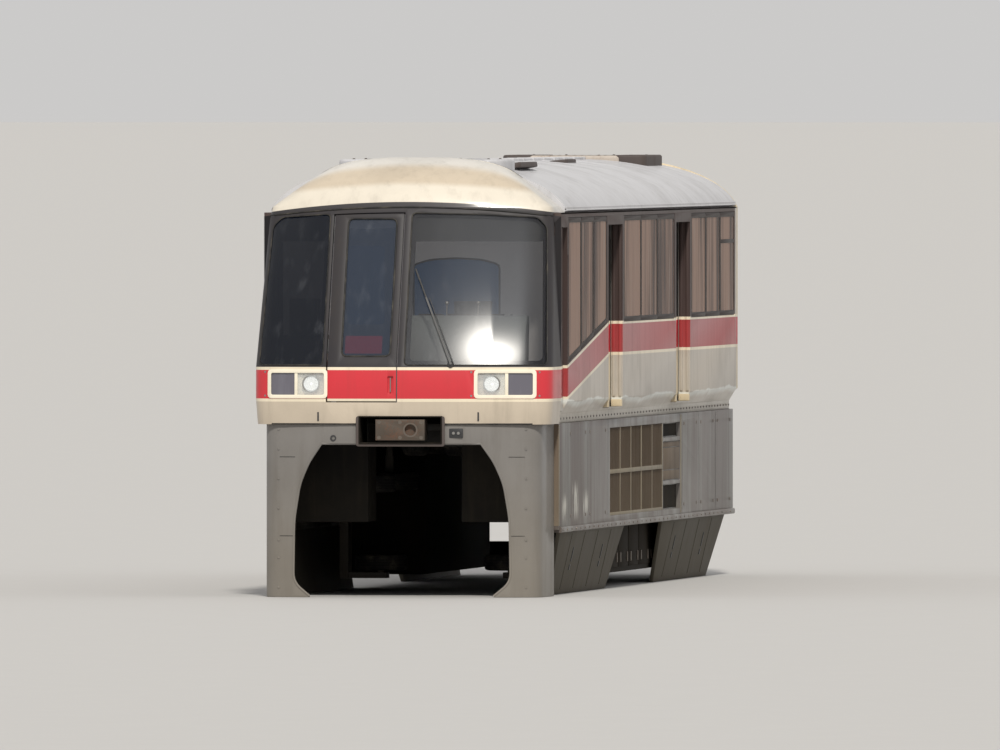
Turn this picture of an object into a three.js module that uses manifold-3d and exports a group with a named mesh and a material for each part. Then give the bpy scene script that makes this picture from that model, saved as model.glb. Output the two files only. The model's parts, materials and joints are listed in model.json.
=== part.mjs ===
// Straddle-beam monorail lead car, in millimetres.
// X is across the car, Y runs from the nose (-Y) to the rear (+Y), Z is up.
// The origin lies on the beam's running surface, on the centre line, at mid-length.
import * as THREE from 'three';
import { mergeVertices } from 'three/addons/utils/BufferGeometryUtils.js';
import Module from 'manifold-3d';

const wasm = await Module();
wasm.setup();

// Gap between pieces that touch.
const FIT = 0.3;

// Car body.
const HALF_WIDTH = 1519;
const NOSE_Y = -8200;
const BODY_FRONT = -7190;
const BODY_REAR = 7950;
const END_WALL_REAR = 8050;
const GANGWAY_FACE = 8150;
const COUPLER_REACH = 8200;
const SILL_Z = 350;
const FLOOR_Z = 470;
const EAVE_Z = 2490;
const CROWN_Z = 2995;
const WALL = 120;
const WALL_INNER = HALF_WIDTH - WALL;
const ROOF_THICK = 90;
const ROOF_STEPS = 10;
// Flat unit behind the cab, duct, flat unit at the rear.
const ROOF_UNITS = [
  { half: 850, front: -6600, rear: -5450, top: 3030 },
  { half: 130, front: -5450, rear: 6200, top: 3020 },
  { half: 760, front: 6200, rear: 7700, top: 3035 },
];

// The lower body side tucks in above the skirt.
const TUCK_TOP_Z = 570;
const TUCK_FOOT_Z = 440;
const TUCK_DEPTH = 80;

// Doors.
const DOOR_CENTRES = [-2630, 3200];
const DOOR_WIDTH = 1200;
const DOOR_HEAD_Z = 2350;
const LEAF = { inner: 1358, outer: 1392, overlap: 30, meet: 3, bottom: FLOOR_Z + 6, top: 2360, travel: 580 };
const TRACK = { inner: 1350, bottom: 2372, top: 2430, half: 1250 };
const CREW_DOOR = { front: -7160, rear: -6660, inner: 1440, outer: 1475, head: 2340 };
const CREW_SEAM = 8;
// Rear end: arch ring, gangway, and the end door's leaf and track.
const RING = { proud: 22, width: 60 };
const GANGWAY = { frameHalf: 520, frameBottom: 380, frameTop: 2420, doorHalf: 380, doorHead: 2330 };
const END_TRACK = { left: -1290, right: 440, depth: 60, bottom: 2372, top: 2420 };
const END_LEAF = {
  half: 420, front: BODY_REAR - 45, rear: BODY_REAR - 8, top: 2360, window: [-250, 250, 1300, 2200],
};
const DOOR_GLASS = 12;
const DOOR_GLASS_INSET = 6;

// Window ribbon: a rebate for the glass and a hole for each pane.
const GLASS = { bottom: 1345, top: 2440, thick: 14, holeInset: 75, mullion: 90 };
// Bays: rear edge of the crew door to door 1, door 1 to door 2, door 2 to the end.
const WINDOW_BAYS = [
  { name: '1', front: -6590, rear: -3350, panes: 3, frontBottom: 960 },
  { name: '2', front: -1910, rear: 2480, panes: 3, frontBottom: GLASS.bottom },
  { name: '3', front: 3920, rear: 7780, panes: 3, frontBottom: GLASS.bottom },
];

// Front mask: columns are height, half width at the rear and front, nose, bow and corner radius.
const MASK_REAR = -6690;
const MASK_WALL = 60;
const MASK_LEVELS = [
  [SILL_Z, 1500, 1500, -8185, 190, 190],
  [610, 1519, 1519, NOSE_Y, 200, 190],
  [930, 1519, 1519, -8190, 200, 190],
  [2460, 1519, 1450, -7538, 190, 130],
  [2550, 1447, 1425, -7500, 180, 120],
];
const DOME_LEVELS = [
  [2550, 1447, 1425, -7500, 180, 120],
  [2640, 1330, 1310, -7465, 180, 160],
  [2740, 1200, 1180, -7390, 170, 180],
  [2850, 1050, 1030, -7260, 150, 200],
  [2950, 880, 860, -7080, 120, 200],
  [3015, 640, 620, -6920, 80, 120],
  [3050, 300, 290, -6770, 30, 40],
];
const BROW_Z = 2550;
const BROW_RISE = 90;
const BROW_HALF = 1450;
const RAKE = Math.atan2(8190 - 7500, 2550 - 930);

// Front glass, emergency door and lamps, seen from the front.
const SEAM = 12;
const ESCAPE = { left: -760, right: -30, bottom: 573, top: 2495, thick: 40 };
const ESCAPE_WINDOW = { left: -610, right: -110, bottom: 1040, top: 2430 };
const SCREEN = { bottom: 950, top: 2475, outerFoot: 1470, outerHead: 1398, inset: 45, thick: 14 };
const LAMP = { inner: 770, outer: 1350, bottom: 635, top: 885, lens: 15 };
const POCKET = { half: 425, bottom: 155, top: 435, wall: 12, rear: -7600 };

// Lower front mask and side skirts.
const SKIRT_BOTTOM = -1400;
const LEDGE_Z = -730;
const APRON = { half: 1410, nose: -8170, bow: 190, corner: 170, rear: -7105, wall: 60 };
// Arch in the lower front: columns are half width and height.
const ARCH = [
  [940, SKIRT_BOTTOM], [1110, -1240], [1100, -610], [1040, -250], [940, -20], [810, POCKET.bottom],
];
const SKIRT = { outer: 1480, thick: 60, front: -7100, rear: BODY_REAR, lowInset: 157, lowThick: 40 };
const LEDGE = { proud: 22, half: 30, start: 90 };
// Slanted lower panels: front and rear at the ledge, and how far the foot is cut back at each end.
const LOW_PANELS = [
  { front: -6940, rear: -1510, frontCut: 440, rearCut: 440 },
  { front: 1730, rear: 7260, frontCut: 440, rearCut: 440 },
];
const LOUVRE = { front: -2790, rear: 1730, bottom: -640, top: 260, slats: 15, depth: 30 };
// Hatch column between the same heights: deep recesses at foot and head, a shallow panel between.
const HATCH = { front: 1770, rear: 3250, footHeight: 260, headHeight: 150, bar: 40, deep: 42, shallow: 14 };

// Underframe: side sills, recess over each coupler, and the boxes that hang beside the beam.
const SILL_INNER = 1290;
const SILL_FOOT = 200;
const SILL_FRONT = -7000;
const COUPLER_RECESS = 7560;
const BOX_INNER = 480;
const FLOOR_BOXES = [
  { front: SILL_FRONT, rear: -6350, foot: -650 },
  { front: -2400, rear: 2900, foot: -1250 },
  { front: 7020, rear: 7850, foot: -650 },
];

// Bogies, running wheels, guide wheels and stabilising wheels.
const BEAM_HALF = 400;
const BOGIE_CENTRES = [-4500, 5100];
const AXLE_SPACING = 1500;
const RUN_RADIUS = 485;
const RUN_WIDTH = 240;
const RUN_CENTRE = 215;
const GUIDE = { radius: 300, half: 90, z: -280, y: 900 };
const STABLE = { radius: 270, half: 80, z: -1100 };
const WHEEL_WELL = { half: 540, near: 220, far: 1420, top: 1040, wall: 40 };
const BENCH = { backHalf: 70, backHeight: 640, cushion: 90, stepWide: 190, stepHigh: 200, stepInset: 200 };
const PEDESTAL_INNER = 380;
const WHEEL_SEGMENTS = 20;
const SIDE_WHEEL_SEGMENTS = 16;

// Cab fittings.
const DESK = { left: 40, right: 1230, top: 1450 };
const LOCKER = { left: -1280, right: -790, front: -7800, rear: -7500, top: 1250, headTop: 1620 };
const CAB_SEAT = { x: 560, y: -7010, cushionHalf: 240, baseHalf: 200, backHalf: 220 };
const PARTITION = {
  front: -6640, rear: -6600, doorLeft: -860, doorRight: -240, doorHead: 2330,
  window: [[-60, 1380], [820, 1380], [820, 1960], [640, 2010], [380, 2025], [120, 2010], [-60, 1960]],
};
const COUPLER = { pivot: 7450, z: 295, headHalf: 250, headLength: 230, headHeight: 105, shankHalf: 60 };

const COLOURS = {
  cream: 0xe4d8c0, grey: 0xb2aba0, roof: 0xcac8cb, skirt: 0x8f8c86, apron: 0x93908a,
  glass: 0x1b1f28, red: 0xc93a44, tyre: 0x1a1a1a, steel: 0x6b6a68, frame: 0x3c3a38,
  lamp: 0xd8dde0, cab: 0x7d837f, seat: 0x34507a, equipment: 0x5a5550,
};

// Meshes and solids.
function toSolid(geometry) {
  const bare = geometry.clone();
  bare.deleteAttribute('normal');
  bare.deleteAttribute('uv');
  const merged = mergeVertices(bare, 1e-4);
  return new wasm.Manifold(new wasm.Mesh({
    numProp: 3,
    vertProperties: new Float32Array(merged.attributes.position.array),
    triVerts: new Uint32Array(merged.index.array),
  }));
}

function toGeometry(solid) {
  const mesh = solid.getMesh();
  const geometry = new THREE.BufferGeometry();
  geometry.setAttribute('position', new THREE.BufferAttribute(new Float32Array(mesh.vertProperties), 3));
  geometry.setIndex(new THREE.BufferAttribute(new Uint32Array(mesh.triVerts), 1));
  geometry.computeVertexNormals();
  return geometry;
}

function block(x0, x1, y0, y1, z0, z1) {
  const geometry = new THREE.BoxGeometry(x1 - x0, y1 - y0, z1 - z0);
  geometry.translate((x0 + x1) / 2, (y0 + y1) / 2, (z0 + z1) / 2);
  return toSolid(geometry);
}

function extruded(points, depth) {
  const shape = new THREE.Shape(points.map(([a, b]) => new THREE.Vector2(a, b)));
  return new THREE.ExtrudeGeometry(shape, { depth, bevelEnabled: false });
}

// An outline in X and Z, carried along Y.
function alongY(points, y0, y1) {
  const geometry = extruded(points, y1 - y0);
  geometry.rotateX(Math.PI / 2);
  geometry.translate(0, y1, 0);
  return toSolid(geometry);
}

// An outline in Y and Z, carried along X.
function alongX(points, x0, x1) {
  const geometry = extruded(points, x1 - x0);
  const turn = new THREE.Matrix4().makeBasis(
    new THREE.Vector3(0, 1, 0), new THREE.Vector3(0, 0, 1), new THREE.Vector3(1, 0, 0));
  geometry.applyMatrix4(turn);
  geometry.translate(x0, 0, 0);
  return toSolid(geometry);
}

function disc(radius, x, y, z0, z1, segments = SIDE_WHEEL_SEGMENTS) {
  const geometry = new THREE.CylinderGeometry(radius, radius, z1 - z0, segments);
  geometry.rotateX(Math.PI / 2);
  geometry.translate(x, y, (z0 + z1) / 2);
  return toSolid(geometry);
}

// A turned shape about Z, from a profile of radius and height.
function turned(profile, segments) {
  const geometry = new THREE.LatheGeometry(profile.map(([r, h]) => new THREE.Vector2(r, h)), segments);
  geometry.rotateX(Math.PI / 2);
  return toSolid(geometry);
}

function mirroredX(solid) {
  return solid.mirror([1, 0, 0]);
}

function onBothSides(solid) {
  return solid.add(mirroredX(solid));
}

// Triangles that close a section whose points mirror each other from both ends of its list.
function capTriangles(count) {
  const triangles = [];
  for (let i = 0; i + 1 < count - 1 - i; i += 1) {
    const [first, second, third, fourth] = [i, i + 1, count - 2 - i, count - 1 - i];
    triangles.push([first, second, fourth]);
    if (second !== third) {
      triangles.push([second, third, fourth]);
    }
  }
  return triangles;
}

// A solid through horizontal sections that all have the same number of points.
function loft(sections) {
  const count = sections[0].points.length;
  const vertices = sections.flatMap(({ z, points }) => points.flatMap(([x, y]) => [x, y, z]));
  const triangles = [];
  for (let level = 0; level + 1 < sections.length; level += 1) {
    for (let i = 0; i < count; i += 1) {
      const next = (i + 1) % count;
      const [a, b] = [level * count + i, level * count + next];
      triangles.push(a, b, b + count, a, b + count, a + count);
    }
  }
  const top = (sections.length - 1) * count;
  capTriangles(count).forEach(([a, b, c]) => triangles.push(a, c, b, top + a, top + b, top + c));
  return new wasm.Manifold(new wasm.Mesh({
    numProp: 3,
    vertProperties: new Float32Array(vertices),
    triVerts: new Uint32Array(triangles),
  }));
}

// Body outlines.
function roofCurve(halfWidth, crown, steps = ROOF_STEPS) {
  const rise = crown - EAVE_Z;
  const curve = new THREE.CubicBezierCurve(
    new THREE.Vector2(halfWidth, EAVE_Z),
    new THREE.Vector2(halfWidth - 130, EAVE_Z + 0.61 * rise),
    new THREE.Vector2(0.52 * halfWidth, crown),
    new THREE.Vector2(0, crown));
  return curve.getPoints(steps).map((p) => [p.x, p.y]);
}

function roofOutline(halfWidth, crown) {
  const right = roofCurve(halfWidth, crown);
  const left = right.slice(0, -1).reverse().map(([x, z]) => [-x, z]);
  return [...right, ...left];
}

// Plan of the front mask: straight side, rounded corner, bowed front.
function maskPlan([z, rearHalf, frontHalf, nose, bow, corner], inset, rear) {
  const half = frontHalf - inset;
  const tip = nose + inset;
  const front = (x) => tip + bow * (x / half) ** 2;
  const radius = corner - 0.5 * Math.min(inset, corner);
  const cornerStart = new THREE.Vector2(half, front(half) + radius);
  const cornerEnd = new THREE.Vector2(half - radius, front(half - radius));
  const bend = new THREE.QuadraticBezierCurve(cornerStart, new THREE.Vector2(half, front(half)), cornerEnd);
  const right = [[rearHalf - inset, rear], ...bend.getPoints(4).map((p) => [p.x, p.y])];
  [0.66, 0.33].forEach((part) => {
    const x = (half - radius) * part;
    right.push([x, front(x)]);
  });
  const left = right.map(([x, y]) => [-x, y]);
  return { z, points: [...left, [0, tip], ...right.reverse()] };
}

function maskSolid(levels, inset, rear) {
  return loft(levels.map((level) => maskPlan(level, inset, rear)));
}

// What is left of the mask inside a wall, carried past both ends so that it cuts them open.
function maskHollow(levels, inset, rear) {
  const longer = levels.map((level) => [...level]);
  longer[0][0] -= 20;
  longer[longer.length - 1][0] += 20;
  return maskSolid(longer, inset, rear + 1);
}

// The brow line between the front glass and the dome is an arch in X and Z.
function belowBrow(raise = 0) {
  const side = HALF_WIDTH + 100;
  const steps = 12;
  const arch = [];
  for (let i = 0; i <= steps; i += 1) {
    const x = side - (2 * side * i) / steps;
    arch.push([x, BROW_Z + raise - BROW_RISE * (x / BROW_HALF) ** 2]);
  }
  return alongY([[-side, SKIRT_BOTTOM], [side, SKIRT_BOTTOM], ...arch], NOSE_Y - 100, MASK_REAR + 100);
}

// Front mask, glass and lamps.
function frontCutter(points, margin = 0) {
  const middle = (values) => values.reduce((sum, value) => sum + value, 0) / values.length;
  const [x0, z0] = [middle(points.map(([x]) => x)), middle(points.map(([, z]) => z))];
  const moved = points.map(([x, z]) => [x - Math.sign(x - x0) * margin, z - Math.sign(z - z0) * margin]);
  return alongY(moved, NOSE_Y - 50, BODY_FRONT);
}

function screenOutline(side) {
  const inner = side > 0 ? ESCAPE.right + 70 : -ESCAPE.left + 40;
  const points = [
    [inner, SCREEN.bottom], [SCREEN.outerFoot, SCREEN.bottom],
    [SCREEN.outerHead + 5, SCREEN.top - 130], [SCREEN.outerHead - 90, SCREEN.top - 30],
    [700, SCREEN.top], [inner, SCREEN.top + 15],
  ].filter(([x]) => x >= inner);
  const placed = points.map(([x, z]) => [side * x, z]);
  return side > 0 ? placed : placed.reverse();
}

function screenPane(side) {
  const band = maskSolid(MASK_LEVELS, FIT, BODY_FRONT)
    .subtract(maskHollow(MASK_LEVELS, SCREEN.thick, BODY_FRONT));
  return band.intersect(frontCutter(screenOutline(side), FIT));
}

// The opening of the emergency door is cut square to the raked glass.
function escapeCutter(margin) {
  const reach = 3200;
  const width = [ESCAPE.left + margin, ESCAPE.right - margin];
  const slab = block(width[0], width[1], -400, 400, -reach, 0)
    .rotate([-THREE.MathUtils.radToDeg(RAKE), 0, 0])
    .translate([0, -8190 + (ESCAPE.top - margin - 930) * Math.tan(RAKE), ESCAPE.top - margin]);
  return slab.intersect(block(-1000, 1000, NOSE_Y - 900, BODY_FRONT, ESCAPE.bottom + margin, EAVE_Z + 60));
}

function hingePoint(z) {
  const surface = -8190 + (z - 930) * Math.tan(RAKE) + 200 * (ESCAPE.left / HALF_WIDTH) ** 2;
  return [ESCAPE.left + SEAM / 2 + 0.5, surface + 7, z];
}

function hingeKnuckle(z, length, radius) {
  const [x, y] = hingePoint(z);
  return toSolid(new THREE.CylinderGeometry(radius, radius, length, 10))
    .rotate([90 - THREE.MathUtils.radToDeg(RAKE), 0, 0])
    .translate([x, y, z]);
}

function escapeDoor() {
  const slab = maskSolid(MASK_LEVELS, 0, BODY_FRONT)
    .subtract(maskHollow(MASK_LEVELS, ESCAPE.thick, BODY_FRONT))
    .intersect(escapeCutter(SEAM));
  const { left, right, bottom, top } = ESCAPE_WINDOW;
  const window = alongY([[left, bottom], [right, bottom], [right, top], [left, top]], NOSE_Y - 50, BODY_FRONT)
    .subtract(maskSolid(MASK_LEVELS, DOOR_GLASS_INSET, BODY_FRONT)
      .subtract(maskHollow(MASK_LEVELS, DOOR_GLASS_INSET + DOOR_GLASS, BODY_FRONT)));
  return [1150, 2250].reduce((all, z) => all.add(hingeKnuckle(z, 140, 6)), slab.subtract(window));
}

function lampBlock(side, margin, back) {
  const x = [side * (LAMP.inner + margin), side * (LAMP.outer - margin)].sort((a, b) => a - b);
  return block(x[0], x[1], NOSE_Y - 50, NOSE_Y + 250 + back, LAMP.bottom + margin, LAMP.top - margin);
}

function headlamp(side) {
  return maskSolid(MASK_LEVELS, LAMP.lens, BODY_FRONT)
    .intersect(lampBlock(side, FIT, 0))
    .intersect(block(-HALF_WIDTH, HALF_WIDTH, NOSE_Y, NOSE_Y + 250, LAMP.bottom, LAMP.top));
}

function maskNose() {
  let shell = maskSolid(MASK_LEVELS, 0, BODY_FRONT - FIT)
    .subtract(maskHollow(MASK_LEVELS, MASK_WALL, BODY_FRONT))
    .intersect(belowBrow());
  const rebate = maskSolid(MASK_LEVELS, -5, BODY_FRONT)
    .subtract(maskHollow(MASK_LEVELS, SCREEN.thick + FIT, BODY_FRONT));
  [1, -1].forEach((side) => {
    shell = shell.subtract(rebate.intersect(frontCutter(screenOutline(side))));
    shell = shell.subtract(frontCutter(screenOutline(side), SCREEN.inset));
    shell = shell.subtract(lampBlock(side, 0, 0));
  });
  shell = shell.subtract(escapeCutter(0));
  const pocket = block(-POCKET.half - FIT, POCKET.half + FIT, NOSE_Y - 50, POCKET.rear,
    SILL_Z - 50, POCKET.top + FIT);
  return shell.subtract(pocket);
}

function lampHousings() {
  return [1, -1].map((side) => {
    const x = [side * (LAMP.inner - 30), side * (LAMP.outer + 20)].sort((a, b) => a - b);
    const bucket = block(x[0], x[1], -8140, -7880, LAMP.bottom - 30, LAMP.top + 30)
      .subtract(lampBlock(side, 0, 0));
    return bucket.intersect(maskSolid(MASK_LEVELS, MASK_WALL - 5, BODY_FRONT));
  });
}

function cabNose() {
  return lampHousings().reduce((all, housing) => all.add(housing), maskNose());
}

function cabDome() {
  const outer = maskSolid([MASK_LEVELS[3], ...DOME_LEVELS], 0, MASK_REAR - FIT);
  const inner = maskSolid([
    [2400, 1440, 1400, -7560, 180, 120], ...DOME_LEVELS.map(([z, ...rest]) => [z - 45, ...rest]),
  ], MASK_WALL, MASK_REAR + 1);
  const above = block(-HALF_WIDTH, HALF_WIDTH, -7700, BODY_FRONT, 2400, 3100).subtract(belowBrow(FIT))
    .add(block(-HALF_WIDTH, HALF_WIDTH, BODY_FRONT, MASK_REAR, EAVE_Z + FIT, 3100));
  return outer.subtract(inner).intersect(above);
}

// Lower front mask with its arch and the coupler pocket.
function apronPlan(z, inset) {
  const level = [z, APRON.half + 25, APRON.half, APRON.nose, APRON.bow, APRON.corner];
  return maskPlan(level, inset, inset > 0 ? APRON.rear + 1 : APRON.rear);
}

function cabSkirt() {
  const outer = loft([apronPlan(SKIRT_BOTTOM, 0), apronPlan(SILL_Z - FIT, 0)]);
  const inner = loft([apronPlan(SKIRT_BOTTOM - 1, APRON.wall), apronPlan(SILL_Z + 10, APRON.wall)]);
  const archLeft = [...ARCH].reverse().map(([x, z]) => [-x, z]);
  const foot = [[-ARCH[0][0], SKIRT_BOTTOM - 10], [ARCH[0][0], SKIRT_BOTTOM - 10]];
  const arch = alongY([...foot, ...ARCH, ...archLeft], NOSE_Y - 50, NOSE_Y + 700);
  const sleeve = block(-POCKET.half, POCKET.half, -8195, POCKET.rear, POCKET.bottom, POCKET.top)
    .subtract(block(-POCKET.half + POCKET.wall, POCKET.half - POCKET.wall, NOSE_Y - 50, 0,
      POCKET.bottom + POCKET.wall, POCKET.top - POCKET.wall));
  const mouth = block(-POCKET.half, POCKET.half, NOSE_Y - 50, POCKET.rear, POCKET.bottom, POCKET.top);
  return outer.subtract(inner).subtract(arch).subtract(mouth).add(sleeve);
}

// Side walls.
function bayOutline(bay, inset) {
  const [front, rear] = [bay.front + inset, bay.rear - inset];
  return [[front, bay.frontBottom + inset], [rear, GLASS.bottom + inset], [rear, GLASS.top - inset],
    [front, GLASS.top - inset]];
}

function bayHoles(bay) {
  const inset = GLASS.holeInset;
  const span = bay.rear - bay.front - 2 * inset;
  const width = (span - (bay.panes - 1) * GLASS.mullion) / bay.panes;
  const frame = alongX(bayOutline(bay, inset), WALL_INNER - 10, HALF_WIDTH + 10);
  let holes = null;
  for (let i = 0; i < bay.panes; i += 1) {
    const front = bay.front + inset + i * (width + GLASS.mullion);
    const strip = block(WALL_INNER - 10, HALF_WIDTH + 10, front, front + width, 0, EAVE_Z);
    const hole = strip.intersect(frame);
    holes = holes ? holes.add(hole) : hole;
  }
  return holes;
}

function doorway(front, rear, head) {
  return block(WALL_INNER - 10, HALF_WIDTH + 10, front, rear, FLOOR_Z, head);
}

function sideWall() {
  const foot = HALF_WIDTH - TUCK_DEPTH;
  const section = [
    [WALL_INNER, SILL_Z], [foot, SILL_Z], [foot, TUCK_FOOT_Z], [HALF_WIDTH, TUCK_TOP_Z],
    [HALF_WIDTH, EAVE_Z], [WALL_INNER, EAVE_Z],
  ];
  let wall = alongY(section, BODY_FRONT, BODY_REAR);
  DOOR_CENTRES.forEach((centre) => {
    wall = wall.subtract(doorway(centre - DOOR_WIDTH / 2, centre + DOOR_WIDTH / 2, DOOR_HEAD_Z));
    wall = wall.add(block(TRACK.inner, WALL_INNER + 1, centre - TRACK.half, centre + TRACK.half,
      TRACK.bottom, TRACK.top));
  });
  wall = wall.subtract(doorway(CREW_DOOR.front, CREW_DOOR.rear, CREW_DOOR.head));
  WINDOW_BAYS.forEach((bay) => {
    wall = wall.subtract(alongX(bayOutline(bay, 0), HALF_WIDTH - GLASS.thick - FIT, HALF_WIDTH + 10));
    wall = wall.subtract(bayHoles(bay));
  });
  return wall;
}

function sideGlass(bay) {
  return alongX(bayOutline(bay, FIT), HALF_WIDTH - GLASS.thick, HALF_WIDTH - 1);
}

// A door's window: the leaf is cut back on both faces to the thickness of its glass.
function glazed(leaf, [thinAxis, low, high], window) {
  const middle = (low + high) / 2;
  const cuts = [[low - 5, middle - DOOR_GLASS / 2], [middle + DOOR_GLASS / 2, high + 5]];
  return cuts.reduce((all, [from, to]) => {
    const [a, b, c, d] = window;
    const cut = thinAxis === 'x' ? block(from, to, a, b, c, d) : block(a, b, from, to, c, d);
    return all.subtract(cut);
  }, leaf);
}

// A door leaf, built about its own middle in Y.
function doorLeaf() {
  const half = (DOOR_WIDTH / 2 + LEAF.overlap - LEAF.meet) / 2;
  const panel = glazed(block(LEAF.inner, LEAF.outer, -half, half, LEAF.bottom, LEAF.top),
    ['x', LEAF.inner, LEAF.outer], [-half + 110, half - 110, 1290, 2230]);
  const hangers = [-0.6, 0.6].map((part) => block(LEAF.inner, LEAF.outer, half * part - 60, half * part + 60,
    LEAF.top - 1, TRACK.bottom - FIT));
  return hangers.reduce((all, hanger) => all.add(hanger), panel);
}

// The crew door is built about its hinge line.
function crewDoor() {
  const width = CREW_DOOR.rear - CREW_DOOR.front - 2 * CREW_SEAM;
  const thick = CREW_DOOR.outer - CREW_DOOR.inner;
  const panel = glazed(block(0, thick, -width, 0, FLOOR_Z + 6, CREW_DOOR.head - CREW_SEAM),
    ['x', 0, thick], [-width + 90, -90, 1330, 2240]);
  const knuckles = [800, 2000].map((z) => disc(CREW_SEAM - FIT, 0, 0, z - 60, z + 60, 10));
  return knuckles.reduce((all, knuckle) => all.add(knuckle), panel);
}

function roofShell() {
  const outer = alongY(roofOutline(HALF_WIDTH, CROWN_Z), MASK_REAR, BODY_REAR);
  const arch = roofOutline(WALL_INNER, CROWN_Z - ROOF_THICK);
  const ceiling = arch.map(([x, z]) => [x, z === EAVE_Z ? z - 1 : z]);
  const inner = alongY(ceiling, MASK_REAR - 1, BODY_REAR + 1);
  return outer.subtract(inner).intersect(block(-1600, 1600, MASK_REAR, BODY_REAR, EAVE_Z + FIT, 3200));
}

// A flat unit with sloped upper edges, deep enough to be cut to the roof's curve.
function roofUnit({ half, front, rear, top }) {
  const [depth, drop, slope] = [160, 25, 40];
  const section = [
    [-half, top - depth], [half, top - depth], [half, top - drop], [half - slope, top],
    [slope - half, top], [-half, top - drop],
  ];
  return alongY(section, front, rear + 1);
}

function roofEquipment() {
  const roof = alongY(roofOutline(HALF_WIDTH + FIT, CROWN_Z + FIT), MASK_REAR - 10, BODY_REAR + 10);
  return ROOF_UNITS.map(roofUnit).reduce((all, unit) => all.add(unit)).subtract(roof);
}

// Rear end wall with its arch ring and the gangway frame.
function rearEndWall() {
  const { frameHalf, frameBottom, frameTop, doorHalf, doorHead } = GANGWAY;
  const foot = FLOOR_Z + FIT;
  const outline = [
    [WALL_INNER, foot], [HALF_WIDTH, TUCK_TOP_Z], ...roofOutline(HALF_WIDTH, CROWN_Z),
    [-HALF_WIDTH, TUCK_TOP_Z], [-WALL_INNER, foot],
  ];
  const plate = alongY(outline, BODY_REAR + FIT, END_WALL_REAR);
  const crown = roofOutline(HALF_WIDTH, CROWN_Z + RING.proud);
  const ring = alongY(crown, END_WALL_REAR - RING.width, END_WALL_REAR);
  const frame = block(-frameHalf, frameHalf, END_WALL_REAR - 1, GANGWAY_FACE, frameBottom, frameTop);
  const opening = block(-doorHalf, doorHalf, BODY_REAR - 10, GANGWAY_FACE + 10, FLOOR_Z, doorHead);
  const notchHalf = POCKET.half + 10;
  const notch = block(-notchHalf, notchHalf, BODY_REAR, GANGWAY_FACE + 10, SILL_Z, POCKET.top + 1);
  const track = block(END_TRACK.left, END_TRACK.right, BODY_REAR - END_TRACK.depth, BODY_REAR + FIT + 1,
    END_TRACK.bottom, END_TRACK.top);
  return plate.add(ring).add(frame).subtract(opening).subtract(notch).add(track);
}

function endDoor() {
  const { half, front, rear, top, window } = END_LEAF;
  const panel = glazed(block(-half, half, front, rear, LEAF.bottom, top), ['y', front, rear], window);
  return panel.add(onBothSides(block(230, 330, front, rear, top - 10, END_TRACK.bottom - FIT)));
}

// Underframe: floor, side sills, wheel wells, bolsters and the boxes that hang beside the beam.
function underframe() {
  const floorHalf = WALL_INNER - FIT;
  let frame = block(-floorHalf, floorHalf, BODY_FRONT - 1, END_WALL_REAR - 2, SILL_Z, FLOOR_Z);
  const lowest = [300, ...MASK_LEVELS[0].slice(1)];
  const front = maskSolid([lowest, ...MASK_LEVELS.slice(0, 2)], MASK_WALL + FIT, BODY_FRONT + 1)
    .intersect(block(-HALF_WIDTH, HALF_WIDTH, NOSE_Y, BODY_FRONT, SILL_Z, FLOOR_Z));
  const sill = block(SILL_INNER, floorHalf, SILL_FRONT, BODY_REAR, SILL_FOOT, SILL_Z + 1);
  frame = frame.add(front).add(onBothSides(sill));
  const { half, near, far } = WHEEL_WELL;
  BOGIE_CENTRES.forEach((centre) => [-1, 1].forEach((end) => {
    const [y0, y1] = [centre + end * near, centre + end * far].sort((a, b) => a - b);
    frame = frame.subtract(block(-half, half, y0, y1, SILL_Z - 10, FLOOR_Z + 10));
  }));
  const recess = POCKET.half + 10;
  [[NOSE_Y - 10, -COUPLER_RECESS], [COUPLER_RECESS, COUPLER_REACH]].forEach(([y0, y1]) => {
    frame = frame.subtract(block(-recess, recess, y0, y1, SILL_Z - 10, POCKET.top + FIT));
  });
  FLOOR_BOXES.forEach((box) => {
    frame = frame.add(onBothSides(block(BOX_INNER, SILL_INNER, box.front, box.rear, box.foot, SILL_Z + 1)));
  });
  return frame;
}

// Wheel housing in the saloon with its back-to-back bench, built about the bogie centre.
function wheelHousing() {
  const { half, far, top, wall } = WHEEL_WELL;
  const { backHalf, backHeight, cushion, stepWide, stepHigh, stepInset } = BENCH;
  const [side, lid] = [half + wall, top + wall];
  const box = block(-side, side, -far - wall, far + wall, FLOOR_Z + FIT, lid)
    .subtract(block(-half, half, -far, far, FLOOR_Z - 10, top));
  const seats = onBothSides(block(backHalf, side, -far, far, lid - 1, lid + cushion));
  const back = block(-backHalf, backHalf, -far, far, lid - 1, lid + backHeight);
  const steps = onBothSides(block(side - 1, side + stepWide, stepInset - far, far - stepInset,
    FLOOR_Z + FIT, FLOOR_Z + stepHigh));
  return box.add(seats).add(back).add(steps);
}

// Louvres: an opening in the skirt, its upright slats and a bar across the middle.
function louvres(skirt) {
  const { front, rear, bottom, top, slats, depth } = LOUVRE;
  const { outer } = SKIRT;
  const pitch = (rear - front) / slats;
  const [back, slatHalf, barHalf] = [outer - depth - 5, 0.28 * pitch, 22];
  let result = skirt.subtract(block(outer - depth, outer + 10, front, rear, bottom, top));
  for (let i = 0; i < slats; i += 1) {
    const y = front + (i + 0.5) * pitch;
    result = result.add(block(back, outer - 6, y - slatHalf, y + slatHalf, bottom - 1, top + 1));
  }
  const middle = (bottom + top) / 2;
  return result.add(block(back, outer - 2, front - 1, rear + 1, middle - barHalf, middle + barHalf));
}

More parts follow.
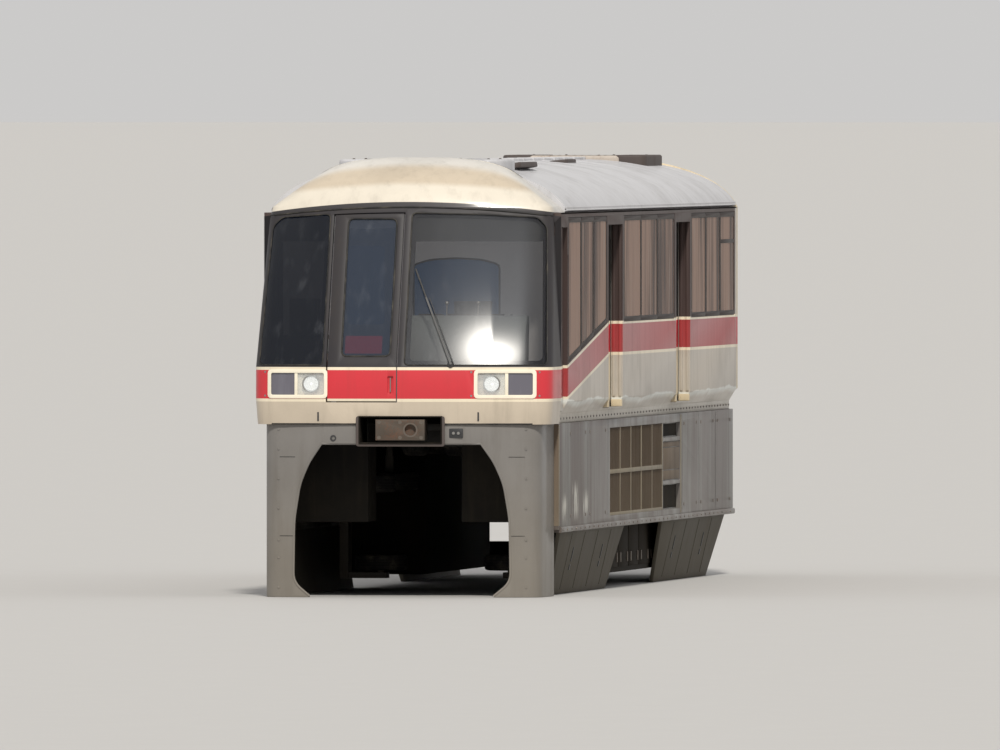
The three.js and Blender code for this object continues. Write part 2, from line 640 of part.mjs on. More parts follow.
function hatches(skirt) {
  const { bottom, top } = LOUVRE;
  const { outer } = SKIRT;
  const footTop = bottom + HATCH.footHeight;
  const headBottom = top - HATCH.headHeight;
  const recesses = [
    { depth: HATCH.deep, low: bottom, high: footTop },
    { depth: HATCH.shallow, low: footTop + HATCH.bar, high: headBottom - HATCH.bar },
    { depth: HATCH.deep, low: headBottom, high: top },
  ];
  return recesses.reduce((all, { depth, low, high }) => all.subtract(
    block(outer - depth, outer + 10, HATCH.front, HATCH.rear, low, high)), skirt);
}

// A slanted panel below the ledge, cut back at each end.
function lowPanel({ front, rear, frontCut, rearCut }) {
  const { outer, lowInset, lowThick } = SKIRT;
  const [foot, head] = [SKIRT_BOTTOM, LEDGE_Z + 1];
  const outline = [[front + frontCut, foot], [rear - rearCut, foot], [rear, head], [front, head]];
  const section = [
    [outer - lowInset - lowThick, foot], [outer - lowInset, foot], [outer, head], [outer - lowThick, head],
  ];
  return alongY(section, front, rear).intersect(alongX(outline, outer - 400, outer + 10));
}

// Side skirt: upper panel, ledge, louvres, hatch column and slanted lower panels.
function sideSkirt() {
  const { outer, thick, front, rear } = SKIRT;
  const panel = block(outer - thick, outer, front, rear, LEDGE_Z, SILL_Z - FIT);
  const ledge = block(outer - thick, outer + LEDGE.proud, front + LEDGE.start, rear,
    LEDGE_Z - LEDGE.half, LEDGE_Z + LEDGE.half);
  return LOW_PANELS.map(lowPanel).reduce((all, low) => all.add(low), hatches(louvres(panel.add(ledge))));
}

// Desk, seat and partition behind the front glass.
function cabDesk() {
  const foot = FLOOR_Z + FIT;
  const section = [
    [-7860, foot], [-7560, foot], [-7520, 1180], [-7470, 1370], [-7540, DESK.top], [-7640, DESK.top],
    [-7740, 1370], [-7860, 1100],
  ];
  const hood = alongX(section, DESK.left, DESK.right);
  const { left, right, front, rear, top, headTop } = LOCKER;
  const locker = block(left, right, front, rear, foot, top)
    .add(block(left + 80, right - 110, rear - 160, rear, top - 1, headTop));
  const plinth = block(left, DESK.right, -7700, -7600, foot, FLOOR_Z + 60);
  return hood.add(locker).add(plinth);
}

function cabSeat() {
  const foot = FLOOR_Z + FIT;
  const { x, y, cushionHalf, baseHalf, backHalf } = CAB_SEAT;
  const pedestal = disc(60, x, y, foot, 900, 12)
    .add(block(x - baseHalf, x + baseHalf, y - 190, y + 190, foot, FLOOR_Z + 40));
  const cushion = block(x - cushionHalf, x + cushionHalf, y - 230, y + 210, 899, 1000);
  const back = alongX([[-6850, 950], [-6760, 950], [-6680, 1620], [-6750, 1620]], x - backHalf, x + backHalf);
  return pedestal.add(cushion).add(back);
}

function cabPartition() {
  const { front, rear, doorLeft, doorRight, doorHead, window } = PARTITION;
  const [half, foot, shoulder] = [WALL_INNER - FIT, FLOOR_Z + FIT, EAVE_Z - 20];
  const arch = roofOutline(WALL_INNER - 12, CROWN_Z - ROOF_THICK - 8);
  const outline = [[-half, foot], [half, foot], [half, shoulder], ...arch, [-half, shoulder]];
  return alongY(outline, front, rear)
    .subtract(alongY(window, front - 60, rear + 100))
    .subtract(block(doorLeft, doorRight, front - 60, rear + 100, FLOOR_Z - 10, doorHead));
}

// The partition door is built about its hinge line at its left edge.
function partitionDoor() {
  const width = PARTITION.doorRight - PARTITION.doorLeft - 2 * CREW_SEAM;
  const panel = glazed(block(0, width, -34, 0, FLOOR_Z + 6, PARTITION.doorHead - CREW_SEAM),
    ['y', -34, 0], [110, width - 110, 1350, 2150]);
  const knuckles = [800, 2000].map((z) => disc(CREW_SEAM - FIT, 0, 0, z - 60, z + 60, 10));
  return knuckles.reduce((all, knuckle) => all.add(knuckle), panel);
}

// A coupler, built about its pivot and pointing to -Y.
function coupler() {
  const { headHalf, headLength, headHeight, shankHalf } = COUPLER;
  const reach = COUPLER_REACH - COUPLER.pivot;
  const head = block(-headHalf, headHalf, -reach, headLength - reach, -headHeight, headHeight)
    .subtract(disc(60, 0, 0, -50, 50, 16).rotate([90, 0, 0]).translate([105, -reach, 0]));
  const shank = block(-shankHalf, shankHalf, headLength - 1 - reach, 0, -shankHalf, shankHalf - 12);
  const boss = disc(90, 0, 0, -60, 55 - FIT, 16);
  const lug = disc(55, 0, 0, -20, 20, 16).rotate([90, 0, 0]).translate([-110, -reach + 18, 0]);
  return head.add(shank).add(boss).add(lug);
}

// Bogie frame, built about its centre.
function bogieFrame() {
  const half = AXLE_SPACING / 2;
  let frame = onBothSides(block(PEDESTAL_INNER + 20, 560, -1300, 1300, 100, 290));
  frame = frame.add(block(-1080, 1080, -180, 180, 110, 300));
  [-1, 1].forEach((end) => {
    const cross = [end * 1240, end * 1300].sort((a, b) => a - b);
    frame = frame.add(block(-560, 560, cross[0], cross[1], 100, 290));
    frame = frame.add(onBothSides(block(PEDESTAL_INNER, 450, end * half - 90, end * half + 90, 200, 560)));
    const arm = [end * (GUIDE.y - 80), end * (GUIDE.y + 80)].sort((a, b) => a - b);
    frame = frame.add(onBothSides(block(559, BEAM_HALF + GUIDE.radius + 80, arm[0], arm[1], 100, 220)));
  });
  const leg = block(990, 1080, -150, 150, -1260, 120);
  const shelf = STABLE.z - STABLE.half - 20 - FIT;
  const foot = block(BEAM_HALF + STABLE.radius - 70, 1000, -120, 120, -1260, shelf);
  const springs = disc(210, 830, 0, 299, SILL_Z - FIT, 18);
  frame = frame.add(onBothSides(leg.add(foot).add(springs)));
  return frame.add(disc(200, 0, 0, 299, SILL_Z - FIT, 18));
}

// Running wheelset: axle and two tyres as one turned shape about X.
function wheelset() {
  const end = PEDESTAL_INNER - FIT;
  const outer = RUN_CENTRE + RUN_WIDTH / 2;
  const inner = RUN_CENTRE - RUN_WIDTH / 2;
  const side = [[0, end], [60, end], [60, outer - 35], [290, outer - 35], [290, outer], [455, outer],
    [RUN_RADIUS, outer - 30], [RUN_RADIUS, inner + 30], [455, inner], [150, inner]];
  const profile = [...side.map(([r, x]) => [r, -x]), ...[...side].reverse()];
  return turned(profile, WHEEL_SEGMENTS).rotate([0, 90, 0]);
}

// Side wheel about Z: its tyre, hub and the shaft on one side.
function sideWheel({ radius, half }, shaft) {
  const profile = [[0, -half], [radius - 15, -half], [radius, 25 - half], [radius, half - 25],
    [radius - 15, half], [45, half], [45, half + shaft], [0, half + shaft]];
  return turned(profile, SIDE_WHEEL_SEGMENTS);
}

// Scene graph.
const group = new THREE.Group();

function finish(colour, roughness, metalness) {
  return new THREE.MeshStandardMaterial({ color: COLOURS[colour], roughness, metalness });
}

function addPiece(parent, name, solid, material, position = [0, 0, 0], turn = 0) {
  const mesh = new THREE.Mesh(toGeometry(solid), material);
  mesh.name = name;
  mesh.position.set(...position);
  mesh.rotation.z = turn;
  parent.add(mesh);
  return mesh;
}

const paintCream = finish('cream', 0.45, 0.1);
const paintGrey = finish('grey', 0.5, 0.1);
const darkGlass = finish('glass', 0.1, 0.2);

addPiece(group, 'underframe', underframe(), finish('equipment', 0.7, 0.4));
addPiece(group, 'roof_shell', roofShell(), finish('roof', 0.5, 0.2));
addPiece(group, 'roof_equipment', roofEquipment(), finish('equipment', 0.8, 0.3));
addPiece(group, 'rear_end_wall', rearEndWall(), paintCream);
addPiece(group, 'end_door', endDoor(), paintGrey);
addPiece(group, 'cab_nose', cabNose(), paintCream);
addPiece(group, 'cab_dome', cabDome(), paintCream);
addPiece(group, 'cab_skirt', cabSkirt(), finish('apron', 0.55, 0.1));
addPiece(group, 'emergency_door', escapeDoor(), darkGlass);
addPiece(group, 'cab_desk', cabDesk(), finish('cab', 0.6, 0.1));
addPiece(group, 'cab_seat', cabSeat(), finish('seat', 0.9, 0));
addPiece(group, 'cab_partition', cabPartition(), paintGrey);
addPiece(group, 'partition_door', partitionDoor(), paintGrey,
  [PARTITION.doorLeft + CREW_SEAM, PARTITION.front + 37, 0]);

const wall = sideWall();
const skirt = sideSkirt();
const crew = crewDoor();
const leaf = doorLeaf();
[['right', 1], ['left', -1]].forEach(([side, sign]) => {
  const handed = (solid) => (sign > 0 ? solid : mirroredX(solid));
  addPiece(group, `side_wall_${side}`, handed(wall), paintGrey);
  addPiece(group, `skirt_${side}`, handed(skirt), finish('skirt', 0.6, 0.2));
  addPiece(group, `windscreen_${side}`, screenPane(sign), darkGlass);
  addPiece(group, `headlamp_${side}`, headlamp(sign), finish('lamp', 0.15, 0.3));
  WINDOW_BAYS.forEach((bay) => {
    addPiece(group, `window_${side}_${bay.name}`, handed(sideGlass(bay)), darkGlass);
  });
  addPiece(group, `crew_door_${side}`, handed(crew), paintCream,
    [sign * CREW_DOOR.inner, CREW_DOOR.rear - CREW_SEAM, 0]);
  const leafOffset = (DOOR_WIDTH / 2 + LEAF.overlap + LEAF.meet) / 2;
  DOOR_CENTRES.forEach((centre, index) => {
    [['front', -1], ['rear', 1]].forEach(([end, way]) => {
      addPiece(group, `door_leaf_${side}_${index + 1}_${end}`, handed(leaf), paintCream,
        [0, centre + way * leafOffset, 0]);
    });
  });
});

const housing = wheelHousing();
const frame = bogieFrame();
const axle = wheelset();
const guideShaft = 100 - FIT - GUIDE.z - GUIDE.half;
const guideWheel = sideWheel(GUIDE, guideShaft);
const stableWheel = sideWheel(STABLE, 20).rotate([180, 0, 0]);
BOGIE_CENTRES.forEach((centre, index) => {
  const number = index + 1;
  const bogie = new THREE.Group();
  bogie.position.set(0, centre, 0);
  group.add(bogie);
  addPiece(group, `wheel_housing_${number}`, housing, paintGrey, [0, centre, 0]);
  addPiece(bogie, `bogie_frame_${number}`, frame, finish('frame', 0.7, 0.5));
  [['front', -1], ['rear', 1]].forEach(([end, way]) => {
    addPiece(bogie, `wheelset_${number}_${end}`, axle, finish('tyre', 0.9, 0),
      [0, (way * AXLE_SPACING) / 2, RUN_RADIUS]);
    [['right', 1], ['left', -1]].forEach(([side, sign]) => {
      addPiece(bogie, `guide_wheel_${number}_${end}_${side}`, guideWheel, finish('tyre', 0.9, 0),
        [sign * (BEAM_HALF + GUIDE.radius), way * GUIDE.y, GUIDE.z]);
    });
  });
  [['right', 1], ['left', -1]].forEach(([side, sign]) => {
    addPiece(bogie, `stabilising_wheel_${number}_${side}`, stableWheel, finish('tyre', 0.9, 0),
      [sign * (BEAM_HALF + STABLE.radius), 0, STABLE.z]);
  });
});

const castSteel = finish('steel', 0.6, 0.6);
addPiece(group, 'coupler_front', coupler(), castSteel, [0, -COUPLER.pivot, COUPLER.z]);
addPiece(group, 'coupler_rear', coupler(), castSteel, [0, COUPLER.pivot, COUPLER.z], Math.PI);

export default group;
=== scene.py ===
"""Looks of a monorail lead car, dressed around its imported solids.

Lengths are metres. X is across the car, Y runs from the nose (-Y) to the rear, Z is up, and Z is 0
at the foot of the running tyres. Every class below is one sub-assembly or one finish.
"""

import json
import logging
import math
from collections.abc import Callable, Iterable, Sequence
from dataclasses import astuple, dataclass, field, replace
from enum import Enum
from typing import Any

import bmesh
import bpy
from mathutils import Matrix, Vector

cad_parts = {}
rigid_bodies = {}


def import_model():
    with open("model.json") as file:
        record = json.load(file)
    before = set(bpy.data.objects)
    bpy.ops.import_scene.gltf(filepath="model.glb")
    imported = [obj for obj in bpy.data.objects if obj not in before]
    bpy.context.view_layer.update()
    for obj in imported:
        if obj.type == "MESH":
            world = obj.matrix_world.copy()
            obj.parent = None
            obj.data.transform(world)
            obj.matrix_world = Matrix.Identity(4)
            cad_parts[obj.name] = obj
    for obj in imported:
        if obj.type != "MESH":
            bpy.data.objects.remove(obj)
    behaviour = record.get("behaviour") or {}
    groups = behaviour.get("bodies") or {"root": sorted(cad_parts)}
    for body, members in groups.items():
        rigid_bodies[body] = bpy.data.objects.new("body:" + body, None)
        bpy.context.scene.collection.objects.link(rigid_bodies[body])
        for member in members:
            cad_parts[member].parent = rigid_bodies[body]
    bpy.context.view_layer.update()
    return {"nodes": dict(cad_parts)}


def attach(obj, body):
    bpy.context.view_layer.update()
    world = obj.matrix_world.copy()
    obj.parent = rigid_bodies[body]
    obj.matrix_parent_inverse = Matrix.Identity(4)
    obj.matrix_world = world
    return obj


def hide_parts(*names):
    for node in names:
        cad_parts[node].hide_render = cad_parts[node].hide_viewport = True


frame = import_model()

LOG = logging.getLogger("car")
Plane = tuple[float, float]
Point = tuple[float, float, float]
Colour = tuple[int, int, int]


class Side(Enum):
    """A side of the car, with the sign of its X."""

    RIGHT = 1
    LEFT = -1

    @property
    def word(self) -> str:
        """The side's name as the nodes spell it."""
        return self.name.lower()


class Axis(Enum):
    """An axis that an outline is carried along or turned about, as its index."""

    X = 0
    Y = 1
    Z = 2


@dataclass(frozen=True)
class CarSizes:
    """Driving dimensions of the body, the same as the solids have."""

    half_width: float = 1.519
    nose: float = -8.2
    body_front: float = -7.19
    body_rear: float = 7.95
    sill: float = 0.35
    floor: float = 0.47
    eave: float = 2.49
    crown: float = 2.995
    roof_thick: float = 0.09
    skirt_foot: float = -1.4
    ledge: float = -0.73
    door_centres: Plane = (-2.63, 3.2)
    door_width: float = 1.2
    bogie_centres: Plane = (-4.5, 5.1)


CAR = CarSizes()


# Nodes and their arithmetic.


class Value:
    """A node's socket that turns Python arithmetic into Math nodes."""

    def __init__(self, sheet: "NodeSheet", socket: bpy.types.NodeSocket) -> None:
        """Keeps the sheet that new nodes go into.

        Args:
            sheet: The sheet that holds the socket's node.
            socket: The output socket.
        """
        self.sheet = sheet
        self.socket = socket

    def _math(self, operation: str, *terms: "Value | float") -> "Value":
        """Adds one Math node.

        Args:
            operation: The node's operation.
            terms: Its inputs in order.

        Returns:
            The node's result.
        """
        node = self.sheet.node("ShaderNodeMath", {"operation": operation}, dict(enumerate(terms)))
        return Value(self.sheet, node.outputs[0])

    def __add__(self, other: "Value | float") -> "Value":
        """Sum."""
        return self._math("ADD", self, other)

    __radd__ = __add__

    def __sub__(self, other: "Value | float") -> "Value":
        """Difference."""
        return self._math("SUBTRACT", self, other)

    def __rsub__(self, other: "Value | float") -> "Value":
        """Difference from a number."""
        return self._math("SUBTRACT", other, self)

    def __mul__(self, other: "Value | float") -> "Value":
        """Product."""
        return self._math("MULTIPLY", self, other)

    __rmul__ = __mul__

    def __truediv__(self, other: "Value | float") -> "Value":
        """Quotient."""
        return self._math("DIVIDE", self, other)

    def __abs__(self) -> "Value":
        """Size without sign."""
        return self._math("ABSOLUTE", self)

    def minimum(self, other: "Value | float") -> "Value":
        """The smaller of two."""
        return self._math("MINIMUM", self, other)

    def maximum(self, other: "Value | float") -> "Value":
        """The larger of two."""
        return self._math("MAXIMUM", self, other)

    def sine(self) -> "Value":
        """Sine of an angle in radians."""
        return self._math("SINE", self)

    def ramp(self, low: float, high: float) -> "Value":
        """A smooth step.

        Args:
            low: Where the step gives 0.
            high: Where it gives 1; it may be less than low.

        Returns:
            The step's value.
        """
        settings = {"interpolation_type": "SMOOTHSTEP"}
        inputs = {"Value": self, "From Min": low, "From Max": high}
        return Value(self.sheet, self.sheet.node("ShaderNodeMapRange", settings, inputs).outputs[0])

    def within(self, low: float, high: float, soft: float = 0.002) -> "Value":
        """A mask of a stretch.

        Args:
            low: Where the stretch begins.
            high: Where it ends.
            soft: Width of each soft edge.

        Returns:
            1 inside and 0 outside.
        """
        return self.ramp(low - soft, low + soft) * self.ramp(high + soft, high - soft)


class NodeSheet:
    """A node tree and the one method that adds nodes to it."""

    def __init__(self, tree: bpy.types.NodeTree) -> None:
        """Keeps the tree.

        Args:
            tree: The material's or the modifier's tree.
        """
        self.tree = tree

    def node(self, kind: str, settings: dict[str, Any] | None = None,
             inputs: dict[int | str, Any] | None = None) -> bpy.types.Node:
        """Adds a node.

        Args:
            kind: The node's type.
            settings: Its properties, set before its sockets.
            inputs: A value, socket or Value for each socket, by name or index.

        Returns:
            The node.
        """
        made = self.tree.nodes.new(kind)
        for name, value in (settings or {}).items():
            setattr(made, name, value)
        for key, value in (inputs or {}).items():
            if isinstance(value, Value):
                value = value.socket
            if isinstance(value, bpy.types.NodeSocket):
                self.tree.links.new(value, made.inputs[key])
            else:
                made.inputs[key].default_value = value
        return made


def linear(colour: Colour, scale: float = 1.0) -> tuple[float, float, float, float]:
    """Screen colour to the renderer's linear colour.

    Args:
        colour: Red, green and blue from 0 to 255.
        scale: A factor on the linear result.

    Returns:
        Linear red, green, blue, and 1.
    """
    parts = [c / 255 for c in colour]
    lit = [c / 12.92 if c <= 0.04045 else ((c + 0.055) / 1.055) ** 2.4 for c in parts]
    return (*[scale * c for c in lit], 1.0)


class MaterialSheet(NodeSheet):
    """A material's nodes, ending in one Principled shader."""

    def __init__(self, name: str) -> None:
        """Makes an empty material.

        Args:
            name: The material's name.
        """
        self.material = bpy.data.materials.new(name)
        self.material.use_nodes = True
        super().__init__(self.material.node_tree)
        self.tree.nodes.clear()
        self.output = self.node("ShaderNodeOutputMaterial")
        self.place = self.node("ShaderNodeTexCoord").outputs["Object"]
        parts = self.node("ShaderNodeSeparateXYZ", None, {0: self.place})
        self.x, self.y, self.z = (Value(self, parts.outputs[i]) for i in range(3))

    def noise(self, scale: float, stretch: Point = (1, 1, 1), detail: float = 3.0,
              rough: float = 0.55) -> Value:
        """Noise on the object's own coordinates.

        Args:
            scale: Cells a metre.
            stretch: A factor on the coordinates along each axis.
            detail: Octaves.
            rough: How strong the finer octaves are.

        Returns:
            The noise, about 0.5 in the mean.
        """
        spot = self.node("ShaderNodeMapping", None, {"Vector": self.place, "Scale": stretch})
        inputs = {"Vector": spot.outputs[0], "Scale": scale, "Detail": detail, "Roughness": rough}
        return Value(self, self.node("ShaderNodeTexNoise", None, inputs).outputs["Fac"])

    def mix(self, factor: "Value | float", first: Any, second: Any) -> bpy.types.NodeSocket:
        """Mixes two colours.

        Args:
            factor: 0 gives the first, 1 the second.
            first: A colour or its socket.
            second: The other colour.

        Returns:
            The mixed colour's socket.
        """
        settings = {"data_type": "RGBA", "clamp_factor": True}
        node = self.node("ShaderNodeMix", settings, {0: factor, 6: first, 7: second})
        return node.outputs[2]

    def bump(self, height: Value, distance: float, strength: float = 1.0) -> bpy.types.NodeSocket:
        """Turns a height into a normal.

        Args:
            height: The relief from 0 to 1.
            distance: How high 1 is.
            strength: How much of it shows.

        Returns:
            The normal's socket.
        """
        inputs = {"Strength": strength, "Distance": distance, "Height": height}
        return self.node("ShaderNodeBump", None, inputs).outputs["Normal"]

    def shade(self, inputs: dict[int | str, Any]) -> bpy.types.Material:
        """Ends the material in a Principled shader.

        Args:
            inputs: The shader's sockets.

        Returns:
            The material.
        """
        shader = self.node("ShaderNodeBsdfPrincipled", None, inputs)
        self.tree.links.new(shader.outputs[0], self.output.inputs["Surface"])
        return self.material


# Finishes.

GRIME = (78, 70, 58)
RUST = (112, 66, 38)
DUST = (150, 140, 122)
HAZE = (168, 172, 180)


@dataclass(frozen=True)
class Finish:
    """A finish and the record's material slot that it stands for."""

    name: str
    slot: str

    def build(self) -> bpy.types.Material:
        """Makes the material; each finish has its own way."""
        raise NotImplementedError

    def material(self) -> bpy.types.Material:
        """The material, made once."""
        return bpy.data.materials.get(self.name) or self.build()


@dataclass(frozen=True)
class Paint(Finish):
    """Sprayed paint with streaks of dirt, dust from below, fine orange peel and some rust."""

    colour: Colour = (200, 192, 178)
    rough: float = 0.42
    grime: float = 0.35
    streaks: float = 0.4
    rust: float = 0.0
    coat: float = 0.25
    dust_top: float = 0.3
    dust_foot: float = -1.4
    dust: float = 0.35
    gloss: float = 0.25

    def base(self, sheet: MaterialSheet) -> Any:
        """The clean colour.

        Args:
            sheet: The material's sheet; not used here.

        Returns:
            A colour or a colour socket.
        """
        return linear(self.colour)

    def shine(self, sheet: MaterialSheet) -> "Value | float":
        """Roughness of the clean paint."""
        return self.rough

    def lacquer(self, sheet: MaterialSheet) -> "Value | float":
        """Weight of the clear coat."""
        return self.coat

    def build(self) -> bpy.types.Material:
        """Makes the material.

        Returns:
            The material.
        """
        sheet = MaterialSheet(self.name)
        cloud = sheet.noise(1.1, detail=5.0, rough=0.6)
        run = sheet.noise(5.0, (1.6, 1.6, 0.16), detail=5.0, rough=0.65)
        speck = sheet.noise(46.0, detail=4.0, rough=0.7)
        dirt = (run.ramp(0.46, 0.78) * self.streaks + cloud.ramp(0.42, 0.8) * self.grime).minimum(1.0)
        foot = sheet.z.ramp(self.dust_top, self.dust_foot) * self.dust * (0.55 + 0.9 * speck)
        colour = sheet.mix(dirt * 0.62, self.base(sheet), linear(GRIME))
        colour = sheet.mix(foot.minimum(0.9), colour, linear(DUST))
        tone = cloud * 0.12 + speck * 0.06
        colour = sheet.mix(tone, colour, linear((40, 38, 36)))
        if self.rust:
            spots = (speck * 0.5 + run * 0.5).ramp(0.66 - 0.16 * self.rust, 0.78) * self.rust
            colour = sheet.mix(spots, colour, linear(RUST))
        peel = sheet.noise(420.0, detail=1.0)
        wave = sheet.noise(2.2, detail=1.0)
        relief = peel * 0.10 + wave * 0.9 + speck * dirt * 0.3
        return sheet.shade({
            "Base Color": colour, "Metallic": 0.0,
            "Roughness": (dirt * 0.22 + foot * 0.25 + speck * 0.06 + self.shine(sheet)).minimum(1.0),
            "Coat Weight": self.lacquer(sheet), "Coat Roughness": 0.12, "Specular IOR Level": self.gloss,
            "Normal": sheet.bump(relief, 0.0035, 0.35)})


@dataclass(frozen=True)
class Livery(Paint):
    """Body paint with the red band, its cream lines and the black of the window ribbon.

    The band lies low round the cab and rises along the first bay.
    """

    red: Colour = (203, 44, 56)
    line: Colour = (240, 228, 204)
    black: Colour = (24, 25, 30)
    band_foot: float = 0.61
    band_top: float = 0.90
    line_width: float = 0.03
    rise: float = 0.425
    rise_start: float = -6.73
    rise_end: float = -3.20
    black_rear: float = 7.80
    black_top: float = 2.47
    tide: float = 0.0

    def _ribbon(self, sheet: MaterialSheet, height: Value) -> Value:
        """Mask of the black above the band.

        Args:
            sheet: The material's sheet.
            height: Height with the band's rise taken off.

        Returns:
            1 where the black is.
        """
        edge = self.band_top + self.line_width
        above = height.ramp(edge - 0.001, edge + 0.001)
        ahead = sheet.y.ramp(self.black_rear + 0.002, self.black_rear - 0.002)
        return above * ahead * sheet.z.ramp(self.black_top + 0.001, self.black_top - 0.001)

    def _height(self, sheet: MaterialSheet) -> Value:
        """Height with the band's rise taken off."""
        along = (sheet.y - self.rise_start) / (self.rise_end - self.rise_start)
        return sheet.z - along.maximum(0.0).minimum(1.0) * self.rise

    def base(self, sheet: MaterialSheet) -> Any:
        """The banded colour.

        Args:
            sheet: The material's sheet.

        Returns:
            A colour socket.
        """
        height = self._height(sheet)
        edge = self.line_width
        lines = height.within(self.band_foot - edge, self.band_top + edge, 0.001)
        colour = sheet.mix(lines, linear(self.colour), linear(self.line))
        colour = sheet.mix(height.within(self.band_foot, self.band_top, 0.001), colour, linear(self.red))
        colour = sheet.mix(self._ribbon(sheet, height), colour, linear(self.black))
        # A wavy pale line along the sill: a painted reflection.
        if self.tide:
            wavy = sheet.z + sheet.noise(0.9, (1, 1, 0), detail=4.0) * 0.16
            mark = wavy.ramp(0.67, 0.65) * wavy.ramp(0.58, 0.64) + wavy.ramp(0.62, 0.5) * 0.2
            colour = sheet.mix(mark * self.tide, colour, linear((236, 240, 236)))
        return colour

    def shine(self, sheet: MaterialSheet) -> "Value | float":
        """Roughness: the black is satin."""
        return self.rough + 0.08 * self._ribbon(sheet, self._height(sheet))

    def lacquer(self, sheet: MaterialSheet) -> "Value | float":
        """Weight of the clear coat, which the black lacks."""
        return self.coat - self.coat * self._ribbon(sheet, self._height(sheet))


@dataclass(frozen=True)
class SkirtPaint(Paint):
    """Skirt paint with tall stains and three white scuffs behind the front edge."""

    stain: Colour = (128, 128, 126)
    scuffed: Colour = (206, 204, 196)
    # Middle along, foot and head of each scuff.
    scuffs: tuple[Point, ...] = ((-6.55, -0.62, -0.42), (-5.7, -0.6, -0.3), (-4.85, -0.58, -0.4))
    outer_face: Plane = (1.462, 1.47)

    def base(self, sheet: MaterialSheet) -> Any:
        """The stained colour.

        Args:
            sheet: The material's sheet.

        Returns:
            A colour socket.
        """
        tall = sheet.noise(1.1, (1, 1, 0.12), detail=4.0, rough=0.6)
        colour = sheet.mix(tall.ramp(0.4, 0.66), linear(self.colour), linear(self.stain))
        smear = sheet.noise(8.0, (1, 1, 0.3), detail=2.0) * 0.3 - 0.15
        marks = 0.0
        for y, foot, head in self.scuffs:
            across = (sheet.y + smear).within(y - 0.2, y + 0.2, 0.12)
            marks = across * sheet.z.within(foot, head, 0.08) + marks
        worn = sheet.noise(9.0, (1, 1, 0.22), detail=3.0, rough=0.7).ramp(0.42, 0.56)
        outside = abs(sheet.x).ramp(*self.outer_face)
        return sheet.mix(marks * worn * outside * 0.95, colour, linear(self.scuffed))


@dataclass(frozen=True)
class BrowPaint(Paint):
    """Brow paint: bright above the glass, a darker tan on top as painted shade, pale along the rear edge."""

    weathered: Colour = (201, 186, 165)
    pale: Colour = (222, 220, 216)
    black: Colour = (54, 52, 56)
    edge: float = 2.6
    crease: float = 2.76
    drop: float = 0.05

    def base(self, sheet: MaterialSheet) -> Any:
        """The colour, with painted shade on top.

        Args:
            sheet: The material's sheet.

        Returns:
            A colour socket.
        """
        fall = sheet.z + sheet.x * sheet.x * self.drop
        # The top turns a darker tan: painted shade of the upper dome, which faces the sun less than the band
        # above the glass.
        top = (fall + sheet.noise(1.4, detail=3.0) * 0.03).ramp(self.crease, self.crease + 0.07)
        colour = sheet.mix(top * 0.85, linear(self.colour), linear(self.weathered))
        rear = (sheet.y + sheet.x * sheet.x * 0.05).ramp(-7.12, -6.95)
        colour = sheet.mix(rear * 0.85, colour, linear(self.pale))
        return sheet.mix(fall.ramp(self.edge + 0.001, self.edge - 0.001), colour, linear(self.black))


@dataclass(frozen=True)
class TintedGlass(Finish):
    """Dark glass that lets a little of the inside show, with a film of dust."""

    tint: Colour = (20, 22, 26)
    alpha: float = 0.72
    rough: float = 0.05
    film: float = 0.25
    level: float = 0.5
    coat: float = 0.0
    glow: float = 0.0

    def colour(self, sheet: MaterialSheet) -> Any:
        """The clean glass's colour.

        Args:
            sheet: The material's sheet; not used here.

        Returns:
            A colour or a colour socket.
        """
        return linear(self.tint)

    def veil(self, sheet: MaterialSheet) -> "Value | float":
        """How milky the clean glass is, from 0 to 1."""
        return 0.0

    def relief(self, sheet: MaterialSheet) -> Value:
        """The glass's slow waves, in metres."""
        return sheet.noise(1.3, detail=0.0) * 0.0015

    def build(self) -> bpy.types.Material:
        """Makes the material.

        Returns:
            The material.
        """
        sheet = MaterialSheet(self.name)
        run = sheet.noise(7.0, (1.5, 1.5, 0.2), detail=4.0)
        cloud = sheet.noise(1.7, detail=3.0)
        haze = run.ramp(0.5, 0.85) * cloud.ramp(0.35, 0.7) * self.film + self.veil(sheet)
        return sheet.shade({
            "Base Color": sheet.mix(haze, self.colour(sheet), linear(HAZE)),
            "Roughness": haze * 0.3 + self.rough, "IOR": 1.5, "Specular IOR Level": self.level,
            "Alpha": (haze * 0.5 + self.alpha).minimum(1.0), "Coat Weight": self.coat,
            "Coat Roughness": 0.05, "Emission Color": linear(self.tint), "Emission Strength": self.glow,
            "Normal": sheet.bump(self.relief(sheet), 1.0)})


@dataclass(frozen=True)
class BowedGlass(TintedGlass):
    """Front glass: bowed a little up and down too, and milky toward one corner."""

    bow: float = 0.1
    bow_height: float = 1.12
    milk: float = 0.0
    milk_from: Plane = (-0.1, 0.9)
    milk_until: Plane = (1.14, 1.34)

    def veil(self, sheet: MaterialSheet) -> "Value | float":
        """How milky the clean glass is: more so on the low part and towards one side.

        Args:
            sheet: The material's sheet.

        Returns:
            A share from 0 to 1.
        """
        across = sheet.x.ramp(*self.milk_from) * 0.6 + 0.4
        low = sheet.z.ramp(2.5, 0.95) * 0.55 + 0.45
        return across * low * sheet.x.ramp(self.milk_until[1], self.milk_until[0]) * self.milk

    def relief(self, sheet: MaterialSheet) -> Value:
        """The glass's bow and slow waves, in metres."""
        rise = sheet.z - self.bow_height
        return sheet.noise(1.3, detail=0.0) * 0.0015 - rise * rise * self.bow


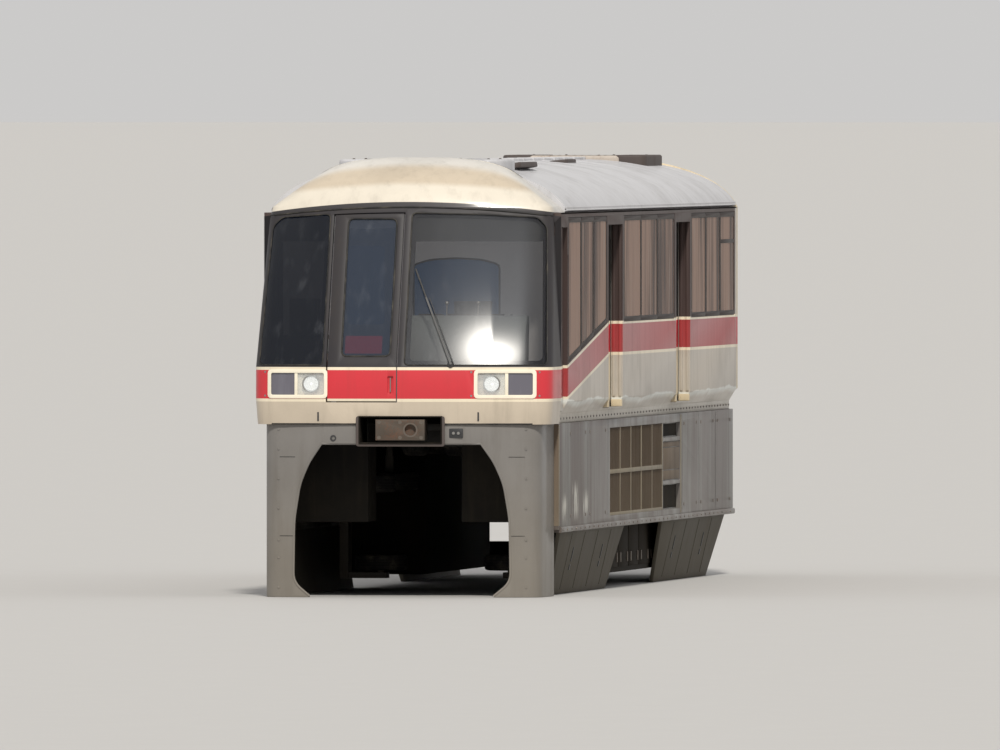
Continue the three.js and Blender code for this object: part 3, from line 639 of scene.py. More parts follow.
@dataclass(frozen=True)
class StreakedGlass(TintedGlass):
    """Side glass with its reflections painted in: a bronze tint with upright streaks and pale flecks."""

    streak: Colour = (150, 123, 109)
    pale: Colour = (146, 142, 136)

    def colour(self, sheet: MaterialSheet) -> Any:
        """The colour with its painted reflection.

        Args:
            sheet: The material's sheet.

        Returns:
            A colour socket.
        """
        # Upright streaks and pale flecks: painted reflections.
        broad = sheet.noise(1.7, (1, 1, 0.1), detail=2.0, rough=0.5)
        fine = sheet.noise(9.0, (1, 1, 0.07), detail=3.0, rough=0.6)
        streaks = (broad * 0.6 + fine * 0.4).ramp(0.36, 0.58)
        colour = sheet.mix(streaks, linear(self.tint), linear(self.streak))
        return sheet.mix(fine.ramp(0.6, 0.72) * 0.5, colour, linear(self.pale))


@dataclass(frozen=True)
class ClearGlass(Finish):
    """Clear lamp glass."""

    tint: Colour = (225, 230, 232)
    alpha: float = 0.28
    rough: float = 0.04

    def build(self) -> bpy.types.Material:
        """Makes the material.

        Returns:
            The material.
        """
        sheet = MaterialSheet(self.name)
        speck = sheet.noise(90.0, detail=2.0)
        return sheet.shade({
            "Base Color": linear(self.tint), "Roughness": speck.ramp(0.5, 0.9) * 0.2 + self.rough,
            "IOR": 1.5, "Alpha": speck.ramp(0.55, 0.9) * 0.2 + self.alpha})


@dataclass(frozen=True)
class Rubber(Finish):
    """Black rubber, dusty where it is rough."""

    colour: Colour = (26, 26, 27)
    dust: float = 0.4
    rough: float = 0.72
    grain: float = 160.0

    def build(self) -> bpy.types.Material:
        """Makes the material.

        Returns:
            The material.
        """
        sheet = MaterialSheet(self.name)
        cloud = sheet.noise(6.0, detail=5.0, rough=0.65)
        grain = sheet.noise(self.grain, detail=3.0, rough=0.7)
        dusty = (cloud * 0.7 + grain * 0.3).ramp(0.42, 0.8) * self.dust
        return sheet.shade({
            "Base Color": sheet.mix(dusty, linear(self.colour), linear(DUST)),
            "Roughness": (dusty * 0.2 + grain * 0.1 + self.rough - 0.05).minimum(1.0),
            "Specular IOR Level": 0.4, "Normal": sheet.bump(grain, 0.0012, 0.4)})


@dataclass(frozen=True)
class Metal(Finish):
    """Bare or cast metal with rust, oil and brushed wear."""

    colour: Colour = (150, 150, 150)
    rough: float = 0.42
    metallic: float = 0.9
    rust: float = 0.3
    oil: float = 0.3
    grain: float = 70.0

    def build(self) -> bpy.types.Material:
        """Makes the material.

        Returns:
            The material.
        """
        sheet = MaterialSheet(self.name)
        cloud = sheet.noise(3.0, detail=5.0, rough=0.62)
        grain = sheet.noise(self.grain, detail=4.0, rough=0.65)
        rusty = (cloud * 0.6 + grain * 0.4).ramp(0.62 - 0.2 * self.rust, 0.74) * min(1.0, 0.4 + self.rust)
        oily = sheet.noise(4.3, (1, 1, 0.5), detail=3.0).ramp(0.5, 0.8) * self.oil
        colour = sheet.mix(oily, linear(self.colour), linear((24, 21, 18)))
        colour = sheet.mix(rusty, colour, linear(RUST))
        return sheet.shade({
            "Base Color": sheet.mix(grain * 0.25, colour, linear((30, 27, 24))),
            "Metallic": (self.metallic - rusty).maximum(0.0),
            "Roughness": (rusty * 0.4 + grain * 0.15 + self.rough - 0.08).minimum(1.0),
            "Normal": sheet.bump(grain, 0.0015, 0.4)})


@dataclass(frozen=True)
class Plastic(Finish):
    """Moulded panel with a leathery grain and rubbed patches."""

    colour: Colour = (150, 156, 154)
    rough: float = 0.55
    grain: float = 260.0
    glow: float = 0.0
    soil: float = 0.22

    def build(self) -> bpy.types.Material:
        """Makes the material.

        Returns:
            The material.
        """
        sheet = MaterialSheet(self.name)
        cloud = sheet.noise(2.3, detail=4.0)
        grain = sheet.noise(self.grain, detail=2.0)
        colour = sheet.mix(cloud * self.soil, linear(self.colour), linear(GRIME))
        return sheet.shade({
            "Base Color": colour, "Roughness": (cloud * 0.2 + self.rough - 0.1).minimum(1.0),
            "Emission Color": linear(self.colour), "Emission Strength": self.glow,
            "Normal": sheet.bump(grain, 0.0008, 0.5)})


@dataclass(frozen=True)
class Moquette(Finish):
    """Woven seat cover: a fine weave with a small mottled figure and soft wear."""

    colour: Colour = (38, 58, 98)
    second: Colour = (92, 108, 132)
    thread: float = 0.0035

    def build(self) -> bpy.types.Material:
        """Makes the material.

        Returns:
            The material.
        """
        sheet = MaterialSheet(self.name)
        turns = 2 * math.pi / self.thread
        across = ((sheet.x + sheet.y) * turns).sine()
        down = ((sheet.z + sheet.y * 0.5) * turns).sine()
        weave = across * down * 0.5 + 0.5
        figure = sheet.noise(55.0, detail=1.0).ramp(0.56, 0.6)
        worn = sheet.noise(4.0, detail=3.0)
        colour = sheet.mix(figure * 0.6, linear(self.colour), linear(self.second))
        colour = sheet.mix(worn * 0.3, colour, linear((96, 96, 100)))
        return sheet.shade({
            "Base Color": sheet.mix(weave * 0.35, colour, linear((18, 22, 34))),
            "Roughness": 0.92, "Sheen Weight": 0.25, "Sheen Roughness": 0.5,
            "Normal": sheet.bump(weave, 0.0012, 0.7)})


class Finishes:
    """Every finish on the car, by its plain name."""

    mask = Livery("livery_front", "cream_paint", (203, 190, 172), 0.36, 0.22, 0.25, dust=0.2,
                  red=(210, 54, 64), black=(52, 50, 54), black_top=3.0)
    # The side's red and cream are darker and greyer than the front's: painted shade of the side, which the
    # sun only grazes. Its wavy pale sill line is a painted reflection.
    wall = Livery("livery_side", "body_grey", (192, 184, 173), 0.4, 0.3, 0.3, dust_top=0.75, dust_foot=0.2,
                  dust=0.3, gloss=0.3, red=(168, 62, 64), black=(72, 58, 56), black_top=2.6, tide=0.8)
    end = Livery("livery_rear", "cream_paint", (226, 212, 184), 0.45, 0.35, 0.4, black_top=-9.0)
    leaf = Livery("livery_door", "body_grey", (222, 208, 182), 0.4, 0.3, 0.3, dust_top=0.9,
                  dust_foot=0.3, dust=0.3, black=(38, 36, 38))
    dome = BrowPaint("brow_cream", "cream_paint", (227, 219, 205), 0.4, 0.22, 0.25, coat=0.3)
    bezel = Paint("lamp_bezel_cream", "cream_paint", (250, 242, 222), 0.3, 0.1, 0.1, coat=0.4)
    edge = Paint("sunlit_edge_cream", "cream_paint", (212, 196, 166), 0.45, 0.3, 0.4, coat=0.2)
    roof = Paint("roof_grey_paint", "roof_grey", (204, 204, 208), 0.5, 0.3, 0.3, rust=0.25)
    lid = Paint("roof_lid_brown", "equipment_dark", (84, 76, 74), 0.6, 0.6, 0.4, rust=0.5, coat=0.0)
    duct = Paint("roof_duct_paint", "roof_grey", (196, 186, 176), 0.55, 0.5, 0.3, rust=1.0, coat=0.0)
    apron = Paint("apron_grey_paint", "apron_grey", (125, 122, 119), 0.5, 0.3, 0.3, dust=0.3, dust_top=0.2)
    # The skirt's grey is darker than the front apron's: its own grime and painted shade of the side below the
    # body.
    skirt = SkirtPaint("skirt_grey_paint", "skirt_grey", (94, 86, 83), 0.52, 0.35, 0.5, rust=0.15, dust=0.15)
    # The slanted lower panels are near black: dirt and painted shade under the ledge.
    panel = Paint("lower_panel_grey", "skirt_grey", (60, 57, 50), 0.65, 0.5, 0.6, rust=0.3, dust=0.15,
                  coat=0.0)
    tan = Paint("hatch_tan", "skirt_grey", (112, 98, 84), 0.6, 0.5, 0.7, coat=0.0)
    sill = Paint("louvre_sill_tan", "skirt_grey", (136, 126, 106), 0.55, 0.3, 0.4, coat=0.1)
    # Dark brown equipment paint made near black: painted shade in the coupler pocket, the hatch recesses and
    # under the floor.
    equipment = Paint("equipment_brown", "equipment_dark", (28, 25, 22), 0.8, 0.4, 0.3, rust=0.4, dust=0.04,
                      coat=0.0, gloss=0.08)
    chassis = Paint("chassis_grey", "bogie_frame", (44, 42, 41), 0.6, 0.6, 0.4, rust=0.5, dust=0.2, coat=0.05)
    # Near black: painted shade of the space under the floor, over the frame's own dark paint.
    underside = Paint("underside_dark", "equipment_dark", (28, 27, 26), 0.8, 0.5, 0.3, rust=0.3, dust=0.05,
                      coat=0.0, gloss=0.1)
    # Side glass: its bronze tint, streaks and flecks are a painted reflection.
    glass = StreakedGlass("side_glass", "black_glass", (68, 54, 51), 0.92, 0.12, 0.1, 0.0, 0.25)
    screen = BowedGlass("front_glass", "black_glass", (6, 12, 24), 0.8, 0.04, 0.12, 0.5)
    escape = BowedGlass("escape_glass_blue", "black_glass", (48, 56, 70), 0.72, 0.04, 0.12, 0.5)
    milky = BowedGlass("front_glass_milky", "black_glass", (14, 18, 26), 0.28, 0.095, 0.1, 0.6, milk=0.34)
    # The cab wall's window glows a little: painted light, not a lamp.
    cab_glass = TintedGlass("cab_wall_blue_glass", "black_glass", (52, 100, 150), 0.97, 0.06, 0.1, glow=0.16)
    frit = Paint("glass_border_black", "black_glass", (48, 38, 36), 0.4, 0.15, 0.12, coat=0.0, dust=0.0,
                 gloss=0.1)
    lens = ClearGlass("lamp_glass_clear", "lamp_glass")
    smoked = TintedGlass("lamp_lens_dark", "lamp_glass", (104, 102, 112), 0.95, 0.08, 0.2)
    red_lens = TintedGlass("tail_lens_red", "lamp_glass", (150, 12, 14), 0.9, 0.08, 0.1)
    mirror = Metal("lamp_reflector", "lamp_glass", (230, 232, 235), 0.12, 1.0, 0.0, 0.0)
    seal = Rubber("window_seal", "black_glass", (22, 22, 23), 0.3, 0.6)
    bellows = Rubber("gangway_rubber", "equipment_dark", (34, 33, 33), 0.4, 0.75)
    tyre = Rubber("tyre_rubber", "tyre", (30, 29, 29), 0.55, 0.8, 220.0)
    rim = Paint("wheel_rim_grey", "tyre", (108, 104, 98), 0.6, 0.8, 0.3, rust=0.5, dust=0.4, coat=0.0)
    steel = Metal("worn_steel", "coupler_steel", (120, 112, 104), 0.48, 0.85, 0.5, 0.5)
    bright = Metal("brushed_steel", "coupler_steel", (176, 174, 170), 0.32, 0.95, 0.05, 0.1)
    cast = Metal("coupler_iron", "coupler_steel", (92, 84, 76), 0.6, 0.6, 0.7, 0.6)
    inside = Plastic("inside_panel", "interior_grey", (186, 188, 182))
    # The cab wall panel glows a little: painted light on a panel in shade.
    cab_wall = Plastic("cab_wall_panel", "interior_grey", (206, 203, 202), glow=0.17)
    console = Plastic("desk_moulding", "interior_grey", (158, 164, 162), 0.6)
    dark_trim = Plastic("dark_moulding", "interior_grey", (44, 46, 50), 0.5)
    lining = Plastic("floor_covering", "interior_grey", (92, 94, 96), 0.7, 120.0)
    light = Plastic("ceiling_light", "interior_grey", (250, 248, 240), 0.4, 200.0, 1.2)
    sign = Plastic("blank_sign_red", "interior_grey", (206, 30, 44), 0.35, 200.0, 1.1)
    seat = Moquette("seat_cover", "seat_fabric")
    stage = Plastic("studio_floor", "interior_grey", (191, 190, 189), 0.75, 8.0, 0.0, 0.02)


# Shapes.


def smooth_corner(before: Vector, corner: Vector, after: Vector, radius: float,
                  steps: int) -> list[Vector]:
    """Rounds one corner of a path.

    Args:
        before: The point before the corner.
        corner: The corner.
        after: The point after it.
        radius: How far from the corner the bend starts.
        steps: Stretches in the bend.

    Returns:
        The bend's points.
    """
    reach = min(radius, (before - corner).length * 0.49, (after - corner).length * 0.49)
    start = corner + (before - corner).normalized() * reach
    end = corner + (after - corner).normalized() * reach
    if reach < 1e-5:
        return [corner]
    bend = []
    for i in range(steps + 1):
        t = i / steps
        bend.append(start * (1 - t) ** 2 + corner * (2 * t * (1 - t)) + end * t ** 2)
    return bend


def rounded(outline: Sequence[Plane], radius: float, steps: int = 5) -> list[Plane]:
    """Rounds every corner of a closed outline.

    Args:
        outline: The corners in order.
        radius: The bend's reach.
        steps: Stretches in each bend.

    Returns:
        The outline's points.
    """
    corners = [Vector((a, b)) for a, b in outline]
    points: list[Plane] = []
    for i, corner in enumerate(corners):
        bend = smooth_corner(corners[i - 1], corner, corners[(i + 1) % len(corners)], radius, steps)
        points.extend((p.x, p.y) for p in bend)
    return points


def rectangle(a0: float, a1: float, b0: float, b1: float) -> list[Plane]:
    """Corners of a rectangle, counter-clockwise."""
    return [(a0, b0), (a1, b0), (a1, b1), (a0, b1)]


def bent(route: Sequence[Point], radius: float, steps: int = 5) -> list[Vector]:
    """Rounds the inner corners of an open route.

    Args:
        route: The corners in order.
        radius: The bend's reach.
        steps: Stretches in each bend.

    Returns:
        The route's points.
    """
    corners = [Vector(p) for p in route]
    points = [corners[0]]
    for before, corner, after in zip(corners, corners[1:], corners[2:]):
        points.extend(smooth_corner(before, corner, after, radius, steps))
    return [*points, corners[-1]]


def ring(radius: float, sides: int) -> list[Plane]:
    """A regular outline about the origin."""
    turn = 2 * math.pi / sides
    return [(radius * math.cos(i * turn), radius * math.sin(i * turn)) for i in range(sides)]


class Form:
    """A mesh that is cut, joined and moved until it becomes a piece."""

    def __init__(self, build: bmesh.types.BMesh | None = None) -> None:
        """Starts empty or from a mesh that is being built.

        Args:
            build: The mesh to take over.
        """
        self.bm = build or bmesh.new()

    @classmethod
    def of_node(cls, name: str) -> "Form":
        """A merged copy of a CAD node's mesh.

        Args:
            name: The node.

        Returns:
            The copy.
        """
        form = cls()
        form.bm.from_mesh(frame["nodes"][name].data)
        bmesh.ops.remove_doubles(form.bm, verts=form.bm.verts, dist=2e-5)
        bmesh.ops.dissolve_limit(form.bm, angle_limit=math.radians(0.4), verts=form.bm.verts,
                                 edges=form.bm.edges)
        return form

    @classmethod
    def box(cls, corner: Point, opposite: Point) -> "Form":
        """A block between two opposite corners."""
        (x0, x1), (y0, y1), (z0, z1) = (sorted(pair) for pair in zip(corner, opposite))
        return cls.prism(rectangle(x0, x1, y0, y1), Axis.Z, z0, z1)

    @classmethod
    def boxes(cls, corners: Iterable[tuple[Point, Point]]) -> "Form":
        """Blocks between pairs of corners."""
        return cls().beside(*[cls.box(*pair) for pair in corners])

    @classmethod
    def bars(cls, x: Plane, places: Iterable[float], half: float, z: Plane) -> "Form":
        """Like blocks along Y.

        Args:
            x: Where each begins and ends across.
            places: Their middles along.
            half: Half of each one's length.
            z: Where each begins and ends in height.

        Returns:
            The shape.
        """
        return cls.boxes(((x[0], y - half, z[0]), (x[1], y + half, z[1])) for y in places)

    @classmethod
    def prism(cls, outline: Sequence[Plane], axis: Axis, start: float, end: float) -> "Form":
        """Carries an outline along an axis.

        Args:
            outline: Points on the other two axes, in their order.
            axis: The axis of travel.
            start: Where the travel begins.
            end: Where it ends.

        Returns:
            The closed shape.
        """
        form = cls()
        ends = []
        for place in (start, end):
            row = []
            for a, b in outline:
                spot = [a, b]
                spot.insert(axis.value, place)
                row.append(form.bm.verts.new(spot))
            ends.append(row)
        form._walls(ends[0], ends[1])
        form.bm.faces.new(ends[0])
        form.bm.faces.new(list(reversed(ends[1])))
        return form.sound()

    @classmethod
    def rows(cls, rows: Sequence[Sequence[Vector]], capped: bool = True) -> "Form":
        """Closed sections joined by walls.

        Args:
            rows: The sections, all with as many points.
            capped: Whether the first and the last are filled.

        Returns:
            The shape.
        """
        form = cls()
        made = [[form.bm.verts.new(p) for p in row] for row in rows]
        for first, second in zip(made, made[1:]):
            form._walls(first, second)
        if capped:
            form.bm.faces.new(made[0])
            form.bm.faces.new(list(reversed(made[-1])))
        return form.sound()

    @classmethod
    def turned(cls, profile: Sequence[Plane], axis: Axis, centre: Point, sides: int = 48) -> "Form":
        """Turns a profile about an axis through a centre.

        Args:
            profile: Radius and place along the axis; an end at radius 0 closes the shape.
            axis: The axis.
            centre: A point on the axis.
            sides: Faces round.

        Returns:
            The shape.
        """
        form = cls()
        others = [i for i in range(3) if i != axis.value]
        made = []
        for radius, place in profile:
            row = []
            for a, b in ring(radius, sides) if radius > 1e-6 else [(0.0, 0.0)]:
                spot = [0.0, 0.0, 0.0]
                spot[axis.value] = place
                spot[others[0]], spot[others[1]] = a, b
                row.append(form.bm.verts.new(Vector(spot) + Vector(centre)))
            made.append(row)
        closed = profile[0][0] > 1e-6
        for first, second in zip(made, made[1:] + ([made[0]] if closed else [])):
            form._walls(first, second)
        return form.sound()

    @classmethod
    def lathed(cls, profile: Sequence[Plane], axis: Axis, centres: Iterable[Point], sides: int) -> "Form":
        """Like turned shapes about several centres."""
        return cls().beside(*[cls.turned(profile, axis, centre, sides) for centre in centres])

    @classmethod
    def swept(cls, path: Iterable[Point | Vector], section: Sequence[Plane], hint: Point | Vector,
              closed: bool = False) -> "Form":
        """Carries a section along a path.

        Args:
            path: The path's points.
            section: Points across; the second number lies along the hint.
            hint: A direction that the section keeps facing.
            closed: Whether the path ends where it starts.

        Returns:
            The shape.
        """
        path = [Vector(p) for p in path]
        count = len(path)
        facing = Vector(hint)
        rows = []
        for i, point in enumerate(path):
            before = path[i - 1] if closed or i else point
            after = path[(i + 1) % count] if closed or i + 1 < count else point
            along = (after - before).normalized()
            facing = (facing - along * facing.dot(along)).normalized()
            across = along.cross(facing)
            rows.append([point + across * a + facing * b for a, b in section])
        if closed:
            rows.append(rows[0])
        return cls.rows(rows, capped=not closed)

    @classmethod
    def tube(cls, path: Sequence[Point | Vector], radius: float, sides: int = 10,
             closed: bool = False) -> "Form":
        """A round bar along a path.

        Args:
            path: Its middle line.
            radius: The bar's radius.
            sides: Faces around it.
            closed: Whether the path joins its own start.

        Returns:
            The bar.
        """
        first = (Vector(path[1]) - Vector(path[0])).normalized()
        hint = (0, 0, 1) if abs(first.z) < 0.8 else (0, 1, 0)
        return cls.swept(path, ring(radius, sides), hint, closed)

    @classmethod
    def tubes(cls, paths: Iterable[Sequence[Point | Vector]], radius: float, sides: int = 10,
              closed: bool = False) -> "Form":
        """Round bars along paths."""
        return cls().beside(*[cls.tube(path, radius, sides, closed) for path in paths])

    def _walls(self, first: list, second: list) -> None:
        """Joins two rows of vertices with faces; a row of one is a pole.

        Args:
            first: One row.
            second: The next row.
        """
        if len(first) == 1 or len(second) == 1:
            pole, rim = (first, second) if len(first) == 1 else (second, first)
            for i, vertex in enumerate(rim):
                self.bm.faces.new((pole[0], vertex, rim[(i + 1) % len(rim)]))
            return
        for i, vertex in enumerate(first):
            j = (i + 1) % len(first)
            self.bm.faces.new((vertex, first[j], second[j], second[i]))

    def sound(self) -> "Form":
        """Merges doubles and points the faces out."""
        bmesh.ops.remove_doubles(self.bm, verts=self.bm.verts, dist=1e-6)
        bmesh.ops.recalc_face_normals(self.bm, faces=self.bm.faces)
        return self

    def copy(self) -> "Form":
        """Another form of the same shape."""
        return Form(self.bm.copy())

    def placed(self, matrix: Matrix) -> "Form":
        """Moves or turns the shape.

        Args:
            matrix: The change; one that mirrors also turns the faces back out.

        Returns:
            This form.
        """
        bmesh.ops.transform(self.bm, matrix=matrix, verts=self.bm.verts)
        if matrix.determinant() < 0:
            bmesh.ops.reverse_faces(self.bm, faces=self.bm.faces)
        return self

    def moved(self, x: float, y: float, z: float) -> "Form":
        """Shifts the shape."""
        return self.placed(Matrix.Translation((x, y, z)))

    def handed(self, side: Side) -> "Form":
        """Mirrors the shape for the left side."""
        return self if side is Side.RIGHT else self.placed(Matrix.Diagonal((-1, 1, 1, 1)))

    def beside(self, *others: "Form") -> "Form":
        """Takes in other shapes without joining their surfaces.

        Args:
            others: The shapes.

        Returns:
            This form.
        """
        for other in others:
            mesh = other.mesh("beside")
            self.bm.from_mesh(mesh)
            bpy.data.meshes.remove(mesh)
        return self

    def mesh(self, name: str) -> bpy.types.Mesh:
        """Writes the shape to a mesh.

        Args:
            name: The mesh's name.

        Returns:
            The mesh.
        """
        made = bpy.data.meshes.new(name)
        self.bm.to_mesh(made)
        return made

    def evaluated(self, change: Callable[[bpy.types.Object], None]) -> "Form":
        """Runs modifiers on the shape.

        Args:
            change: Adds the modifiers to a temporary object.

        Returns:
            This form with their result.
        """
        mesh = self.mesh("temporary")
        thing = bpy.data.objects.new("temporary", mesh)
        bpy.context.scene.collection.objects.link(thing)
        change(thing)
        graph = bpy.context.evaluated_depsgraph_get()
        result = bpy.data.meshes.new_from_object(thing.evaluated_get(graph), depsgraph=graph)
        self.bm.clear()
        self.bm.from_mesh(result)
        bpy.data.objects.remove(thing)
        bpy.data.meshes.remove(mesh)
        bpy.data.meshes.remove(result)
        return self

    def _boolean(self, operation: str, others: Iterable["Form"]) -> "Form":
        """Cuts, keeps or joins with exact booleans.

        Args:
            operation: The modifier's word for it.
            others: The other shapes, one after another.

        Returns:
            This form.
        """
        for other in others:
            tool = bpy.data.objects.new("tool", other.mesh("tool"))
            bpy.context.scene.collection.objects.link(tool)

            def change(thing: bpy.types.Object) -> None:
                """Adds the boolean."""
                step = thing.modifiers.new("step", "BOOLEAN")
                step.operation, step.solver, step.object = operation, "EXACT", tool

            self.evaluated(change)
            bpy.data.meshes.remove(tool.data)
        return self

    def cut(self, *others: "Form") -> "Form":
        """Takes other shapes away."""
        return self._boolean("DIFFERENCE", others)

    def keep(self, *others: "Form") -> "Form":
        """Keeps what lies inside other shapes."""
        return self._boolean("INTERSECT", others)

    def join(self, *others: "Form") -> "Form":
        """Makes one body with other shapes."""
        return self._boolean("UNION", others)

    def bevelled(self, width: float, segments: int = 2, angle: float = 28.0) -> "Form":
        """Rounds the edges that turn more than an angle.

        Args:
            width: The bevel's width.
            segments: Faces across it.
            angle: The least turn in degrees.

        Returns:
            This form.
        """
        def change(thing: bpy.types.Object) -> None:
            """Adds the bevel."""
            step = thing.modifiers.new("step", "BEVEL")
            step.width, step.segments, step.limit_method = width, segments, "ANGLE"
            step.angle_limit, step.use_clamp_overlap = math.radians(angle), True

        return self.evaluated(change)

    def piece(self, name: str, finish: Finish, body: str = "car_body",
              replaces: Sequence[str] = (), smooth: float = 35.0) -> bpy.types.Object:
        """Makes the shape an object of the car.

        Args:
            name: The piece's name.
            finish: Its finish.
            body: The body that it rides on.
            replaces: The CAD nodes that it stands for.
            smooth: Edges that turn less than this, in degrees, are shaded round.

        Returns:
            The object.
        """
        mesh = self.mesh(name)
        self.bm.free()
        return dress(mesh, name, finish, body, replaces, smooth)


def dress(mesh: bpy.types.Mesh, name: str, finish: Finish, body: str, replaces: Sequence[str] = (),
          smooth: float = 35.0) -> bpy.types.Object:
    """Gives a mesh its object, finish and body.

    Args:
        mesh: The mesh, in place.
        name: The piece's name.
        finish: Its finish.
        body: The body that it rides on.
        replaces: The CAD nodes that it stands for.
        smooth: Edges that turn less than this, in degrees, are shaded round.

    Returns:
        The object.
    """
    mesh.materials.clear()
    mesh.materials.append(finish.material())
    mesh.shade_smooth()
    mesh.set_sharp_from_angle(angle=math.radians(smooth))
    thing = bpy.data.objects.new(name, mesh)
    bpy.context.scene.collection.objects.link(thing)
    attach(thing, body)
    if replaces:
        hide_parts(*replaces)
    LOG.info("%s: %d faces on %s", name, len(mesh.polygons), body)
    return thing


# Geometry Nodes.


class Repeater(NodeSheet):
    """A Geometry Nodes tree with named sizes, run once and kept as a plain mesh."""

    def __init__(self, name: str) -> None:
        """Makes a tree with a geometry in, a geometry out and a finish.

        Args:
            name: The tree's name.
        """
        super().__init__(bpy.data.node_groups.new(name, "GeometryNodeTree"))
        self.ids: dict[str, str] = {}
        self.entry = None
        face = self.tree.interface
        face.new_socket("Geometry", in_out="INPUT", socket_type="NodeSocketGeometry")
        face.new_socket("Geometry", in_out="OUTPUT", socket_type="NodeSocketGeometry")
        self.declare("Finish", "NodeSocketMaterial")

    def declare(self, name: str, kind: str = "NodeSocketFloat") -> None:
        """Adds a named input.

        Args:
            name: The input's name.
            kind: Its socket type.
        """
        socket = self.tree.interface.new_socket(name, in_out="INPUT", socket_type=kind)
        self.ids[name] = socket.identifier

    def given(self, name: str) -> Value:
        """The value of a named input.

        Args:
            name: The input's name.

        Returns:
            Its value.
        """
        if self.entry is None:
            self.entry = self.node("NodeGroupInput")
        return Value(self, self.entry.outputs[name])

    def close(self, geometry: bpy.types.NodeSocket) -> None:
        """Ends the tree in real meshes with their finish.

        Args:
            geometry: What the tree has made.
        """
        real = self.node("GeometryNodeRealizeInstances", None, {0: geometry})
        painted = self.node("GeometryNodeSetMaterial", None,
                            {"Geometry": real.outputs[0], "Material": self.given("Finish")})
        self.node("NodeGroupOutput", None, {0: painted.outputs[0]})

    def run(self, finish: Finish, sizes: dict[str, Any],
            host: bpy.types.Mesh | None = None) -> bpy.types.Mesh:
        """Runs the tree.

        Args:
            finish: The finish that it sets.
            sizes: A value for each named input.
            host: The mesh that the tree starts from, where it needs one.

        Returns:
            A plain mesh.
        """
        thing = bpy.data.objects.new("host", host or bpy.data.meshes.new("empty"))
        bpy.context.scene.collection.objects.link(thing)
        modifier = thing.modifiers.new("nodes", "NODES")
        modifier.node_group = self.tree
        for name, value in {"Finish": finish.material(), **sizes}.items():
            modifier[self.ids[name]] = value
        graph = bpy.context.evaluated_depsgraph_get()
        made = bpy.data.meshes.new_from_object(thing.evaluated_get(graph), depsgraph=graph)
        thing.modifiers.remove(modifier)
        bpy.data.objects.remove(thing)
        return made

    def form(self, finish: Finish, sizes: dict[str, Any]) -> Form:
        """Runs the tree and takes its mesh as a form.

        Args:
            finish: The finish that the tree sets.
            sizes: Values of the named inputs.

        Returns:
            The form.
        """
        made = self.run(finish, sizes)
        form = Form()
        form.bm.from_mesh(made)
        bpy.data.meshes.remove(made)
        return form


class Bolts(Repeater):
    """Bolt heads with washers, one on each vertex, each facing along the vertex's own direction."""

    def __init__(self) -> None:
        """Builds the tree."""
        super().__init__("bolt_heads")
        for name in ("Radius", "Height"):
            self.declare(name)
        self.declare("Sides", "NodeSocketInt")
        self.declare("Seed", "NodeSocketInt")
        radius, height = self.given("Radius"), self.given("Height")
        head = self.node("GeometryNodeMeshCylinder", None,
                         {"Vertices": self.given("Sides"), "Radius": radius, "Depth": height})
        washer = self.node("GeometryNodeMeshCylinder", None,
                           {"Vertices": 12, "Radius": radius * 1.4, "Depth": height * 0.3})
        both = self.node("GeometryNodeJoinGeometry")
        for part, lift in ((head, height * 0.6), (washer, height * 0.15)):
            spot = self.node("ShaderNodeCombineXYZ", None, {2: lift})
            raised = self.node("GeometryNodeTransform", None,
                               {"Geometry": part.outputs[0], "Translation": spot.outputs[0]})
            self.tree.links.new(raised.outputs[0], both.inputs[0])
        facing = self.node("GeometryNodeInputNamedAttribute", {"data_type": "FLOAT_VECTOR"},
                           {"Name": "facing"})
        upright = self.node("FunctionNodeAlignRotationToVector", {"axis": "Z"},
                            {"Vector": facing.outputs[0]})
        chance = self.node("FunctionNodeRandomValue", {"data_type": "FLOAT"},
                           {"Max": 2 * math.pi, "Seed": self.given("Seed")})
        spin = self.node("FunctionNodeAxisAngleToRotation", None, {"Angle": chance.outputs[1]})
        turned = self.node("FunctionNodeRotateRotation", {"rotation_space": "LOCAL"},
                           {"Rotation": upright.outputs[0], "Rotate By": spin.outputs[0]})
        heads = self.node("GeometryNodeInstanceOnPoints", None,
                          {"Points": self.given("Geometry"), "Instance": both.outputs[0],
                           "Rotation": turned.outputs[0]})
        self.close(heads.outputs[0])

    def piece(self, name: str, spots: Sequence[tuple[Point, Point]], finish: Finish, radius: float,
              height: float | None = None, sides: int = 6, body: str = "car_body") -> bpy.types.Object:
        """Sets bolts on spots.

        Args:
            name: The piece's name.
            spots: Each bolt's place and the direction that it faces.
            finish: The bolts' finish.
            radius: Radius of a head.
            height: Its height; two thirds of the radius if left out.
            sides: Sides of a head.
            body: The body that they ride on.

        Returns:
            The object.
        """
        host = bpy.data.meshes.new("spots")
        host.from_pydata([place for place, _ in spots], [], [])
        facing = host.attributes.new("facing", "FLOAT_VECTOR", "POINT")
        for i, (_, way) in enumerate(spots):
            facing.data[i].vector = way
        sizes = {"Radius": radius, "Height": height or radius * 0.66, "Sides": sides, "Seed": 7}
        return dress(self.run(finish, sizes, host), name, finish, body)


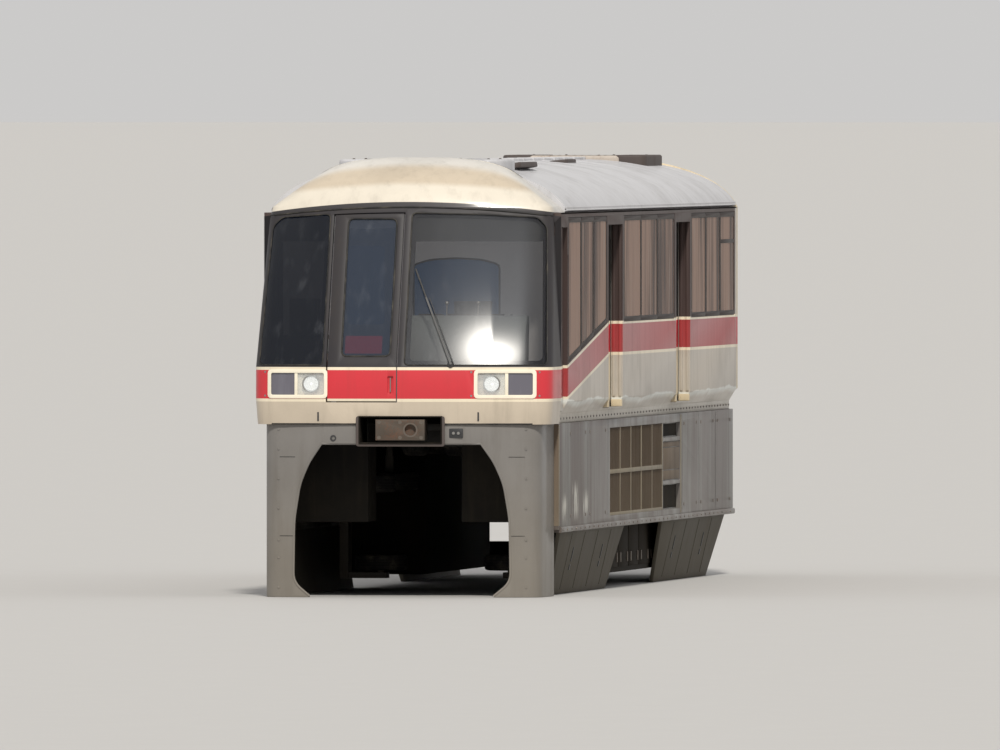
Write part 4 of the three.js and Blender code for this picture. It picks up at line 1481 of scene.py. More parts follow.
class Slats(Repeater):
    """A row of like blades, each a flattened eight-sided bar."""

    def __init__(self) -> None:
        """Builds the tree."""
        super().__init__("slat_row")
        self.declare("Count", "NodeSocketInt")
        for name in ("Start", "Step", "Blade", "Lean"):
            self.declare(name, "NodeSocketVector")
        line = self.node("GeometryNodeMeshLine", {"mode": "OFFSET"},
                         {"Count": self.given("Count"), "Start Location": self.given("Start"),
                          "Offset": self.given("Step")})
        blade = self.node("GeometryNodeMeshCylinder", None, {"Vertices": 8, "Radius": 0.5, "Depth": 1.0})
        lean = self.node("FunctionNodeEulerToRotation", None, {0: self.given("Lean")})
        row = self.node("GeometryNodeInstanceOnPoints", None,
                        {"Points": line.outputs[0], "Instance": blade.outputs[0],
                         "Rotation": lean.outputs[0], "Scale": self.given("Blade")})
        self.close(row.outputs[0])

    def row(self, finish: Finish, count: int, start: Point, step: Point, blade: Point,
            lean: Point = (0, 0, 0)) -> Form:
        """Makes one row.

        Args:
            finish: The blades' finish.
            count: How many.
            start: The first blade's middle.
            step: From one blade to the next.
            blade: Size along the blade's own axes; the third is its length.
            lean: Turn of each blade in radians.

        Returns:
            The row as a form.
        """
        return self.form(finish, {"Count": count, "Start": start, "Step": step, "Blade": blade, "Lean": lean})


class Ribs(Repeater):
    """Like hoops in a row: a rounded rectangle of round bar, repeated along Y."""

    def __init__(self) -> None:
        """Builds the tree."""
        super().__init__("rib_row")
        self.declare("Count", "NodeSocketInt")
        for name in ("Width", "Height", "Corner", "Bar", "Pitch"):
            self.declare(name)
        self.declare("Start", "NodeSocketVector")
        hoop = self.node("GeometryNodeCurvePrimitiveQuadrilateral", None,
                         {0: self.given("Width"), 1: self.given("Height")})
        bend = self.node("GeometryNodeFilletCurve", {"mode": "POLY"},
                         {"Curve": hoop.outputs[0], "Radius": self.given("Corner"), "Count": 6})
        bar = self.node("GeometryNodeCurvePrimitiveCircle", None,
                        {"Resolution": 8, "Radius": self.given("Bar")})
        solid = self.node("GeometryNodeCurveToMesh", None,
                          {"Curve": bend.outputs[0], "Profile Curve": bar.outputs[0]})
        upright = self.node("GeometryNodeTransform", None,
                            {"Geometry": solid.outputs[0], "Rotation": (math.pi / 2, 0, 0)})
        step = self.node("ShaderNodeCombineXYZ", None, {1: self.given("Pitch")})
        line = self.node("GeometryNodeMeshLine", {"mode": "OFFSET"},
                         {"Count": self.given("Count"), "Start Location": self.given("Start"),
                          "Offset": step.outputs[0]})
        row = self.node("GeometryNodeInstanceOnPoints", None,
                        {"Points": line.outputs[0], "Instance": upright.outputs[0]})
        self.close(row.outputs[0])


class Arch(Repeater):
    """A shell whose section is the roof's arch: a cubic curve from each eave to the crown."""

    def __init__(self) -> None:
        """Builds the tree."""
        super().__init__("roof_arch")
        self.declare("Points", "NodeSocketInt")
        for name in ("Half Width", "Eave", "Crown", "Shoulder", "Thickness", "Length"):
            self.declare(name)
        half, eave, crown = self.given("Half Width"), self.given("Eave"), self.given("Crown")
        count = self.given("Points")
        line = self.node("GeometryNodeMeshLine", {"mode": "OFFSET"}, {"Count": count})
        index = Value(self, self.node("GeometryNodeInputIndex").outputs[0])
        place = index / (count - 1.0) * 2.0 - 1.0
        along = 1.0 - abs(place)
        rest = 1.0 - along
        start, first = rest * rest * rest, rest * rest * along * 3.0
        second, last = rest * along * along * 3.0, along * along * along
        handle = half - self.given("Shoulder")
        side = start * half + first * handle + second * half * 0.52
        height = (start + first) * eave + (crown - eave) * 0.61 * first + (second + last) * crown
        sign = place._math("SIGN", place)
        spot = self.node("ShaderNodeCombineXYZ", None, {0: side * sign, 2: height})
        arch = self.node("GeometryNodeSetPosition", None,
                         {"Geometry": line.outputs[0], "Position": spot.outputs[0]})
        curve = self.node("GeometryNodeMeshToCurve", None, {0: arch.outputs[0]})
        plank = self.node("GeometryNodeCurvePrimitiveQuadrilateral", None,
                          {0: self.given("Length"), 1: self.given("Thickness")})
        shell = self.node("GeometryNodeCurveToMesh", None,
                          {"Curve": curve.outputs[0], "Profile Curve": plank.outputs[0],
                           "Fill Caps": True})
        self.close(shell.outputs[0])


class Workshop:
    """The Geometry Nodes trees, each built once."""

    def __init__(self) -> None:
        """Builds every tree."""
        self.bolts = Bolts()
        self.slats = Slats()
        self.ribs = Ribs()
        self.arch = Arch()


# The cab's front surface.

FIT = 0.0003
RAKE = math.atan2(0.69, 1.62)
BROW_HEIGHT = 2.55
BROW_RISE = 0.09


@dataclass(frozen=True)
class Section:
    """A level section of the cab's front: straight sides, rounded corners and a bowed front."""

    z: float
    rear_half: float
    front_half: float
    nose: float
    bow: float
    corner: float

    def toward(self, other: "Section", part: float) -> "Section":
        """A section part of the way to another."""
        return Section(*[a + (b - a) * part for a, b in zip(astuple(self), astuple(other))])

    def outline(self, inset: float, rear: float, bend: int = 10, bowed: int = 10) -> list[Vector]:
        """The section's points, from the rear right round the front to the rear left.

        Args:
            inset: How far inside the surface.
            rear: Where the sides end.
            bend: Stretches in each corner.
            bowed: Stretches from a corner to the centre line.

        Returns:
            The points.
        """
        half = self.front_half - inset
        radius = self.corner - 0.5 * min(inset, self.corner)

        def front(x: float) -> float:
            """Where the bowed front lies."""
            return self.nose + inset + self.bow * (x / half) ** 2

        start, peak = Vector((half, front(half) + radius)), Vector((half, front(half)))
        end = Vector((half - radius, front(half - radius)))
        right = [Vector((self.rear_half - inset, rear))]
        for i in range(bend + 1):
            t = i / bend
            right.append(start * (1 - t) ** 2 + peak * (2 * t * (1 - t)) + end * t ** 2)
        for i in range(1, bowed):
            x = (half - radius) * (1 - i / bowed)
            right.append(Vector((x, front(x))))
        left = [Vector((-p.x, p.y)) for p in reversed(right)]
        return [Vector((p.x, p.y, self.z)) for p in [*right, Vector((0, self.nose + inset)), *left]]


class FrontSurface:
    """The cab's skin through level sections."""

    def __init__(self, sections: Sequence[Section]) -> None:
        """Keeps the sections, lowest first."""
        self.sections = list(sections)

    def solid(self, inset: float, rear: float, sink: float = 0.0) -> Form:
        """The space inside the skin.

        Args:
            inset: How far inside.
            rear: Where it ends.
            sink: How far it is lowered.

        Returns:
            The closed shape.
        """
        return Form.rows([s.outline(inset, rear) for s in self.sections]).moved(0, 0, -sink)

    def hollow(self, inset: float, rear: float, reach: float = 0.02) -> Form:
        """The space inside the skin, carried past its ends so that it cuts them open.

        Args:
            inset: Depth of the skin.
            rear: Where the space ends at the back.
            reach: How far it passes each end.

        Returns:
            The space.
        """
        first, last = self.sections[0], self.sections[-1]
        longer = [replace(first, z=first.z - reach), *self.sections[1:-1], replace(last, z=last.z + reach)]
        return FrontSurface(longer).solid(inset, rear + 0.001)

    def skin(self, outer: float, inner: float, rear: float = CAR.body_front) -> Form:
        """What lies between two depths of the skin.

        Args:
            outer: Depth of the outer face.
            inner: Depth of the inner face.
            rear: Where it ends.

        Returns:
            The shell.
        """
        return self.solid(outer, rear).cut(self.hollow(inner, rear))

    def at(self, x: float, z: float, lift: float = 0.0) -> Vector:
        """A point on the front.

        Args:
            x: Place across.
            z: Height.
            lift: How far off the surface it stands.

        Returns:
            The point.
        """
        def depth(across: float, height: float) -> float:
            """Finds where the surface lies.

            Args:
                across: Place across the car.
                height: Height over the origin.

            Returns:
                The place along the car.
            """
            level = self.sections[0]
            for low, high in zip(self.sections, self.sections[1:]):
                if low.z <= height:
                    level = low.toward(high, min(1.0, (height - low.z) / (high.z - low.z)))
            chain = level.outline(0.0, CAR.body_front)
            for right, left in zip(chain, chain[1:]):
                if right.x >= across >= left.x and right.x - left.x > 1e-9:
                    return right.y + (left.y - right.y) * (right.x - across) / (right.x - left.x)
            return chain[0].y

        step = 0.004
        along_x = (depth(x + step, z) - depth(x - step, z)) / (2 * step)
        along_z = (depth(x, z + step) - depth(x, z - step)) / (2 * step)
        return Vector((x, depth(x, z), z)) + Vector((along_x, -1, along_z)).normalized() * lift

    def laid(self, outline: Sequence[Plane], lift: float, step: float = 0.05) -> list[Vector]:
        """Lays a closed outline on the front.

        Args:
            outline: Its points, across and up.
            lift: How far off the surface it lies.
            step: The longest stretch between two points.

        Returns:
            The points.
        """
        points = []
        for (x0, z0), (x1, z1) in zip(outline, [*outline[1:], outline[0]]):
            parts = max(1, math.ceil(math.hypot(x1 - x0, z1 - z0) / step))
            points.extend(self.at(x0 + (x1 - x0) * i / parts, z0 + (z1 - z0) * i / parts, lift)
                          for i in range(parts))
        return points


def eased(sections: Sequence[Section], steps: int) -> list[Section]:
    """Sections on smooth curves through the given ones.

    Args:
        sections: The sections, lowest first.
        steps: Stretches between two of them.

    Returns:
        The finer sections.
    """
    rows = [astuple(s) for s in sections]
    finer = []
    for i in range(len(rows) - 1):
        before, start = rows[max(i - 1, 0)], rows[i]
        end, after = rows[i + 1], rows[min(i + 2, len(rows) - 1)]
        for j in range(steps):
            t = j / steps
            weights = (-t ** 3 + 2 * t ** 2 - t, 3 * t ** 3 - 5 * t ** 2 + 2, -3 * t ** 3 + 4 * t ** 2 + t,
                       t ** 3 - t ** 2)
            mixed = [0.5 * sum(w * v for w, v in zip(weights, values))
                     for values in zip(before, start, end, after)]
            finer.append(Section(*mixed))
    return [*finer, sections[-1]]


def shrunk(outline: Sequence[Plane], margin: float) -> list[Plane]:
    """Moves every edge of a closed outline inwards.

    Args:
        outline: The corners in order.
        margin: How far; less than 0 moves them outwards.

    Returns:
        The moved corners.
    """
    corners = [Vector(p) for p in outline]
    area = sum(a.x * b.y - b.x * a.y for a, b in zip(corners, [*corners[1:], corners[0]]))
    turn = 1 if area > 0 else -1
    moved = []
    for i, corner in enumerate(corners):
        before = (corner - corners[i - 1]).normalized()
        after = (corners[(i + 1) % len(corners)] - corner).normalized()
        first, second = (Vector((-e.y, e.x)) * turn for e in (before, after))
        spot = corner + (first + second) * (margin / (1 + first.dot(second)))
        moved.append((spot.x, spot.y))
    return moved


def brow_line(x: float) -> float:
    """Height of the line between the front glass and the brow."""
    return BROW_HEIGHT - BROW_RISE * (x / 1.45) ** 2


def below_brow(margin: float = 0.0) -> Form:
    """The space below the brow line.

    Args:
        margin: How far below the line it ends.

    Returns:
        The space.
    """
    side, steps, foot = 1.62, 24, CAR.skirt_foot
    across = [side - 2 * side * i / steps for i in range(steps + 1)]
    outline = [(-side, foot), (side, foot), *[(x, brow_line(x) - margin) for x in across]]
    return Form.prism(outline, Axis.Y, -8.3, -6.59)


MASK_SECTIONS = [
    Section(0.35, 1.5, 1.5, -8.185, 0.19, 0.19),
    Section(0.61, 1.519, 1.519, -8.2, 0.2, 0.19),
    Section(0.93, 1.519, 1.519, -8.19, 0.2, 0.19),
    Section(2.46, 1.519, 1.45, -7.538, 0.19, 0.13),
    Section(2.55, 1.447, 1.425, -7.5, 0.18, 0.12),
]
DOME_SECTIONS = [
    Section(2.55, 1.447, 1.425, -7.5, 0.18, 0.12),
    Section(2.64, 1.33, 1.31, -7.465, 0.18, 0.16),
    Section(2.74, 1.2, 1.18, -7.39, 0.17, 0.18),
    Section(2.85, 1.05, 1.03, -7.26, 0.15, 0.2),
    Section(2.95, 0.88, 0.86, -7.08, 0.12, 0.2),
    Section(3.015, 0.64, 0.62, -6.92, 0.08, 0.12),
    Section(3.05, 0.3, 0.29, -6.77, 0.03, 0.04),
]
MASK = FrontSurface(MASK_SECTIONS)
DOME = FrontSurface([MASK_SECTIONS[3], *eased(DOME_SECTIONS, 4)])
DOME_REAR = -6.69


def front_prism(outline: Sequence[Plane], rear: float = CAR.body_front) -> Form:
    """An outline seen from the front, carried through the mask."""
    return Form.prism(outline, Axis.Y, CAR.nose - 0.05, rear)


# Sub-assemblies.


@dataclass
class PhotoCamera:
    """The camera at the photograph's place and angle, with a longer lens.

    The aim is a pixel of the photograph; the longer lens fills the frame with the car.
    """

    yaw: float = math.radians(6.9)
    rise: float = math.radians(0.735)
    offset: Plane = (-2.492, -0.999)
    distance: float = 339.0
    photo_lens: float = 482.4
    photo_focal: float = 13400.0
    photo_centre: Plane = (500.0, 375.0)
    aim: Plane = (441.5, 325.5)
    zoom: float = 2.5

    def build(self) -> bpy.types.Object:
        """Makes the scene's camera.

        Returns:
            The camera.
        """
        forward = Vector((-math.sin(self.yaw) * math.cos(self.rise),
                          math.cos(self.yaw) * math.cos(self.rise), -math.sin(self.rise)))
        right = Vector((math.cos(self.yaw), math.sin(self.yaw), 0))
        up = right.cross(forward)
        foot = Vector((0, CAR.nose, CAR.skirt_foot))
        place = foot - (right * self.offset[0] + up * self.offset[1] + forward * self.distance)
        gaze = (forward * self.photo_focal + right * (self.aim[0] - self.photo_centre[0])
                + up * (self.photo_centre[1] - self.aim[1])).normalized()
        lens = bpy.data.cameras.new("photo_camera")
        lens.lens, lens.sensor_width = self.photo_lens * self.zoom, 36.0
        lens.clip_start, lens.clip_end = 5.0, 9000.0
        camera = bpy.data.objects.new("photo_camera", lens)
        side = gaze.cross(Vector((0, 0, 1))).normalized()
        top = side.cross(gaze)
        camera.matrix_world = Matrix((
            (side.x, top.x, -gaze.x, place.x), (side.y, top.y, -gaze.y, place.y),
            (side.z, top.z, -gaze.z, place.z), (0, 0, 0, 1)))
        bpy.context.scene.collection.objects.link(camera)
        bpy.context.scene.camera = camera
        return camera


@dataclass
class Studio:
    """The pale floor, the pale surroundings and the soft sun."""

    reach: float = 3000.0
    sun_way: Point = (0.143, -0.689, 0.710)
    sun_power: float = 2.6
    sun_spread: float = math.radians(5)
    sky: Point = (0.88, 0.87, 0.86)
    sky_power: float = 0.68

    def build(self) -> None:
        """Makes the floor and the lights."""
        floor = Form.box((-self.reach, -self.reach, CAR.skirt_foot - 0.5),
                         (self.reach, self.reach, CAR.skirt_foot - 0.002))
        mesh = floor.mesh("studio_floor")
        mesh.materials.append(Finishes.stage.material())
        ground = bpy.data.objects.new("studio_floor", mesh)
        bpy.context.scene.collection.objects.link(ground)
        lamp = bpy.data.lights.new("sun", "SUN")
        lamp.energy, lamp.angle, lamp.color = self.sun_power, self.sun_spread, (1.0, 0.955, 0.87)
        sun = bpy.data.objects.new("sun", lamp)
        sun.rotation_mode = "QUATERNION"
        sun.rotation_quaternion = Vector(self.sun_way).to_track_quat("Z", "Y")
        bpy.context.scene.collection.objects.link(sun)
        world = bpy.data.worlds.new("surroundings")
        world.use_nodes = True
        background = world.node_tree.nodes["Background"]
        background.inputs["Color"].default_value = (*self.sky, 1)
        background.inputs["Strength"].default_value = self.sky_power
        bpy.context.scene.world = world
        bpy.context.scene.view_settings.view_transform = "Standard"


@dataclass
class CabFace:
    """The front mask with its glass, emergency door, brow, wiper and trim."""

    shop: Workshop
    wall: float = 0.06
    glass: float = 0.014
    rim: float = 0.045
    escape_left: float = -0.76
    escape_right: float = -0.03
    escape_foot: float = 0.573
    escape_head: float = 2.495
    escape_seam: float = 0.012
    escape_thick: float = 0.04
    window: tuple[float, float, float, float] = (-0.61, -0.11, 1.04, 2.43)
    sign: tuple[float, float, float, float] = (-0.58, -0.2, 1.067, 1.245)
    wiper_pivot: Plane = (0.51, 0.955)
    wiper_tip: Plane = (0.13, 1.86)
    pocket: float = 0.425

    def screen(self, side: Side, margin: float = 0.0) -> list[Plane]:
        """Outline of a pane of front glass.

        Args:
            side: Its side.
            margin: How far inside the glass's edge.

        Returns:
            Points across and up.
        """
        inner = self.escape_right + 0.07 if side is Side.RIGHT else -self.escape_left + 0.04
        points = [(inner, 0.95), (1.47, 0.95), (1.403, 2.345), (1.308, 2.445)]
        if inner < 0.7:
            points.append((0.7, 2.475))
        points.append((inner, 2.49 if side is Side.RIGHT else 2.476))
        return [(side.value * x, z) for x, z in rounded(shrunk(points, margin), 0.05, 4)]

    def escape_slab(self, margin: float) -> Form:
        """The emergency door's opening, cut square to the raked front.

        Args:
            margin: How far inside the opening.

        Returns:
            The shape.
        """
        head = self.escape_head - margin
        slab = Form.box((self.escape_left + margin, -0.4, -3.2), (self.escape_right - margin, 0.4, 0))
        slab.placed(Matrix.Translation((0, -8.19 + (head - 0.93) * math.tan(RAKE), head))
                    @ Matrix.Rotation(-RAKE, 4, "X"))
        foot = self.escape_foot + margin
        return slab.keep(Form.box((-1, CAR.nose - 0.9, foot), (1, CAR.body_front, BROW_HEIGHT)))

    def mask(self) -> None:
        """Builds the painted shell."""
        shell = MASK.solid(0.0, CAR.body_front - FIT).cut(MASK.hollow(self.wall, CAR.body_front))
        shell.keep(below_brow())
        for side in Side:
            outline = self.screen(side)
            shell.cut(MASK.skin(-0.005, self.glass + FIT).keep(front_prism(outline)),
                      front_prism(self.screen(side, self.rim)),
                      front_prism(Headlamp(self.shop, side).opening(0.0), -7.95))
        pocket = Form.box((-self.pocket, CAR.nose - 0.05, 0.3), (self.pocket, -7.6, 0.4353))
        shell.cut(self.escape_slab(0.0), self.escape_slab(0.0).moved(-0.005, 0, 0), pocket)
        shell.bevelled(0.003).piece("cab_mask", Finishes.mask, replaces=["cab_nose"], smooth=30)

    def brow(self) -> None:
        """Builds the dome over the glass and the strips on it."""
        inner = FrontSurface([Section(2.4, 1.44, 1.4, -7.56, 0.18, 0.12),
                              *[replace(s, z=s.z - 0.045) for s in eased(DOME_SECTIONS, 4)]])
        over = Form.box((-1.6, -7.7, 2.4), (1.6, CAR.body_front, 3.1)).cut(below_brow(-FIT))
        rest = Form.box((-1.6, CAR.body_front, CAR.eave + FIT), (1.6, DOME_REAR, 3.1))
        shell = DOME.solid(0.0, DOME_REAR - FIT).cut(inner.solid(self.wall, DOME_REAR + 0.001))
        shell.keep(over.join(rest))
        shell.bevelled(0.004).piece("cab_brow", Finishes.dome, replaces=["cab_dome"], smooth=40)
        drip = [MASK.at(1.44 - 2.88 * i / 48, brow_line(1.44 - 2.88 * i / 48) - 0.004, 0.002)
                for i in range(49)]
        Form.tube(drip, 0.009, 8).piece("brow_drip_seal", Finishes.seal)
        for name, y, depth, finish in (("dome_rear_rim", -6.712, 0.004, Finishes.bezel),
                                       ("dome_rear_seal", -6.683, -0.004, Finishes.seal)):
            hoop = [(s.rear_half - depth, y, s.z - 0.0085) for s in eased(DOME_SECTIONS, 6)]
            across = [*hoop, *[(-x, y, z) for x, y, z in reversed(hoop)]]
            Form.tube(across, 0.008, 8).piece(name, finish)

    def panes(self) -> None:
        """Glazes both sides of the front."""
        for side in Side:
            outline = self.screen(side)
            pane = MASK.skin(FIT, self.glass).keep(front_prism(self.screen(side, 0.004)))
            finish = Finishes.milky if side is Side.RIGHT else Finishes.screen
            pane.bevelled(0.002).piece(f"front_glass_{side.word}", finish,
                                       replaces=[f"windscreen_{side.word}"], smooth=20)
            Form.tube(MASK.laid(outline, 0.0), 0.0075, 8, closed=True).piece(
                f"front_glass_seal_{side.word}", Finishes.seal)
            shade = MASK.skin(0.018, 0.024).keep(front_prism(self.screen(side, 0.03)),
                                                 Form.box((-1.5, -8.3, 2.2), (1.5, -7.2, 2.6)))
            shade.piece(f"sun_blind_{side.word}", Finishes.dark_trim)

    def escape(self) -> None:
        """Builds the emergency door: leaf, glass, seals, hinges, handle and blank sign."""
        body = "emergency_door"
        x0, x1, z0, z1 = self.window
        window = rounded(rectangle(x0, x1, z0, z1), 0.06)
        leaf = MASK.skin(0.0, self.escape_thick).keep(self.escape_slab(self.escape_seam))
        recess = rounded(rectangle(-0.13, -0.07, 0.66, 0.84), 0.015)
        catch = MASK.skin(-0.01, 0.02).keep(front_prism(recess))
        leaf.cut(front_prism(window), catch)
        leaf.bevelled(0.004).piece("escape_leaf", Finishes.mask, body, ["emergency_door"], 30)
        pane = MASK.skin(0.006, 0.018).keep(front_prism(shrunk(window, 0.001)))
        pane.piece("escape_glass", Finishes.escape, body, smooth=20)
        Form.tube(MASK.laid(window, -0.001), 0.009, 8, closed=True).piece(
            "escape_glass_seal", Finishes.seal, body)
        sign = MASK.skin(0.0195, 0.026).keep(front_prism(rounded(rectangle(*self.sign), 0.012)))
        sign.piece("escape_blank_sign", Finishes.sign, body)
        handle = [MASK.at(-0.1, z, lift) for z, lift in
                  ((0.68, -0.02), (0.68, -0.007), (0.82, -0.007), (0.82, -0.02))]
        Form.tube(bent([tuple(p) for p in handle], 0.008), 0.006, 10).piece(
            "escape_handle", Finishes.bright, body)
        along = Vector((0, math.sin(RAKE), math.cos(RAKE))) * 0.07
        middles = [MASK.at(self.escape_left + 0.0065, z, -0.006) for z in (1.15, 2.25)]
        knuckles = Form.tubes([[spot - along, spot, spot + along] for spot in middles], 0.0058, 12)
        knuckles.piece("escape_hinges", Finishes.dark_trim, body)

    def wiper(self) -> None:
        """Builds the wiper at rest on the right pane."""
        (px, pz), (tx, tz) = self.wiper_pivot, self.wiper_tip
        base = MASK.at(px, pz, 0.0)
        out = (MASK.at(px, pz, 0.05) - base).normalized()
        turn = out.to_track_quat("Z", "Y").to_matrix().to_4x4()
        boss = Form.turned([(0, -0.01), (0.034, -0.01), (0.034, 0.012), (0.024, 0.02), (0.014, 0.023),
                            (0.014, 0.036), (0, 0.038)], Axis.Z, (0, 0, 0), 32)
        boss.placed(Matrix.Translation(base) @ turn).piece("wiper_boss", Finishes.dark_trim)
        along = [MASK.at(px + (tx - px) * t * 0.74, pz + (tz - pz) * t * 0.74, 0.034 - 0.004 * t)
                 for t in (0, 0.1, 0.35, 0.6, 0.85, 1.0)]
        flat = [(-0.011, -0.004), (0.011, -0.004), (0.009, 0.004), (-0.009, 0.004)]
        Form.swept(along, flat, out).piece("wiper_arm", Finishes.dark_trim)
        link = [p + Vector((0.034, 0, -0.006)) for p in along]
        Form.tube(link, 0.0045, 8).piece("wiper_link", Finishes.dark_trim)
        blade = [MASK.at(px + (tx - px) * t, pz + (tz - pz) * t, 0.013)
                 for t in (0.42, 0.6, 0.8, 1.0, 1.06)]
        Form.swept(blade, [(-0.004, -0.012), (0.004, -0.012), (0.009, 0.008), (-0.009, 0.008)],
                   out).piece("wiper_blade", Finishes.seal)
        yoke = [blade[0] + out * 0.008, along[-1] - out * 0.004, blade[-1] + out * 0.008]
        Form.tube(yoke, 0.006, 8).piece("wiper_yoke", Finishes.dark_trim)

    def trim(self) -> None:
        """Adds the small slots, the sill groove and the screws of the front."""
        slots = Form()
        for x in (-0.845, 0.79):
            spot = MASK.at(x, 0.43, 0.0)
            slots.beside(Form.box((x - 0.008, spot.y - 0.004, 0.385), (x + 0.008, spot.y + 0.02, 0.475)))
        slots.piece("front_slots", Finishes.dark_trim)
        for side in Side:
            lower = [MASK.at(side.value * x, 0.356, -0.002) for x in (0.45, 0.7, 0.95, 1.2, 1.33)]
            Form.tube(lower, 0.007, 8).piece(f"front_foot_seal_{side.word}", Finishes.seal)
        screws = [(tuple(MASK.at(s * x, z, 0.0)), tuple(MASK.at(s * x, z, 1.0) - MASK.at(s * x, z)))
                  for s in (-1, 1) for x, z in ((0.72 if s > 0 else 0.79, 0.64), (1.4, 0.64), (1.4, 0.88),
                                                (0.72 if s > 0 else 0.79, 0.88))]
        self.shop.bolts.piece("lamp_frame_screws", screws, Finishes.bright, 0.008, 0.004, 10)

    def build(self) -> None:
        """Builds the whole face."""
        self.mask()
        self.brow()
        self.panes()
        self.escape()
        self.wiper()
        self.trim()
        for side in Side:
            Headlamp(self.shop, side).build()


@dataclass
class Headlamp:
    """A lamp unit: bright frame, round reflector inboard, dark ribbed lens outboard."""

    shop: Workshop
    side: Side
    inner: float = 0.77
    outer: float = 1.35
    foot: float = 0.635
    head: float = 0.885
    split: float = 1.075
    bar: float = 0.016
    bowl: float = 0.08
    ribs: int = 9
    # Shares of the bowl's radius, and depths.
    reflector: tuple[Plane, ...] = ((1, 0.03), (0.99, 0.04), (0.86, 0.07), (0.62, 0.094), (0.32, 0.108),
                                    (0.15, 0.112), (0.15, 0.118), (0.34, 0.114), (0.66, 0.1), (0.92, 0.076),
                                    (1.06, 0.04), (1.06, 0.03))
    rim: tuple[Plane, ...] = ((0.94, 0.016), (1.08, 0.016), (1.12, 0.03), (0.96, 0.034))
    bulb: tuple[Plane, ...] = ((0, 0.06), (0.01, 0.063), (0.014, 0.075), (0.012, 0.095), (0.009, 0.125),
                               (0, 0.125))

    def opening(self, margin: float) -> list[Plane]:
        """Outline of the lamp's opening.

        Args:
            margin: How far inside it.

        Returns:
            Points across and up.
        """
        sides = rectangle(self.inner + margin, self.outer - margin, self.foot + margin, self.head - margin)
        return [(self.side.value * x, z) for x, z in rounded(sides, 0.02, 3)]

    def plate(self, outer: float, inner: float, start: float, end: float, margin: float) -> Form:
        """A flat part that follows the front.

        Args:
            outer: Depth of its outer face.
            inner: Depth of its inner face.
            start: Where it begins, from the centre line outwards.
            end: Where it ends.
            margin: How far it stays from the unit's foot and head.

        Returns:
            The shape.
        """
        flat = rectangle(start, end, self.foot + margin, self.head - margin)
        return MASK.skin(outer, inner).keep(front_prism([(self.side.value * x, z) for x, z in flat]))

    def build(self) -> None:
        """Builds the unit."""
        word, sign = self.side.word, self.side.value
        frame_ring = MASK.skin(-0.007, 0.022).keep(front_prism(shrunk(self.opening(0.0), -0.022)))
        frame_ring.cut(front_prism(self.opening(0.014), -7.9))
        frame_ring.bevelled(0.004).piece(f"lamp_frame_{word}", Finishes.bezel)
        bar = self.plate(-0.002, 0.03, self.split - self.bar, self.split + self.bar, 0.0)
        bar.bevelled(0.003).piece(f"lamp_bar_{word}", Finishes.bezel)
        cover = self.plate(0.008, 0.013, self.inner + 0.004, self.split, 0.004)
        cover.piece(f"lamp_cover_{word}", Finishes.lens, replaces=[f"headlamp_{word}"])
        x, z = sign * (self.inner + self.split) / 2, (self.foot + self.head) / 2
        back = MASK.at(x, z).y
        tray = Form.box((-0.16, 0, -0.122), (0.14, 0.012, 0.122)).moved(0, back + 0.06, z)
        tray.handed(self.side).moved(sign * (self.inner + 0.164), 0, 0)
        ring_gap = Form.turned([(0, -0.3), (self.bowl, -0.3), (self.bowl, 0.3), (0, 0.3)], Axis.Y,
                               (x, back, z), 40)
        tray.cut(ring_gap).bevelled(0.003).piece(f"lamp_tray_{word}", Finishes.bezel)
        curve = [(self.bowl * part, depth) for part, depth in self.reflector]
        Form.turned(curve, Axis.Y, (x, back, z), 48).piece(f"lamp_reflector_{word}", Finishes.mirror)
        Form.turned(self.bulb, Axis.Y, (x, back, z), 20).piece(f"lamp_bulb_{word}", Finishes.light)
        rim = [(self.bowl * part, depth) for part, depth in self.rim]
        Form.turned(rim, Axis.Y, (x, back, z), 48).piece(f"lamp_rim_{word}", Finishes.bright)
        dark = self.plate(0.006, 0.014, self.split + self.bar, self.outer - 0.01, 0.01)
        dark.piece(f"lamp_dark_lens_{word}", Finishes.smoked)
        margin, reach, steps = 0.025, 0.23, 5
        pitch = (self.head - self.foot - 2 * margin) / (self.ribs - 1)
        across = [sign * (self.split + 0.03 + reach * t / steps) for t in range(steps + 1)]
        heights = [self.foot + margin + i * pitch for i in range(self.ribs)]
        lines = [[MASK.at(place, height, -0.022) for place in across] for height in heights]
        Form.tubes(lines, 0.006, 6).piece(f"lamp_lens_ribs_{word}", Finishes.smoked)


